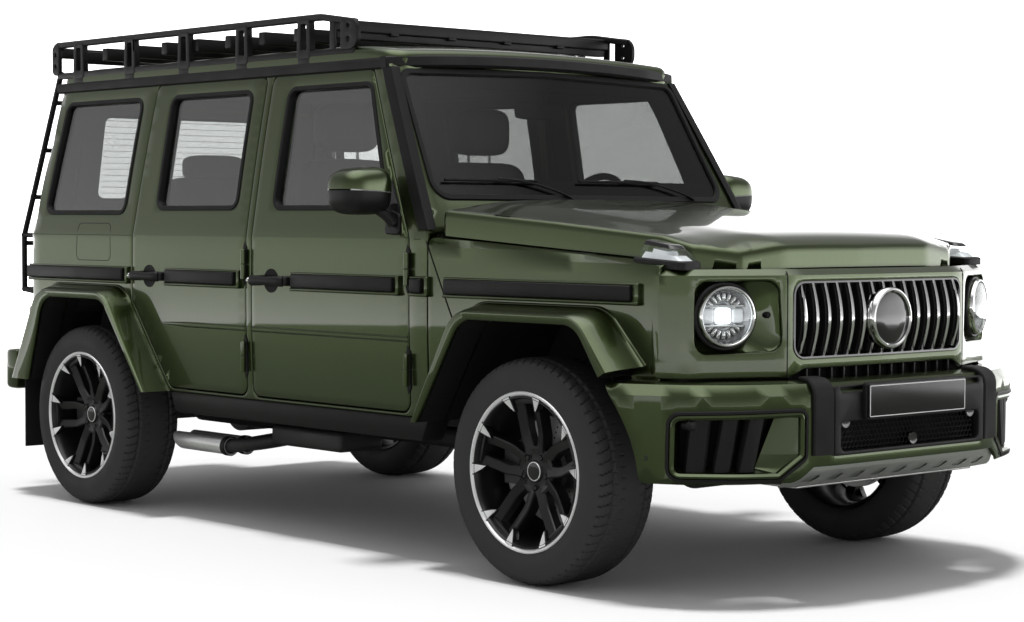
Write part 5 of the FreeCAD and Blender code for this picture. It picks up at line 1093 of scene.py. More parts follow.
class OFFROAD_OT_wheels(CarOperator, bpy.types.Operator):
    """The tyres, wheels, brake discs and calipers"""

    bl_idname = "offroad.wheels"
    bl_label = "Wheels"

    def build(self, sizes, looks):
        """Builds one wheel about the Y axis and sets it at each hub, turned to face outwards."""
        tyre = tyre_form(sizes)
        parts = rim_forms()
        names = (("rim barrel", "rim_black"), ("rim lip", "rim_bright"), ("rim spokes", "rim_black"),
            ("rim facets", "rim_bright"), ("rim hub", "rim_black"), ("rim cap", "gloss_black"),
            ("wheel bolts", "rim_black"), ("valve", "satin_metal"), ("cap ring", "rim_bright"))
        disc, holes = disc_form()
        for end, x in (("front", FRONT_AXLE), ("rear", REAR_AXLE)):
            for side, sign in SIDES:
                body = f"wheel_{end}_{side}"
                centre = np.array((x, sign * WHEEL_Y, HUB_Z))
                spin = SPIN_DEGREES[end]

                def put(form, turn=True):
                    """Sets a form at the hub, on the left or mirrored on the right."""
                    form = turned(form, "Y", spin) if turn else form
                    return form[0] * (1, sign, 1) + centre, form[1]

                piece(f"{end} {side} tyre", put(tyre), "tyre_rubber", body,
                    replaces=(f"tyre_{end}_{side}",), crease=32)
                for index, ((name, material), form) in enumerate(zip(names, parts)):
                    piece(f"{end} {side} {name}", put(form), material, body, "rim",
                        replaces=(f"rim_{end}_{side}",) if index == 0 else (), crease=30)
                inboard = np.array((0, -0.010, 0))
                piece(f"{end} {side} brake disc", put((disc[0] + inboard, disc[1])), "disc_steel", body)
                piece(f"{end} {side} disc holes", put((holes[0] + inboard, holes[1])), "seal_black", body,
                    "rim")
                holder = f"knuckle_{side}" if end == "front" else "root"
                angle = np.linspace(-0.42, 0.42, 15) + (math.pi if end == "front" else 0)
                rings = []
                for turn in angle:
                    line = rounded([(0.120, -0.050, 0.010), (0.208, -0.050, 0.014), (0.208, 0.038, 0.016),
                        (0.120, 0.038, 0.012)], 4)
                    rings.append(np.stack([line[:, 0] * math.cos(turn), line[:, 1] - 0.012,
                        line[:, 0] * math.sin(turn)], 1))
                piece(f"{end} {side} caliper", put(loft(rings), False), "caliper_paint", holder)


# Front end

def plan_skin(plan, profile):
    """A surface that carries an upright profile along a plan line, and its function from half width to
    the distance along the line.

    The plan is half a line from the centre outwards, (x, y, radius), and is mirrored. The profile is
    (distance back, height), and its own length is the second parameter, which starts at its first height.
    A depth is measured inwards, square to both."""
    half = rounded(list(plan) + [(plan[-1][0] - 3, plan[-1][1])], 10)[:-1]
    half = half[half[:, 1] >= 0]
    line = np.concatenate([half[::-1] * (1, -1), half[1:]])
    line = dense_open(line, 0.01)
    along = np.concatenate([[0], np.cumsum(np.linalg.norm(np.diff(line, axis=0), axis=1))])
    along -= along[-1] / 2
    way = smoothed(np.gradient(line, axis=0), 5)
    way /= np.linalg.norm(way, axis=1, keepdims=True)
    up = dense_open(np.asarray(profile, float), 0.004)
    rise = np.concatenate([[0], np.cumsum(np.linalg.norm(np.diff(up, axis=0), axis=1))]) + up[0, 1]
    lean = smoothed(np.gradient(up, axis=0), 3)
    lean /= np.linalg.norm(lean, axis=1, keepdims=True)

    def surface(a, b, depth):
        """Points at a distance along the plan line, a distance up the profile and a depth."""
        x, y = (np.interp(a, along, line[:, k]) for k in (0, 1))
        wx, wy = (np.interp(a, along, way[:, k]) for k in (0, 1))
        back, z = (np.interp(b, rise, up[:, k]) for k in (0, 1))
        lb, lz = (np.interp(b, rise, lean[:, k]) for k in (0, 1))
        x = x + wx * (a - np.clip(a, along[0], along[-1]))
        y = y + wy * (a - np.clip(a, along[0], along[-1]))
        inward = back + depth * lz
        return columns(x - wy * inward, y + wx * inward, z - depth * lb)

    def at(y):
        """The distance along the line at which it has a half width."""
        return float(np.interp(y, line[:, 1], along))

    return surface, at, along[-1]


def dense_open(line, step):
    """An open line with points no further apart than a step."""
    return np.concatenate([dense(line, step)[:len(dense(line, step)) - max(1,
        int(np.ceil(np.linalg.norm(line[0] - line[-1]) / step)))], line[-1:]])


def smoothed(values, passes):
    """Rows averaged with their neighbours a few times, the ends kept."""
    for _ in range(passes):
        values[1:-1] = (values[:-2] + 2 * values[1:-1] + values[2:]) / 4
    return values


def quarter(back, z, radius, steps=6):
    """A profile's rounded shoulder from upright to level, as (distance back, height) points."""
    t = np.linspace(0, math.pi / 2, steps + 1)
    return [(back + radius * (1 - math.cos(k)), z + radius * math.sin(k)) for k in t]


NOSE_PLAN = ((2.282, 0.0), (2.268, 0.451, 0.30), (2.113, 0.800, 0.11), (2.023, 0.836, 0.05), (1.99, 0.838))
BUMPER_PLAN = ((2.397, 0.0), (2.396, 0.387, 0.2), (2.383, 0.495, 0.4), (2.285, 0.730, 0.40),
    (2.161, 0.868, 0.19), (1.940, 0.990, 0.3), (1.90, 0.991))
LAMP = (2.177, 0.674, 0.940)
LAMP_YAW = 21.0


def at_lamp(form, sign):
    """A form made about the X axis at the origin, set at a headlamp and turned outwards."""
    points = turned(form, "Z", LAMP_YAW)[0] + LAMP
    return points * (1, sign, 1), form[1]


class OFFROAD_OT_nose(CarOperator, bpy.types.Operator):
    """The nose, its grille and its headlamps"""

    bl_idname = "offroad.nose"
    bl_label = "Nose, grille and lamps"

    def build(self, sizes, looks):
        """Lays the nose along its plan line, open for the grille and the lamps' recesses."""
        profile = [(0.0, 0.735)] + quarter(0.0, 1.064, 0.028) + [(0.10, 1.097)]
        surface, at, end = plan_skin(NOSE_PLAN, profile)
        outline = rounded([(-end, 0.735), (-0.46, 0.735), (-0.40, 0.762, 0.03), (0.40, 0.762, 0.03),
            (0.46, 0.735), (end, 0.735), (end, 1.115), (-end, 1.115)])
        grille = rect(-0.447, 0.447, 0.796, 1.052, 0.045, 8)
        lamp_at = at(LAMP[1])
        recess = [rounded([(sign * (lamp_at + a), LAMP[2] + b - 0.003, 0.045) for a, b in ((-0.205,
            -0.115), (0.108, -0.122), (0.108, 0.116), (-0.190, 0.118))], 8) for sign in (1, -1)]
        piece("nose", panel(outline, surface, 0.012, 0.005, [grille] + recess, 0.035, 0.015),
            "body_paint", replaces=("front_panel",))
        for side, sign in SIDES:
            line = dense(recess[0] if sign == 1 else recess[1], 0.012)
            middle = np.array((sign * lamp_at, LAMP[2]))
            away = line - middle
            circle = middle + away / np.linalg.norm(away, axis=1, keepdims=True) * 0.103
            bowl = []
            for share, depth in ((0.0, 0.002), (0.02, 0.009), (0.07, 0.014), (0.30, 0.020), (0.65, 0.030),
                    (0.95, 0.038), (1.0, 0.060)):
                ring = line + (circle - line) * share
                bowl.append(surface(ring[:, 0], ring[:, 1], depth))
            piece("lamp recess " + side, hoop(bowl), "body_paint")
            piece("nose seam " + side, tube(surface(np.full(30, sign * (lamp_at - 0.222)),
                np.linspace(0.736, 1.088, 30), 0.0006), 0.0022, 6, up=(1, 0, 0)), "seal_black")
            dot = lathe([(0.0, 0.0), (0.009, 0.0), (0.011, -0.003), (0.011, -0.02), (0.0, -0.02)], "x",
                24, surface(np.array([sign * (lamp_at - 0.160)]), np.array([0.942]), 0.014)[0])
            piece("nose sensor " + side, dot, "seal_black")
            self.lamp(side, sign)
        x = 2.235
        piece("nose slot", rounded_box((x, -0.45, 0.690), (x + 0.008, 0.45, 0.790), 0.003), "liner_felt")
        piece("nose slot ribs", joined(*[rounded_box((x + 0.004, a - 0.004, 0.700), (x + 0.030, a + 0.004,
            0.775), 0.002) for a in np.linspace(-0.38, 0.38, 13)]), "satin_black")
        self.grille(surface, grille)

    def lamp(self, side, sign):
        """A chrome ring, a dark bowl with a bright core, and a clear domed lens."""
        ring = lathe([(0.101, -0.030), (0.101, 0.000), (0.0985, 0.006), (0.0935, 0.008), (0.089, 0.004),
            (0.087, -0.004), (0.087, -0.030)], "x", 96)
        outer = lathe([(0.113, -0.030), (0.113, -0.016), (0.109, -0.012), (0.103, -0.012),
            (0.101, -0.016), (0.101, -0.030)], "x", 96)
        bowl = lathe([(0.0, -0.060), (0.045, -0.058), (0.075, -0.034), (0.0865, -0.006), (0.0865, -0.030),
            (0.075, -0.062), (0.0, -0.066)], "x", 72)
        core = rounded_box((-0.050, -0.026, -0.027), (-0.020, 0.026, 0.027), 0.010)
        halo = joined(*[rounded_box((-0.048, side_at - 0.021, -0.024), (-0.030, side_at + 0.019, 0.024),
            0.008) for side_at in (-0.054, 0.054)])
        split = joined(*[rounded_box((-0.046, -0.078, at_z - 0.0035), (-0.018, 0.078, at_z + 0.0035),
            0.003) for at_z in (-0.033, 0.033)])
        blades = []
        for index in range(14):
            angle = (index % 7 - 3) * 17 + (180 if index > 6 else 0)
            blade = rounded_box((-0.046, -0.0075, 0.046), (-0.024, 0.0075, 0.077), 0.005)
            blades.append(turned(blade, "X", angle))
        r = np.linspace(0, 0.0875, 14)
        dome = 0.004 + 0.010 * np.sqrt(np.clip(1 - (r / 0.092) ** 2, 0, 1))
        lens = lathe([*zip(r, dome), (0.0875, 0.0), *zip(r[::-1], dome[::-1] - 0.003)], "x", 72)
        for name, form, material, own in (("ring", ring, "chrome", "chrome"), ("seat", outer,
                "satin_black", "black_plastic"), ("bowl", bowl, "lamp_body", "chrome"),
                ("core", core, "lamp_white", "lamp_glass"), ("halo", halo, "lamp_pale", "lamp_glass"),
                ("bar", split, "chrome", "chrome"), ("blades", joined(*blades), "lamp_facet", "chrome"),
                ("lens", lens, "lens_glass", "lamp_glass")):
            piece(f"headlamp {name} {side}", at_lamp(form, sign), material, slot=own, replaces=("lamps",)
                if (name, sign) == ("lens", 1) else ())

    def grille(self, surface, opening):
        """Bowed bright slats in front of a dark mesh, and a plain boss in the middle."""
        line = dense(counter_clockwise(opening), 0.03)
        piece("grille frame", bead(line, surface, ((-0.002, 0.001), (0.0, -0.002), (0.006, -0.002),
            (0.009, 0.004), (0.009, 0.03), (0.0, 0.03))), "gloss_black", replaces=("grille",))
        piece("grille back", panel(inset(line, -0.004), lambda a, b, d: surface(a, b, d + 0.045), 0.006,
            0.002, (), 0.06, 0.03), "liner_felt")
        wires = []
        for z in np.arange(0.815, 1.05, 0.0125):
            a = np.linspace(-0.44, 0.44, 40)
            wires.append(tube(surface(a, np.full(40, z), 0.036), 0.0022, 4))
        for a in np.arange(-0.435, 0.44, 0.0125):
            b = np.array((0.81, 1.046))
            wires.append(tube(surface(np.full(2, a), b, 0.034), 0.0022, 4, up=(1, 0, 0)))
        piece("grille mesh", joined(*wires), "dark_mesh", whole=False)
        slats, fins = [], []
        for index in range(15):
            a = (index - 7) * 0.0585
            t = np.linspace(0, 1, 20)
            corner = max(0.0, abs(a) - 0.395)
            z = 0.806 + corner * 0.4 + (0.244 - corner * 0.8) * t
            out = 0.010 - 0.026 * np.sin(math.pi * t)
            rings = []
            for across, depth in ((-0.0045, 0.012), (-0.0065, 0.004), (-0.0050, -0.002), (0.0, -0.0045),
                    (0.0050, -0.002), (0.0065, 0.004), (0.0045, 0.012)):
                wide = across * (0.82 + 0.25 * np.sin(math.pi * t))
                rings.append(surface(a + wide, z, out + depth))
            slats.append(strands(rings))
            rings = [surface(a + across * np.ones(20), z, out * 0.9 + depth)
                for across, depth in ((-0.0095, 0.034), (-0.0095, 0.011), (0.0095, 0.011),
                (0.0095, 0.034))]
            fins.append(strands(rings))
        piece("grille slats", joined(*slats), "chrome", crease=50)
        piece("grille fins", joined(*fins), "satin_black")
        boss_x = 2.313
        ring = lathe([(0.089, 0.0), (0.090, 0.005), (0.095, 0.009), (0.101, 0.007), (0.105, 0.001),
            (0.105, -0.040), (0.089, -0.040)], "x", 96, (boss_x, 0, 0.922))
        face = lathe([(0.0, 0.0045), (0.040, 0.004), (0.080, 0.001), (0.0895, -0.002), (0.0895, -0.040),
            (0.0, -0.040)], "x", 72, (boss_x, 0, 0.922))
        piece("boss ring", ring, "chrome")
        piece("boss face", face, "gloss_black")


class OFFROAD_OT_bumper(CarOperator, bpy.types.Operator):
    """The front bumper, its vents, straps, plate and skid plate"""

    bl_idname = "offroad.bumper"
    bl_label = "Front bumper"

    def build(self, sizes, looks):
        """Lays the bumper along its plan line, with a rounded shelf on top and vents let in."""
        start = [(0.020 - 0.020 * math.sin(k), 0.420 - 0.020 * math.cos(k)) for k in np.linspace(0,
            math.pi / 2, 6)]
        profile = start + quarter(0.0, 0.682, 0.044) + [(0.13, 0.731)]
        surface, at, end = plan_skin(BUMPER_PLAN, profile)
        hub = np.array((FRONT_AXLE, HUB_Z))

        def arch_at(b):
            """How far along the line the wheel's opening starts at a height."""
            a = np.linspace(0, end, 200)
            x = surface(a, np.full(200, b), 0.0)[:, 0]
            clear = hub[0] + math.sqrt(max(0.0, 0.536 ** 2 - (b - hub[1]) ** 2))
            return float(np.interp(-max(clear, 1.905), -x, a))

        heights = np.linspace(0.402, 0.735, 10)
        ends = np.array([(arch_at(b), b) for b in heights])
        notch = np.array([(0.0, 0.462), (0.478, 0.462), (0.560, 0.403)])
        outline = np.concatenate([notch, ends, np.array([(arch_at(0.735), 0.835), (0.0, 0.835)])])
        outline = np.concatenate([outline, (outline[1:-1] * (-1, 1))[::-1]])
        s0, s1 = at(0.503), at(0.892)
        vent = [(s0, 0.654, 0.030), (s1, 0.646, 0.045), (s1 + 0.004, 0.424, 0.045), (s0 + 0.100, 0.420,
            0.03), (s0, 0.492, 0.03)]
        vents = [rounded([(sign * a, b, r) for a, b, r in vent], 6) for sign in (1, -1)]
        piece("front bumper", panel(outline, surface, 0.014, 0.004, vents + [rect(-0.395, 0.395, 0.498,
            0.640, 0.012, 4)], 0.045, 0.02), "body_paint", replaces=("front_bumper",))
        for (side, sign), line in zip(SIDES, vents):
            self.vent(side, sign, line, surface, s0, s1)
            self.strap(side, sign, surface)
        self.centre(surface)

    def vent(self, side, sign, line, surface, s0, s1):
        """A dark frame round a painted ring, a painted duct that narrows, and three fins in its throat."""
        line = counter_clockwise(dense(line, 0.015))
        for name, material, steps in (("frame", "satin_black", ((-0.003, 0.0), (0.000, -0.004),
                (0.008, -0.004), (0.010, 0.004), (0.010, 0.014), (0.0, 0.014))), ("ring", "body_paint",
                ((0.008, 0.012), (0.011, -0.001), (0.018, -0.004), (0.026, 0.003), (0.028, 0.020),
                (0.008, 0.020)))):
            piece(f"vent {name} {side}", bead(line, surface, steps), material, slot="paint")
        mouth = inset(line, 0.026)
        deep = mouth.copy()
        limit = s0 + 0.092 + 0.085 * np.clip((0.640 - mouth[:, 1]) / 0.2, 0, 1)
        deep[:, 0] = sign * np.maximum(abs(mouth[:, 0]), limit)
        deep[:, 1] = np.clip(mouth[:, 1], 0.462, 0.628)
        duct = [surface(mouth[:, 0], mouth[:, 1], 0.010), surface(mouth[:, 0], mouth[:, 1], 0.016)]
        for share in (0.5, 1.0):
            ring = mouth + (deep - mouth) * share
            duct.append(surface(ring[:, 0], ring[:, 1], 0.016 + 0.034 * share))
        piece("vent duct " + side, hoop(duct), "body_paint")
        piece("vent wall " + side, hoop([surface(deep[:, 0], deep[:, 1], level) for level in (0.049,
            0.085)]), "seal_black")
        piece("vent back " + side, panel(inset(line, 0.010), lambda a, b, d: surface(a, b, d + 0.085),
            0.006, 0.001, (), 0.05, 0.02), "liner_felt")
        fins = []
        for low, high, lean in ((0.215, 0.280, 0.020), (0.305, 0.370, 0.016), (0.395, 0.470, 0.010)):
            t = np.linspace(0, 1, 12)
            z = 0.452 + 0.180 * t
            rings = []
            for share, depth in ((0.0, 0.070), (0.0, 0.030), (0.12, 0.020), (0.5, 0.014), (0.88, 0.018),
                    (1.0, 0.030), (1.0, 0.070)):
                a = s0 + low + (high - low) * share - lean * (t - 0.5) * 2 - 0.055
                rings.append(surface(sign * a, z, depth))
            fins.append(strands(rings))
        a = s0 + 0.395
        bulb = surface(np.array([sign * a]), np.array([0.605]), 0.016)[0]
        eye = lathe([(0.0, 0.010), (0.012, 0.009), (0.018, 0.002), (0.018, -0.02), (0.0, -0.02)], "x", 30,
            bulb)
        eye = ((eye[0] - bulb) * (1, 1.7, 1) + bulb, eye[1])
        piece("vent fins " + side, joined(*fins, eye), "satin_black")
        dot = surface(np.array([sign * (s1 + 0.075)]), np.array([0.497]), 0.0)[0]
        form = lathe([(0.0, 0.0), (0.010, 0.0), (0.012, -0.002), (0.012, -0.01), (0.0, -0.01)], "y", 20)
        form = (turned(form, "Z", 12 * sign)[0] * (1, sign, 1) + dot, form[1])
        piece("bumper dot " + side, form, "shaded_paint")

    def strap(self, side, sign, surface):
        """A wide textured black band up the bumper's face and over its shelf."""
        t = np.linspace(0, 1, 40)
        b = 0.500 + 0.300 * t
        rings = [surface(np.full(40, sign * 0.4455 + across), b, -out) for across, out in ((-0.043, 0.0),
            (-0.043, 0.009), (-0.038, 0.0135), (0.038, 0.0135), (0.043, 0.009), (0.043, 0.0))]
        piece("strap " + side, strands(rings), "grained_black", replaces=("bumper_trim",) if sign == 1
            else ())

    def centre(self, surface):
        """The dark middle: a frame, honeycomb, round sensor, blank plate and skid plate."""
        line = rect(-0.400, 0.400, 0.494, 0.722, 0.012, 4)
        hole = rect(-0.370, 0.370, 0.508, 0.606, 0.02, 6)
        piece("bumper centre", panel(line, lambda a, b, d: surface(a, b, d - 0.010), 0.022, 0.004,
            [hole, rect(-0.372, 0.372, 0.700, 0.7155, 0.006, 4)], 0.05, 0.02), "satin_black")
        ring = dense(counter_clockwise(grown(hole, 0.002)), 0.03)
        piece("bumper centre wall",
            sheet(np.stack([surface(ring[:, 0], ring[:, 1], level) for level in (0.004, 0.046)])[:,
            np.r_[0:len(ring), 0]]), "seal_black")
        # A dark block in the gap between the nose and the bumper: painted shade for the space behind them.
        piece("bumper filler", rounded_box((2.00, -0.80, 0.655), (2.09, 0.80, 0.760), 0.01), "seal_black")
        piece("bumper centre back", panel(inset(counter_clockwise(line), 0.006),
            lambda a, b, d: surface(a, b, d + 0.04), 0.005, 0.001, (), 0.08, 0.04), "liner_felt")
        cells = []
        size = 0.0115
        for row in range(-1, 9):
            for col in range(-22, 23):
                a = (col + 0.5 * (row % 2)) * size * math.sqrt(3)
                b = 0.508 + row * size * 1.5
                if abs(a) > 0.365 or b > 0.612:
                    continue
                angle = np.radians((90, 150, 210, 270))
                ca, cb = a + size * np.cos(angle), b + size * np.sin(angle)
                cells.append(tube(surface(ca, cb, 0.012), 0.0021, 4))
        piece("bumper honeycomb", joined(*cells), "dark_mesh", whole=False)
        eye = joined(*[lathe([(0.0, 0.004), (0.014, 0.003), (0.020, 0.004), (0.023, 0.0), (0.023, -0.03),
            (0.0, -0.03)], "x", 36, (2.392, a, b)) for a, b in ((0.02, 0.517), (-0.335, 0.592),
            (0.335, 0.592))])
        piece("bumper sensor", eye, "gloss_black")
        board = rect(-0.260, 0.260, 0.601, 0.713, 0.008, 5)
        to_front = lambda a, b, c: columns(c, a, b)
        piece("plate carrier", plate(grown(board, 0.006), 2.405, 2.424, 0.003, to_front), "satin_black")
        piece("blank plate", plate(board, 2.424, 2.4315, 0.0015, to_front), "plate_black")
        rim = dense(counter_clockwise(inset(counter_clockwise(board), 0.004)), 0.05)
        piece("plate border", looped([to_front(*inset(rim, w).T, np.full(len(rim), level))
            for w, level in ((0, 2.4305), (0, 2.4325), (0.0028, 2.4325), (0.0028, 2.4305))]),
            "plate_white")
        self.skid()

    def skid(self):
        """The bright plate under the bumper: a sloping face with slots, and a pan that runs back."""
        def face(a, b, depth):
            """The face leans back as it falls, more so below a crease."""
            x = 2.386 - 0.35 * (0.462 - b) - 0.55 * np.clip(0.436 - b, 0, 1)
            x = x - 0.16 * np.clip(abs(a) - 0.40, 0, 1)
            return columns(x - depth * 0.8, a, b - depth * 0.6)
        outline = rounded([(-0.572, 0.386, 0.006), (0.572, 0.386, 0.006), (0.500, 0.459, 0.012),
            (-0.500, 0.459, 0.012)], 5)
        slots = []
        for index in range(9):
            a = (index - 4) * 0.112
            slots.append(rounded([(a - 0.040, 0.398, 0.004), (a + 0.010, 0.398, 0.004), (a + 0.040, 0.422,
                0.004), (a - 0.010, 0.422, 0.004)], 4))
        piece("skid plate", panel(outline, face, 0.006, 0.002, slots, 0.04, 0.02, folds=(0.436,)),
            "skid_metal", replaces=("skid_plate",))
        piece("skid backing", panel(inset(counter_clockwise(outline), 0.008), lambda a, b, d: face(a, b,
            d + 0.007), 0.004, 0.001, (), 0.2, 0.1), "satin_metal")
        piece("skid pan", rounded_box((2.015, -0.470, 0.372), (2.300, 0.470, 0.380), 0.003), "skid_metal")


# Bonnet, wings, windscreen and roof

def bonnet_z(x, y):
    """Height of the bonnet: a flat-topped dome that falls in a straight slope to the side edges.

    The slope's ends are rounded by a square root of a sum of squares."""
    keys = (0.905, 2.040, 2.164)
    edge_half = np.interp(x, (0.905, 1.450, 1.860, 2.040, 2.164), (0.832, 0.766, 0.705, 0.694, 0.600))
    edge_z = np.interp(x, (0.905, 1.450, 1.900, 2.040, 2.164), (1.286, 1.243, 1.200, 1.166, 1.125))
    dome_half = np.interp(x, keys, (0.520, 0.420, 0.395))
    dome_z = np.interp(x, keys, (1.322, 1.204, 1.178))
    share = (abs(y) - dome_half) / (edge_half - dome_half)
    soft = 0.5 * (share + np.sqrt(share ** 2 + 0.006))
    soft = soft - 0.5 * (soft - 1 + np.sqrt((soft - 1) ** 2 + 0.006)) * 0.8
    lip = 0.020 * np.clip((x - 2.085) / 0.085, 0, 1) ** 2
    return dome_z - (dome_z - edge_z) * soft + 0.010 * (1 - (y / 0.55) ** 2) * (abs(y) < 0.55) - lip


def bonnet_surface(a, b, depth):
    """The bonnet over its plan. A depth is measured straight down, and is taken further at the nose, the
    front corners and the flanks, so that the edge hangs down there."""
    share = 1 + 0.75 * np.clip((a - 1.98) / 0.15, 0, 1) * (abs(b) < 0.66)
    flank = np.interp(a, (0.905, 1.450, 1.900, 2.040), (2.19, 2.12, 1.90, 1.75)) - 1
    corner = np.clip((a - 1.95) / 0.07, 0, 1) * np.clip((abs(b) - 0.34) / 0.06, 0, 1)
    share = np.maximum(share, 1 + 1.35 * corner)
    share = np.maximum(share, 1 + flank * np.clip((abs(b) - 0.60) / 0.05, 0, 1))
    return columns(a, b, bonnet_z(a, b) - depth * share)


def wing_surface(sign):
    """A wing from its foot up over a rounded shoulder of 30 mm to its flat top, which falls forwards."""
    def surface(a, b, depth):
        """Points at a distance along the car and a distance up and then in over the wing."""
        top = 1.190 - 0.082 * np.clip((a - 0.88) / 1.143, -0.1, 1)
        radius = 0.030
        bend = np.clip((b - (top - radius)) / radius, 0, math.pi / 2)
        flat = np.clip(b - (top - radius) - radius * math.pi / 2, 0, None)
        z = np.where(bend > 0, top - radius + (radius - depth) * np.sin(bend), b)
        y = side_y(a, np.minimum(b, top - radius)) - radius + (radius - depth) * np.cos(bend) - flat
        y = np.where(bend > 0, y, side_y(a, b) - depth)
        return columns(a, sign * y, z)
    return surface


def screen_surface(a, b, depth):
    """The windscreen's plane, which leans back by 29.6 degrees, bowed forward by 35 mm in the middle."""
    x = SCREEN_FOOT[0] + (SCREEN_FOOT[1] - b) * SCREEN_LEAN + 0.035 * np.clip(1 - (a / 0.76) ** 2, 0, 1)
    return columns(x - depth * 0.869, a, b - depth * 0.494)


def roof_surface(a, b, depth):
    """The roof over its plan, crowned across and rounded down to the front and rear."""
    z = 1.944 - 0.024 * (b / 0.75) ** 2 - 0.034 * np.clip((a - 0.20) / 0.338, 0, 1) ** 2
    z = z - 0.020 * np.clip((-1.6 - a) / 0.306, 0, 1) ** 2
    return columns(a, b, z - depth)


class OFFROAD_OT_bonnet(CarOperator, bpy.types.Operator):
    """The bonnet, the wings and the indicators"""

    bl_idname = "offroad.bonnet"
    bl_label = "Bonnet and wings"

    def build(self, sizes, looks):
        """Lays the bonnet over its dome, and each wing over its shoulder."""
        outline = rounded([(0.905, -0.832, 0.03), (1.45, -0.766, 0.6), (1.86, -0.705, 0.6),
            (2.036, -0.694, 0.04), (2.130, -0.560, 0.06), (2.164, -0.380, 0.3), (2.172, 0.0, 0.8),
            (2.164, 0.380, 0.3), (2.130, 0.560, 0.06), (2.036, 0.694, 0.04), (1.86, 0.705, 0.6),
            (1.45, 0.766, 0.6), (0.905, 0.832, 0.03)], 8)
        piece("bonnet skin", panel(outline, bonnet_surface, 0.042, 0.012, (), 0.035, 0.02), "body_paint",
            "bonnet", replaces=("bonnet",))
        piece("bonnet lining", panel(rounded([(0.985, -0.595, 0.05), (1.930, -0.560, 0.05),
            (1.930, 0.560, 0.05), (0.985, 0.595, 0.05)], 6), lambda a, b, d: bonnet_surface(a, b,
            d + 0.042), 0.008, 0.003, (), 0.10, 0.05), "liner_felt", "bonnet")
        for side, sign in SIDES:
            surface = wing_surface(sign)
            top0, top1 = 1.190 + 0.017, 1.108 + 0.017
            shape = rounded([(0.887, SILL_Z), (0.960, SILL_Z), (1.198, ARCH_Z, 0.11), (1.783, ARCH_Z,
                0.11), (1.9036, 0.725), (2.022, 0.725), (2.022, top1 + 0.098), (0.887, top0 + 0.085)], 10)
            piece("front wing " + side, panel(shape, surface, sizes.skin_depth, 0.004, (), 0.04, 0.02),
                "body_paint", replaces=("front_wings",) if sign == 1 else ())
            core, holder = (joined(*pair) for pair in zip(strip_forms(0.797, 0.900, STRIP_Z, sizes),
                strip_forms(0.985, 1.945, STRIP_Z, sizes)))
            piece("wing strip " + side, laid_on_side(core, sign), "satin_black")
            piece("wing strip frame " + side, laid_on_side(holder, sign), "body_paint")
            self.indicator(side, sign)
        # A flat dark sheet under the bonnet: painted shade, so that the bay shows dark through the bonnet's
        # gaps.
        piece("engine bay shade sheet", rounded_box((0.93, -0.70, 1.02), (2.02, 0.70, 1.05), 0.01),
            "seal_black")

    def indicator(self, side, sign):
        """A clear body on a black foot, under a black cap, with a small lens block inside."""
        def wedge(levels, edge):
            """Rounded rectangles (x0, x1, y0, y1, z front, z rear) stacked into a form."""
            rings = []
            for x0, x1, y0, y1, z0, z1 in levels:
                line = rect(x0, x1, y0, y1, edge, 4)
                z = z1 + (z0 - z1) * (line[:, 0] - x0) / (x1 - x0)
                rings.append(np.stack([line[:, 0], sign * line[:, 1], z], 1))
            return loft(rings)
        foot = wedge([(1.862, 2.098, 0.706, 0.806, 1.090, 1.104), (1.862, 2.098, 0.706, 0.806, 1.114,
            1.127), (1.866, 2.094, 0.710, 0.802, 1.118, 1.131)], 0.022)
        body = wedge([(1.872, 2.088, 0.713, 0.799, 1.117, 1.130), (1.892, 2.062, 0.718, 0.795, 1.144,
            1.160), (1.912, 2.030, 0.726, 0.788, 1.164, 1.180)], 0.016)
        cap = wedge([(1.900, 2.040, 0.722, 0.792, 1.158, 1.174), (1.908, 2.030, 0.726, 0.788, 1.168,
            1.187), (1.916, 2.022, 0.732, 0.782, 1.171, 1.189)], 0.014)
        block = wedge([(1.930, 2.020, 0.728, 0.786, 1.125, 1.134), (1.940, 2.010, 0.731, 0.783, 1.150,
            1.160)], 0.010)
        piece("indicator foot " + side, foot, "satin_black")
        piece("indicator lens " + side, body, "lens_glass")
        piece("indicator cap " + side, cap, "gloss_black")
        piece("indicator block " + side, block, "lamp_pale")
        piece("indicator shell " + side, wedge([(1.890, 2.074, 0.722, 0.790, 1.118, 1.130),
            (1.904, 2.050, 0.727, 0.786, 1.135, 1.150)], 0.012), "lamp_pale")


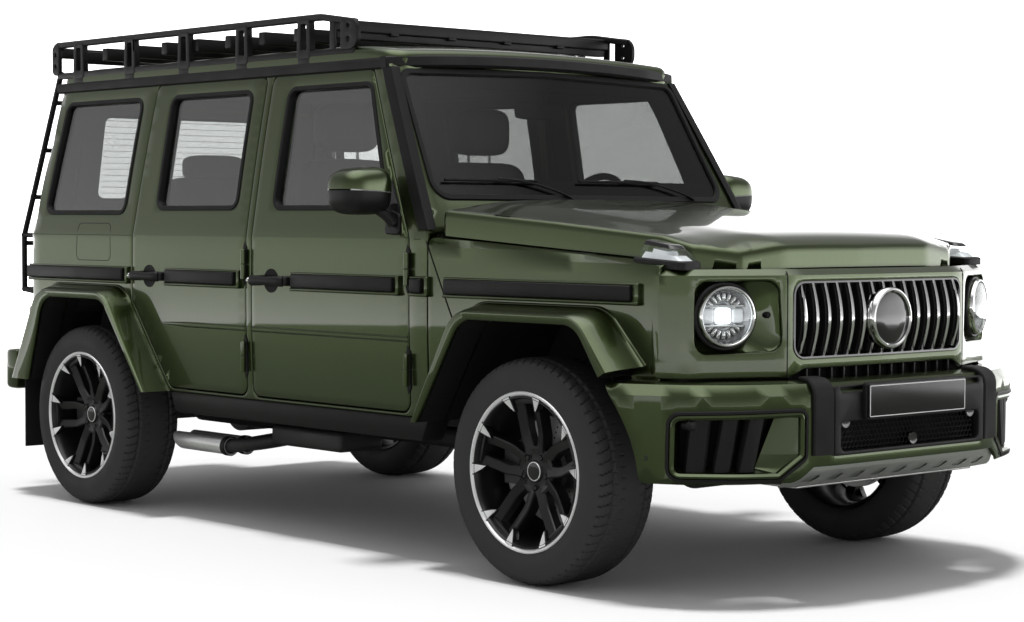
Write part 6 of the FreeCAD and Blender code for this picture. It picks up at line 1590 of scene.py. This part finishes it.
class OFFROAD_OT_screen(CarOperator, bpy.types.Operator):
    """The windscreen with its frame, seal, wipers and cowl"""

    bl_idname = "offroad.screen"
    bl_label = "Windscreen"

    def build(self, sizes, looks):
        """Lays the frame, seal and glass over the bowed plane."""
        pane = rounded([(-0.772, 1.336, 0.06), (0.772, 1.336, 0.06), (0.722, 1.812, 0.05),
            (0.0, 1.828, 1.0), (-0.722, 1.812, 0.05)], 8)
        piece("windscreen frame", panel(rounded([(-0.864, 1.204), (0.864, 1.204), (0.762, 1.842),
            (-0.762, 1.842)]), lambda a, b, d: screen_surface(a, b, d + 0.002), 0.05, 0.006, [pane], 0.05,
            0.03), "body_paint")
        piece("windscreen", panel(grown(pane, 0.006), lambda a, b, d: screen_surface(a, b, d + 0.006),
            0.005, 0.0, (), 0.06, 0.04), "screen_glass", replaces=("fixed_glass",))
        piece("windscreen seal", bead(dense(counter_clockwise(grown(pane, 0.012)), 0.04), screen_surface,
            ((0.0, 0.001), (0.003, -0.004), (0.020, -0.004), (0.024, 0.003), (0.024, 0.014),
            (0.0, 0.014))), "seal_black")
        piece("windscreen dark edge", panel(grown(pane, -0.004), lambda a, b, d: screen_surface(a, b,
            d + 0.012), 0.002, 0, [tapered(0.722, 1.408, 0.668, 1.762, 0.05, 8)], 0.1, 0.03),
            "seal_black")
        for side, sign in SIDES:
            pane = panel(grown(rounded(WINDOWS["quarter"], 8), 0.004),
                lambda a, b, d, s=on_side(sign): s(a, b, d + 0.012), 0.005, 0.0, (), 0.3, 0.1)
            piece("quarter glass " + side, pane, "privacy_glass")
        cowl = []
        for x, z in ((0.900, 1.150), (0.900, 1.215), (0.882, 1.250), (0.845, 1.272), (0.835, 1.262),
                (0.865, 1.15)):
            a = np.linspace(-0.76, 0.76, 30)
            cowl.append(columns(x + 0.030 * (1 - (a / 0.76) ** 2), a, z))
        piece("cowl", strands(cowl), "satin_black")
        for index, (foot, tip, high) in enumerate(((-0.128, -0.46, 1.402), (0.573, 0.20, 1.404))):
            t = np.linspace(0, 1, 14)
            y = foot + (tip - foot) * t
            z = 1.330 + (high - 1.330) * np.sin(t * math.pi / 2) ** 0.8
            path = screen_surface(y, z, -0.009)
            arm = tube(path, 0.0055 - 0.001 * t, 8, 0.8)
            y = tip + np.linspace(-0.25, 0.19, 14)
            blade = screen_surface(y, np.full(14, high - 0.006), -0.0065)
            piece(f"wiper arm {index}", arm, "satin_black")
            piece(f"wiper blade {index}", tube(blade, 0.0052, 6, 1.1), "seal_black")


class OFFROAD_OT_roof(CarOperator, bpy.types.Operator):
    """The roof panel with its gutters and pillar trims"""

    bl_idname = "offroad.roof"
    bl_label = "Roof"

    def build(self, sizes, looks):
        """Lays the crowned roof, and runs a black gutter along each side and down the front pillars."""
        piece("roof", panel(rect(-1.904, 0.540, -0.750, 0.750, 0.07, 8), roof_surface, 0.072, 0.030, (),
            0.10, 0.03), "body_paint", replaces=("roof_panel",))
        piece("roof lining", rounded_box((-1.84, -0.70, 1.815), (0.46, 0.70, 1.835), 0.008),
            "cabin_cloth")
        y = np.linspace(-0.768, 0.768, 50)
        rim = []
        for ahead, z in ((-0.03, 1.819), (0.004, 1.821), (0.013, 1.830), (0.011, 1.862), (-0.002, 1.868),
                (-0.03, 1.866)):
            x = 0.505 + 0.062 * (1 - (y / 0.77) ** 4) + ahead
            rim.append(columns(x, y, z + 0.024 * (1 - (y / 0.77) ** 2)))
        piece("front gutter", strands(rim), "seal_black")
        for side, sign in SIDES:
            x = np.linspace(-1.905, 0.512, 30)
            rail = [columns(x, sign * y, z) for y, z in ((0.742, 1.820), (0.762, 1.820), (0.769, 1.827),
                (0.7705, 1.840), (0.7695, 1.856), (0.763, 1.864), (0.750, 1.866), (0.742, 1.860))]
            piece("gutter " + side, strands(rail), "seal_black")
            z = np.linspace(1.215, 1.828, 24)
            line = []
            for aside, ahead in ((-0.034, 0.009), (-0.006, 0.011), (0.005, 0.006), (0.007, -0.010),
                    (0.007, -0.046), (0.003, -0.052), (-0.010, -0.050)):
                x = SCREEN_FOOT[0] + (SCREEN_FOOT[1] - z) * SCREEN_LEAN + ahead
                line.append(columns(x, sign * (side_y(x, z) + aside), z))
            piece("pillar trim " + side, strands(line), "seal_black")


# Wheel arches

def arch_lines(front):
    """The opening's and the flare's body edge as two open lines of matching points."""
    axle = FRONT_AXLE if front else REAR_AXLE
    inner = (0.538, 0.300, 0.285, 0.540) if front else (0.408, 0.278, 0.222, 0.532)
    outer = (0.600, 0.380, 0.300, 0.710) if front else (0.700, 0.395, 0.222, 0.565)
    lines = []
    for (foot_r, top_r, top_f, foot_f), z, radius in ((inner, ARCH_Z, 0.11), (outer, 0.9655, 0.15)):
        corners = rounded([(axle - foot_r, SILL_Z), (axle - top_r, z, radius), (axle + top_f, z, radius),
            (axle + foot_f, SILL_Z)], 14)
        spans = [corners[0:2], corners[1:16], corners[15:17], corners[16:31], corners[30:32]]
        line = []
        for span, count in zip(spans, (14, 14, 16, 14, 14)):
            reach = np.concatenate([[0], np.cumsum(np.linalg.norm(np.diff(span, axis=0), axis=1))])
            at = np.linspace(0, reach[-1], count + 1)[:-1]
            line.append(np.stack([np.interp(at, reach, span[:, k]) for k in (0, 1)], 1))
        lines.append(np.concatenate(line + [corners[-1:]]))
    inner, outer = lines
    if front:
        keep = (np.arange(len(inner)) < 40) | (outer[:, 1] > 0.728)
        inner, outer = inner[keep], outer[keep]
        keep = (np.arange(len(inner)) < 40) | (inner[:, 1] > 0.728)
        inner, outer = inner[keep], outer[keep]
    return inner, outer


FLARE_SECTION = ((1.0, 0.0), (1.0, 0.06), (0.955, 0.085), (0.90, 0.095), (0.86, 0.125), (0.83, 0.22),
                 (0.74, 0.50), (0.62, 0.78), (0.53, 0.93), (0.47, 0.985), (0.42, 1.0), (0.10, 1.0),
                 (0.04, 0.990), (0.0, 0.960), (0.0, 0.90), (0.06, 0.88), (0.50, 0.60), (0.80, 0.0))


class OFFROAD_OT_flares(CarOperator, bpy.types.Operator):
    """The wheel arches' flares and dark liners"""

    bl_idname = "offroad.flares"
    bl_label = "Flares and liners"

    def build(self, sizes, looks):
        """Carries a folded section between the body's line and the opening's line."""
        for front in (True, False):
            inner, outer = arch_lines(front)
            for side, sign in SIDES:
                rings = []
                for share, out in FLARE_SECTION:
                    at = inner + (outer - inner) * share
                    base = side_y(at[:, 0], at[:, 1]) - 0.004
                    x = np.clip(at[:, 0], -1.985, None)
                    rings.append(np.stack([x, sign * (base + (0.992 - base) * out), at[:, 1]], 1))
                end = "front" if front else "rear"
                piece(f"{end} flare {side}", strands(rings), "body_paint", replaces=("arch_flares",)
                    if front and sign == 1 else (), crease=28)
                middle = np.array((inner[:, 0].mean(), SILL_Z))
                rings = []
                depth = 0.480 if front else 0.606
                for grow, y in ((0.0, 0.972), (0.008, 0.972), (0.014, depth), (0.0, depth)):
                    away = inner - middle
                    away /= np.linalg.norm(away, axis=1, keepdims=True)
                    at = inner + away * grow
                    rings.append(np.stack([at[:, 0], np.full(len(at), sign * y), at[:, 1]], 1))
                piece(f"{end} liner {side}", strands(rings), "liner_felt")
                piece(f"{end} well wall {side}",
                    plate(np.concatenate([inner, [(inner[-1, 0], 0.45), (inner[0, 0], 0.45)]]),
                    depth - 0.008, depth - 0.002, 0.001, lambda a, b, c, s=sign: columns(a, s * c, b), 1),
                    "liner_felt")


# Mirrors, rack, rear end, cabin and underside

def pillow(low, high, power=0.35, rings=24, segments=40):
    """A superellipsoid in a box: sines and cosines of two angles raised to a power below one."""
    low, high = np.minimum(low, high), np.maximum(low, high)
    u = np.linspace(-math.pi / 2, math.pi / 2, rings)[:, None]
    v = np.linspace(-math.pi, math.pi, segments, endpoint=False)[None]

    def bent(value):
        """A sine or cosine pushed outwards, its sign kept."""
        return np.sign(value) * abs(value) ** power

    x = bent(np.cos(u)) * bent(np.cos(v))
    y = bent(np.cos(u)) * bent(np.sin(v))
    z = bent(np.sin(u)) * np.ones_like(v)
    points = (low + high) / 2 + columns(x, y, z) * (high - low) / 2
    return points.reshape(-1, 3), [grid_faces(rings, segments, wrap_cols=True)]


def softened(name, node, material, width):
    """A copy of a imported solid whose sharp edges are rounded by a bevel."""
    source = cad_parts[node]
    work = bmesh.new()
    work.from_mesh(source.data)
    work.transform(source.matrix_world)
    bmesh.ops.remove_doubles(work, verts=work.verts, dist=1e-5)
    bmesh.ops.dissolve_limit(work, angle_limit=math.radians(1.5), verts=work.verts, edges=work.edges)
    sharp = [e for e in work.edges if len(e.link_faces) == 2 and e.calc_face_angle(0) > math.radians(32)]
    bmesh.ops.bevel(work, geom=sharp, offset=width, offset_type="OFFSET", segments=2, profile=0.5,
        affect="EDGES", clamp_overlap=True)
    points = np.array([v.co[:] for v in work.verts])
    faces = [np.array([[v.index for v in f.verts]]) for f in work.faces]
    work.free()
    return piece(name, (points, faces), material, replaces=(node,))


def rear_face(a, b, depth):
    """The body's rear face over width and height, its depth measured forwards."""
    return columns(rear_x(b) + depth, a, b)


class OFFROAD_OT_mirrors(CarOperator, bpy.types.Operator):
    """The door mirrors"""

    bl_idname = "offroad.mirrors"
    bl_label = "Mirrors"

    def build(self, sizes, looks):
        """Builds a painted shell over a dark body on a bent stalk, with a flat glass behind."""
        for side, sign in SIDES:
            flip = np.array((1, sign, 1))
            body = f"door_front_{side}"
            shell = pillow((0.530, 0.876, 1.268), (0.724, 1.0925, 1.452), 0.60, 32, 56)
            points = shell[0].copy()
            share = (points[:, 1] - 0.876) / 0.216
            points[:, 2] = points[:, 2] - 0.018 * share * (points[:, 2] > 1.36)
            points[:, 0] = np.maximum(points[:, 0], 0.556)
            upper, lower = points.copy(), points.copy()
            split = 1.352 + 0.010 * share
            upper[:, 2] = np.maximum(upper[:, 2], split)
            lower[:, 2] = np.minimum(lower[:, 2], split - 0.004)
            lower[:, :2] = (lower[:, :2] - (0.650, 0.990)) * 0.985 + (0.650, 0.990)
            for name, form, material in (("shell", upper, "body_paint"), ("body", lower, "satin_black")):
                piece(f"mirror {name} {side}", (form * flip, shell[1]), material, body, "black_plastic",
                    replaces=(f"mirror_{side}",) if name == "shell" else ())
            y = np.linspace(0.900, 1.078, 20)
            x = 0.627 + 0.097 * np.clip(1 - (abs(y - 0.984) / 0.108) ** 3.3, 0, 1) ** 0.3
            line = columns(x - 0.001, sign * y, 1.350 + 0.010 * (y - 0.888) / 0.205)
            piece("mirror light " + side, tube(line, 0.0035, 8), "lamp_facet", body)
            foot = rounded([(0.604, 1.400, 0.01), (0.640, 1.400, 0.01), (0.704, 1.300, 0.03),
                (0.712, 1.255, 0.02), (0.692, 1.202, 0.02), (0.652, 1.202, 0.02), (0.628, 1.262, 0.02)],
                6)
            foot = panel(foot, lambda a, b, d, s=on_side(sign): s(a, b, d - 0.007), 0.010, 0.003, (), 0.1,
                0.05)
            piece("mirror foot plate " + side, foot, "satin_black", body)
            t = np.linspace(0, 1, 14)[:, None]
            path = smooth_path([(0.655, sign * 0.975, 1.300), (0.672, sign * 0.935, 1.285),
                (0.690, sign * 0.905, 1.262), (0.700, sign * 0.884, 1.235)], 14)
            arm = tube(path, (0.020 + 0.008 * t[:, 0]), 16, 0.75)
            base = rounded([(0.640, 1.196, 0.02), (0.735, 1.196, 0.015), (0.722, 1.270, 0.02),
                (0.660, 1.290, 0.02)], 5)
            foot = plate(base, 0.0, 0.016, 0.005, side_on)
            piece("mirror arm " + side, arm, "satin_black", body)
            piece("mirror foot " + side, laid_on_side(foot, sign), "satin_black", body)
            line = rounded([(0.898, 1.292, 0.05), (1.072, 1.292, 0.05), (1.072, 1.424, 0.05),
                (0.898, 1.432, 0.05)], 8)
            piece("mirror glass " + side, plate(line, 0.552, 0.5555, 0.001,
                lambda a, b, c, s=sign: columns(c, s * a, b)), "mirror_face", body)


class OFFROAD_OT_rack(CarOperator, bpy.types.Operator):
    """The roof rack"""

    bl_idname = "offroad.rack"
    bl_label = "Roof rack"

    def build(self, sizes, looks):
        """Builds both side frames of rails, slotted posts and drilled plates, and the bars between."""
        for side, sign in SIDES:
            x = np.array((-1.965, -1.945, 0.050, 0.075, 0.285))
            z = np.array((2.036, 2.0435, 2.0435, 2.0425, 2.012))
            rings = [columns(x, sign * y, z + tall) for y, tall in ((0.728, -0.0135), (0.746, -0.0135),
                (0.750, -0.009), (0.750, 0.009), (0.746, 0.0135), (0.728, 0.0135), (0.724, 0.009),
                (0.724, -0.009))]
            parts = [strands(rings), rounded_box((-1.94, sign * 0.726, 1.888), (0.290, sign * 0.750,
                1.916), 0.006), rounded_box((0.130, sign * 0.738, 1.90), (0.165, sign * 0.7485, 2.03),
                0.004)]
            for x in (-1.749, -1.319, -0.892, -0.463, -0.036):
                line = rounded([(x - 0.046, 1.884, 0.012), (x + 0.046, 1.884, 0.012), (x + 0.040, 2.044,
                    0.012), (x - 0.040, 2.044, 0.012)], 4)
                slot = rounded([(x - 0.020, 1.918, 0.008), (x + 0.020, 1.918, 0.008), (x + 0.018, 2.022,
                    0.008), (x - 0.018, 2.022, 0.008)], 4)
                parts.append(panel(line, lambda a, b, d, s=sign: columns(a, s * (0.7515 - d) + 0 * a, b),
                    0.026, 0.003, [slot], 0.05, 0.02))
                parts.append(rounded_box((x - 0.040, sign * 0.738, 1.862), (x + 0.040, sign * 0.7505,
                    1.892), 0.004))
            piece("rack side " + side, joined(*parts), "rack_black", replaces=("rack_sides",) if sign == 1
                else ())
            for name, x0, x1 in (("front", 0.205, 0.313), ("rear", -1.979, -1.807)):
                ahead = name == "front"
                tip, root = (x1, x0) if ahead else (x0, x1)
                root = root if ahead else tip + 0.060
                line = rounded([(root, 1.906, 0.01), (tip, 1.906, 0.050 if ahead else 0.028),
                    (tip, 2.024 if ahead else 2.046, 0.055 if ahead else 0.028),
                    (root, 2.036 if ahead else 2.046, 0.01)], 8)
                middle = tip + (root - tip) * (0.55 if ahead else 0.5)
                piece(f"rack plate {name} {side}", panel(line, lambda a, b, d, s=sign: columns(a,
                    s * (0.7525 - d) + 0 * a, b), 0.018, 0.004, [rect(middle - 0.009, middle + 0.009,
                    z - 0.009, z + 0.009, 0.0085, 6) for z in (1.948, 2.000)], 0.04, 0.012), "rack_black")
        bars = [rounded_box((x - 0.022, -0.728, 1.957), (x + 0.022, 0.728, 2.0115), 0.005)
            for x in np.linspace(-1.80, 0.13, 9)]
        for y in (-0.45, -0.15, 0.15, 0.45):
            bars.append(rounded_box((-1.83, y - 0.020, 1.977), (0.17, y + 0.020, 1.992), 0.004))
        ends = [rounded_box((x - 0.012, -0.742, z - 0.006), (x + 0.012, 0.742, z + 0.042), 0.008)
            for x, z in ((0.150, 1.990), (-1.925, 1.990))]
        piece("rack bars", joined(*bars), "rack_black", replaces=("rack_floor",))
        piece("rack end bars", joined(*ends), "rack_black")


class OFFROAD_OT_rear(CarOperator, bpy.types.Operator):
    """The rear frame, rear door, spare wheel cover, tail lamps and bumper"""

    bl_idname = "offroad.rear"
    bl_label = "Rear end"

    def build(self, sizes, looks):
        """Lays the rear face and its door, and sets the covered spare wheel on the door."""
        gate = rounded([(-0.715, 0.660, 0.04), (0.715, 0.660, 0.04), (0.715, BELT_Z),
            (0.675, 1.790, 0.04), (-0.675, 1.790, 0.04), (-0.715, BELT_Z)], 8)
        outer = rounded([(-0.818, SILL_Z), (0.818, SILL_Z), (0.828, BELT_Z), (0.716, 1.842),
            (-0.716, 1.842), (-0.828, BELT_Z)])
        piece("rear face", panel(outer, lambda a, b, d: rear_face(a, b, d + 0.0005), 0.030, 0.003,
            [grown(gate, 0.006)], 0.06, 0.03, folds=(BELT_Z,)), "body_paint")
        # The inner frame is in the darker copy of the body paint, painted shade inside the door opening.
        piece("rear inner frame", panel(outer, lambda a, b, d: rear_face(a, b, d + 0.045), 0.010, 0.002,
            [grown(gate, -0.02)], 0.1, 0.05), "shaded_paint")
        window = tapered(0.560, 1.330, 0.545, 1.735, 0.05, 8)
        piece("rear door", panel(gate, rear_face, 0.040, 0.006, [window], 0.05, 0.025, folds=(BELT_Z,)),
            "body_paint", "rear_door", replaces=("rear_door",))
        piece("rear door trim", panel(grown(gate, -0.03), lambda a, b, d: rear_face(a, b, d + 0.040),
            0.014, 0.004, [grown(window, -0.004)], 0.1, 0.05), "cabin_plastic", "rear_door")
        piece("rear window seal", bead(dense(counter_clockwise(grown(window, 0.008)), 0.04), rear_face,
            ((0.0, 0.001), (0.003, -0.005), (0.020, -0.005), (0.024, 0.003), (0.024, 0.03), (0.0, 0.03))),
            "seal_black", "rear_door")
        piece("rear window heater",
            joined(*[tube(np.array([(rear_x(z) + 0.020, -0.52, z), (rear_x(z) + 0.020, 0.52, z)]), 0.0011,
            4) for z in np.arange(1.37, 1.71, 0.028)]), "cast_metal", "rear_door", "black_plastic",
            whole=False)
        self.spare()
        self.fittings()

    def spare(self):
        """A drum with a rounded rim, a bright band round its face and a plain disc in its middle."""
        profile = [(0.0, -2.424), (0.12, -2.425), (0.26, -2.427), (0.325, -2.4315), (0.340, -2.4325),
            (0.352, -2.430), (0.370, -2.418), (0.385, -2.395), (0.395, -2.36), (0.398, -2.30),
            (0.398, -2.19), (0.392, -2.160), (0.375, -2.149), (0.0, -2.149)]
        piece("spare cover", lathe(profile, "x", 128, SPARE_HUB), "body_paint", "rear_door",
            "black_plastic", replaces=("spare_wheel",))
        piece("spare band", lathe([(0.356, -2.4305), (0.363, -2.4275), (0.371, -2.4200), (0.366, -2.415),
            (0.354, -2.425)], "x", 128, SPARE_HUB), "rim_bright", "rear_door")
        piece("spare edge", lathe([(0.3985, -2.18), (0.4000, -2.17), (0.3985, -2.155), (0.385, -2.147),
            (0.370, -2.147), (0.390, -2.18)], "x", 128, SPARE_HUB), "seal_black", "rear_door")
        piece("spare carrier", lathe([(0.0, -2.150), (0.150, -2.150), (0.165, -2.10), (0.200, -1.995),
            (0.0, -1.995)], "x", 48, SPARE_HUB), "satin_black", "rear_door", "black_metal")

    def fittings(self):
        """Tail lamps in painted housings, the latch, hinges, wiper, plate and high brake lamp."""
        for side, sign in SIDES:
            piece("tail lamp case " + side, rounded_box((-2.012, sign * 0.766, 0.690),
                (-1.93, sign * 0.861, 0.850), 0.012), "body_paint")
            for name, material, low, high in (("red", "lamp_red", 0.745, 0.842), ("amber", "lamp_amber",
                    0.719, 0.742), ("white", "lamp_pale", 0.698, 0.716)):
                piece(f"tail lamp {name} {side}", rounded_box((-2.0245, sign * 0.772, low),
                    (-2.005, sign * 0.855, high), 0.006), material, slot="lamp_glass")
        piece("rear door latch", rounded_box((-2.020, 0.560, 0.985), (-1.992, 0.690, 1.015), 0.010),
            "satin_black", "rear_door")
        wiper = joined(lathe([(0.0, -2.03), (0.016, -2.028), (0.020, -1.99), (0.0, -1.99)], "x", 20,
            (0, 0.0, 1.775)), tube([(-1.945, 0.0, 1.772), (-1.948, 0.12, 1.768), (-1.952, 0.30, 1.752)],
            0.007, 8), tube([(-1.952, 0.06, 1.748), (-1.954, 0.52, 1.740)], 0.006, 6))
        form = wiper[0].copy()
        form[:, 0] = np.minimum(form[:, 0], rear_x(form[:, 2]) - 0.004)
        piece("rear wiper", (form, wiper[1]), "seal_black", "rear_door")
        piece("high brake lamp", rounded_box((-1.925, -0.16, 1.806), (-1.895, 0.16, 1.826), 0.006),
            "lamp_red")
        piece("rear plate carrier", rounded_box((-2.012, 0.430, 0.690), (-1.996, 0.705, 0.850), 0.006),
            "satin_black", "rear_door")
        piece("rear blank plate", rounded_box((-2.0165, 0.440, 0.700), (-2.010, 0.695, 0.840), 0.003),
            "plate_black", "rear_door")
        pins = [lathe([(0.0, low), (0.010, low), (0.012, low + 0.003), (0.012, low + 0.087),
            (0.010, low + 0.09), (0.0, low + 0.09)], "z", 16, (-2.005, -0.723, 0)) for low in (0.80, 1.10,
            1.45)]
        pins = joined(*pins)
        form = pins[0].copy()
        form[:, 0] += rear_x(form[:, 2]) - rear_x(0.8)
        piece("rear door hinges", (form, pins[1]), "body_paint")
        softened("rear bumper", "rear_bumper", "body_paint", 0.018)
        piece("bumper step", rounded_box((-2.139, -0.62, 0.6705), (-2.02, 0.62, 0.676), 0.002),
            "grained_black")
        for side, sign in SIDES:
            piece("mudflap " + side, rounded_box((-1.9135, sign * 0.6885, 0.212), (-1.905, sign * 0.940,
                0.56), 0.0035), "grained_black", slot="flap_rubber", replaces=("mudflaps",) if sign == 1
                else ())


class OFFROAD_OT_cabin(CarOperator, bpy.types.Operator):
    """The seats, dashboard, steering wheel and inner mirror"""

    bl_idname = "offroad.cabin"
    bl_label = "Cabin"

    def build(self, sizes, looks):
        """Builds padded seats from superellipsoids, and the dashboard from a swept section."""
        count = 0
        for y in (0.365, -0.365):
            for name, low, high, power in (("cushion", (-0.20, y - 0.255, 0.72), (0.32, y + 0.255, 0.905),
                    0.32), ("back", (-0.335, y - 0.250, 0.86), (-0.195, y + 0.250, 1.500), 0.35),
                    ("bolster", (-0.270, y - 0.258, 0.90), (-0.150, y - 0.175, 1.30), 0.5),
                    ("wing", (-0.270, y + 0.175, 0.90), (-0.150, y + 0.258, 1.30), 0.5),
                    ("headrest", (-0.318, y - 0.148, 1.530), (-0.200, y + 0.148, 1.735), 0.5)):
                form = pillow(low, high, power)
                item = piece(f"front seat {name} {count}", form, "seat_leather", replaces=("seats",)
                    if count == 0 else ())
                count += 1
            piece(f"headrest posts {count}", joined(*[tube([(-0.262, y + d, 1.47), (-0.262, y + d, 1.56)],
                0.006, 8, 1.0, (1, 0, 0)) for d in (-0.06, 0.06)]), "chrome")
            piece(f"seat base {count}", rounded_box((-0.18, y - 0.20, 0.600), (0.28, y + 0.20, 0.74),
                0.02), "cabin_plastic")
        for name, low, high, power in (("bench", (-1.16, -0.62, 0.70), (-0.64, 0.62, 0.905), 0.22),
                ("bench back", (-1.292, -0.62, 0.86), (-1.155, 0.62, 1.440), 0.2),
                ("rest left", (-1.285, 0.22, 1.42), (-1.175, 0.52, 1.535), 0.5),
                ("rest right", (-1.285, -0.52, 1.42), (-1.175, -0.22, 1.535), 0.5), ("rest middle",
                (-1.285, -0.12, 1.41), (-1.185, 0.12, 1.51), 0.5)):
            item = piece("rear seat " + name, pillow(low, high, power), "seat_leather")
        y = np.linspace(-0.785, 0.785, 60)
        hood = 0.030 * np.exp(-((y - 0.365) / 0.20) ** 4)
        rings = [columns(x, y, z + hood * lift) for x, z, lift in ((0.62, 0.87, 0), (0.575, 0.98, 0),
            (0.560, 1.20, 0.3), (0.580, 1.325, 1.0), (0.620, 1.360, 1.0), (0.70, 1.362, 0.3),
            (0.775, 1.325, 0), (0.80, 1.20, 0), (0.838, 0.87, 0))]
        piece("dashboard shell", strands(rings), "cabin_plastic", replaces=("dashboard",))
        piece("dashboard screen", rounded_box((0.545, -0.18, 1.290), (0.562, 0.60, 1.385), 0.006),
            "gloss_black", slot="cabin_plastic")
        piece("console", rounded_box((-0.25, -0.095, 0.60), (0.60, 0.095, 0.90), 0.025), "wood_dark")
        t = np.linspace(0, 2 * math.pi, 60)
        ring = columns(np.zeros(60), 0.172 * np.cos(t), 0.172 * np.sin(t))
        wheel = tube(np.concatenate([ring[:-1], ring[:2]]), 0.0145, 12, up=(1, 0, 0))
        hub = pillow((-0.02, -0.065, -0.055), (0.03, 0.065, 0.055), 0.5)
        spokes = [rounded_box((-0.006, -0.168, -0.018), (0.010, 0.168, 0.018), 0.005),
            rounded_box((-0.006, -0.020, -0.168), (0.010, 0.020, 0.0), 0.005)]
        column = tube([(0.0, 0, 0), (0.14, 0, 0)], 0.035, 20, up=(0, 1, 0))
        whole = turned(joined(wheel, hub, *spokes, column), "Y", 25)
        piece("steering wheel", (whole[0] + (0.455, 0.365, 1.275), whole[1]), "seat_leather",
            slot="cabin_plastic")
        piece("inner mirror", joined(pillow((0.510, -0.125, 1.650), (0.540, 0.125, 1.715), 0.4),
            tube([(0.535, 0, 1.69), (0.560, 0, 1.765)], 0.010, 10)), "cabin_plastic")
        for side, sign in SIDES:
            piece("sun visor " + side, rounded_box((0.35, sign * 0.20, 1.785), (0.53, sign * 0.62, 1.803),
                0.008), "cabin_cloth")


class OFFROAD_OT_underside(CarOperator, bpy.types.Operator):
    """The sills, frame, axles and exhaust"""

    bl_idname = "offroad.underside"
    bl_label = "Underside"

    def build(self, sizes, looks):
        """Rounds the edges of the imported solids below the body, and adds clamps and a heat shield."""
        softened("sills", "side_sills", "satin_black", 0.012)
        softened("frame rails", "chassis_frame", "frame_black", 0.006)
        softened("axle casings", "axles", "cast_metal", 0.006)
        for index, (low, high) in enumerate((((-1.06, -0.60, 0.372), (-0.37, 0.60, 0.500)),
                ((-0.36, -0.44, 0.360), (0.90, 0.44, 0.440)))):
            piece(f"undertray {index}", rounded_box(low, high, 0.03), "frame_black")
        for side, sign in SIDES:
            piece("silencer " + side, rounded_box((-0.335, sign * 0.475, 0.328), (0.135, sign * 0.700,
                0.412), 0.022), "heat_shield", replaces=("exhaust",) if sign == 1 else ())
            for y in (0.792, 0.710):
                t = np.linspace(0, 1, 16)[:, None]
                start, knee, end = (np.array(p) for p in ((-0.33, sign * (y - 0.16), 0.352),
                    (-0.42, sign * (y - 0.03), 0.322), (-0.50, sign * y, 0.314)))
                piece(f"tailpipe feed {side} {y:.2f}", tube((1 - t) ** 2 * start + 2 * t * (1 - t) * knee
                    + t ** 2 * end, 0.028, 16), "heat_shield")
                outer = lathe([(0.0345, 0.0), (0.0360, 0.004), (0.0360, 0.395), (0.0345, 0.400),
                    (0.0325, 0.395), (0.0325, 0.0)], "x", 48)
                form = outer[0].copy()
                tip = form[:, 0] > 0.3
                form[tip, 0] += 0.050 * (form[tip, 2] / 0.072 - 0.5)
                form[:, 0] = -0.480 - form[:, 0]
                piece(f"tailpipe {side} {y:.2f}", (form + (0, sign * y, 0.314), outer[1]),
                    "exhaust_steel")
                piece(f"tailpipe clamp {side} {y:.2f}", lathe([(0.0365, 0.0), (0.040, 0.002),
                    (0.040, 0.028), (0.0365, 0.030)], "x", 32, (-0.51, sign * y, 0.314)), "satin_black",
                    slot="black_metal")


OPERATORS = (OFFROAD_OT_stage, OFFROAD_OT_solids, OFFROAD_OT_sides, OFFROAD_OT_doors, OFFROAD_OT_wheels,
    OFFROAD_OT_nose, OFFROAD_OT_bumper, OFFROAD_OT_bonnet, OFFROAD_OT_screen, OFFROAD_OT_roof,
    OFFROAD_OT_flares, OFFROAD_OT_mirrors, OFFROAD_OT_rack, OFFROAD_OT_rear, OFFROAD_OT_cabin,
    OFFROAD_OT_underside)


class OFFROAD_PT_car(bpy.types.Panel):
    """Lists the car's sizes, colours and operators"""

    bl_label = "Off-road car"
    bl_idname = "OFFROAD_PT_car"
    bl_space_type = "VIEW_3D"
    bl_region_type = "UI"
    bl_category = "Off-road car"

    def draw(self, context):
        """Draws each setting, and a button for each operator."""
        for settings in (context.scene.offroad_looks, context.scene.offroad_sizes):
            for key in settings.__annotations__:
                self.layout.prop(settings, key)
        for operator in OPERATORS:
            self.layout.operator(operator.bl_idname)


CLASSES = (SceneLooks, SceneSizes, *OPERATORS, OFFROAD_PT_car)


def register():
    """Adds the classes, and their settings to the scene."""
    for item in CLASSES:
        bpy.utils.register_class(item)
    bpy.types.Scene.offroad_looks = bpy.props.PointerProperty(type=SceneLooks)
    bpy.types.Scene.offroad_sizes = bpy.props.PointerProperty(type=SceneSizes)


def unregister():
    """Takes the settings and the classes away again."""
    del bpy.types.Scene.offroad_looks
    del bpy.types.Scene.offroad_sizes
    for item in reversed(CLASSES):
        bpy.utils.unregister_class(item)


def main():
    """Builds the whole car."""
    register()
    for operator in OPERATORS:
        getattr(bpy.ops.offroad, operator.bl_idname.split(".")[1])()


if __name__ == "__main__":
    main()
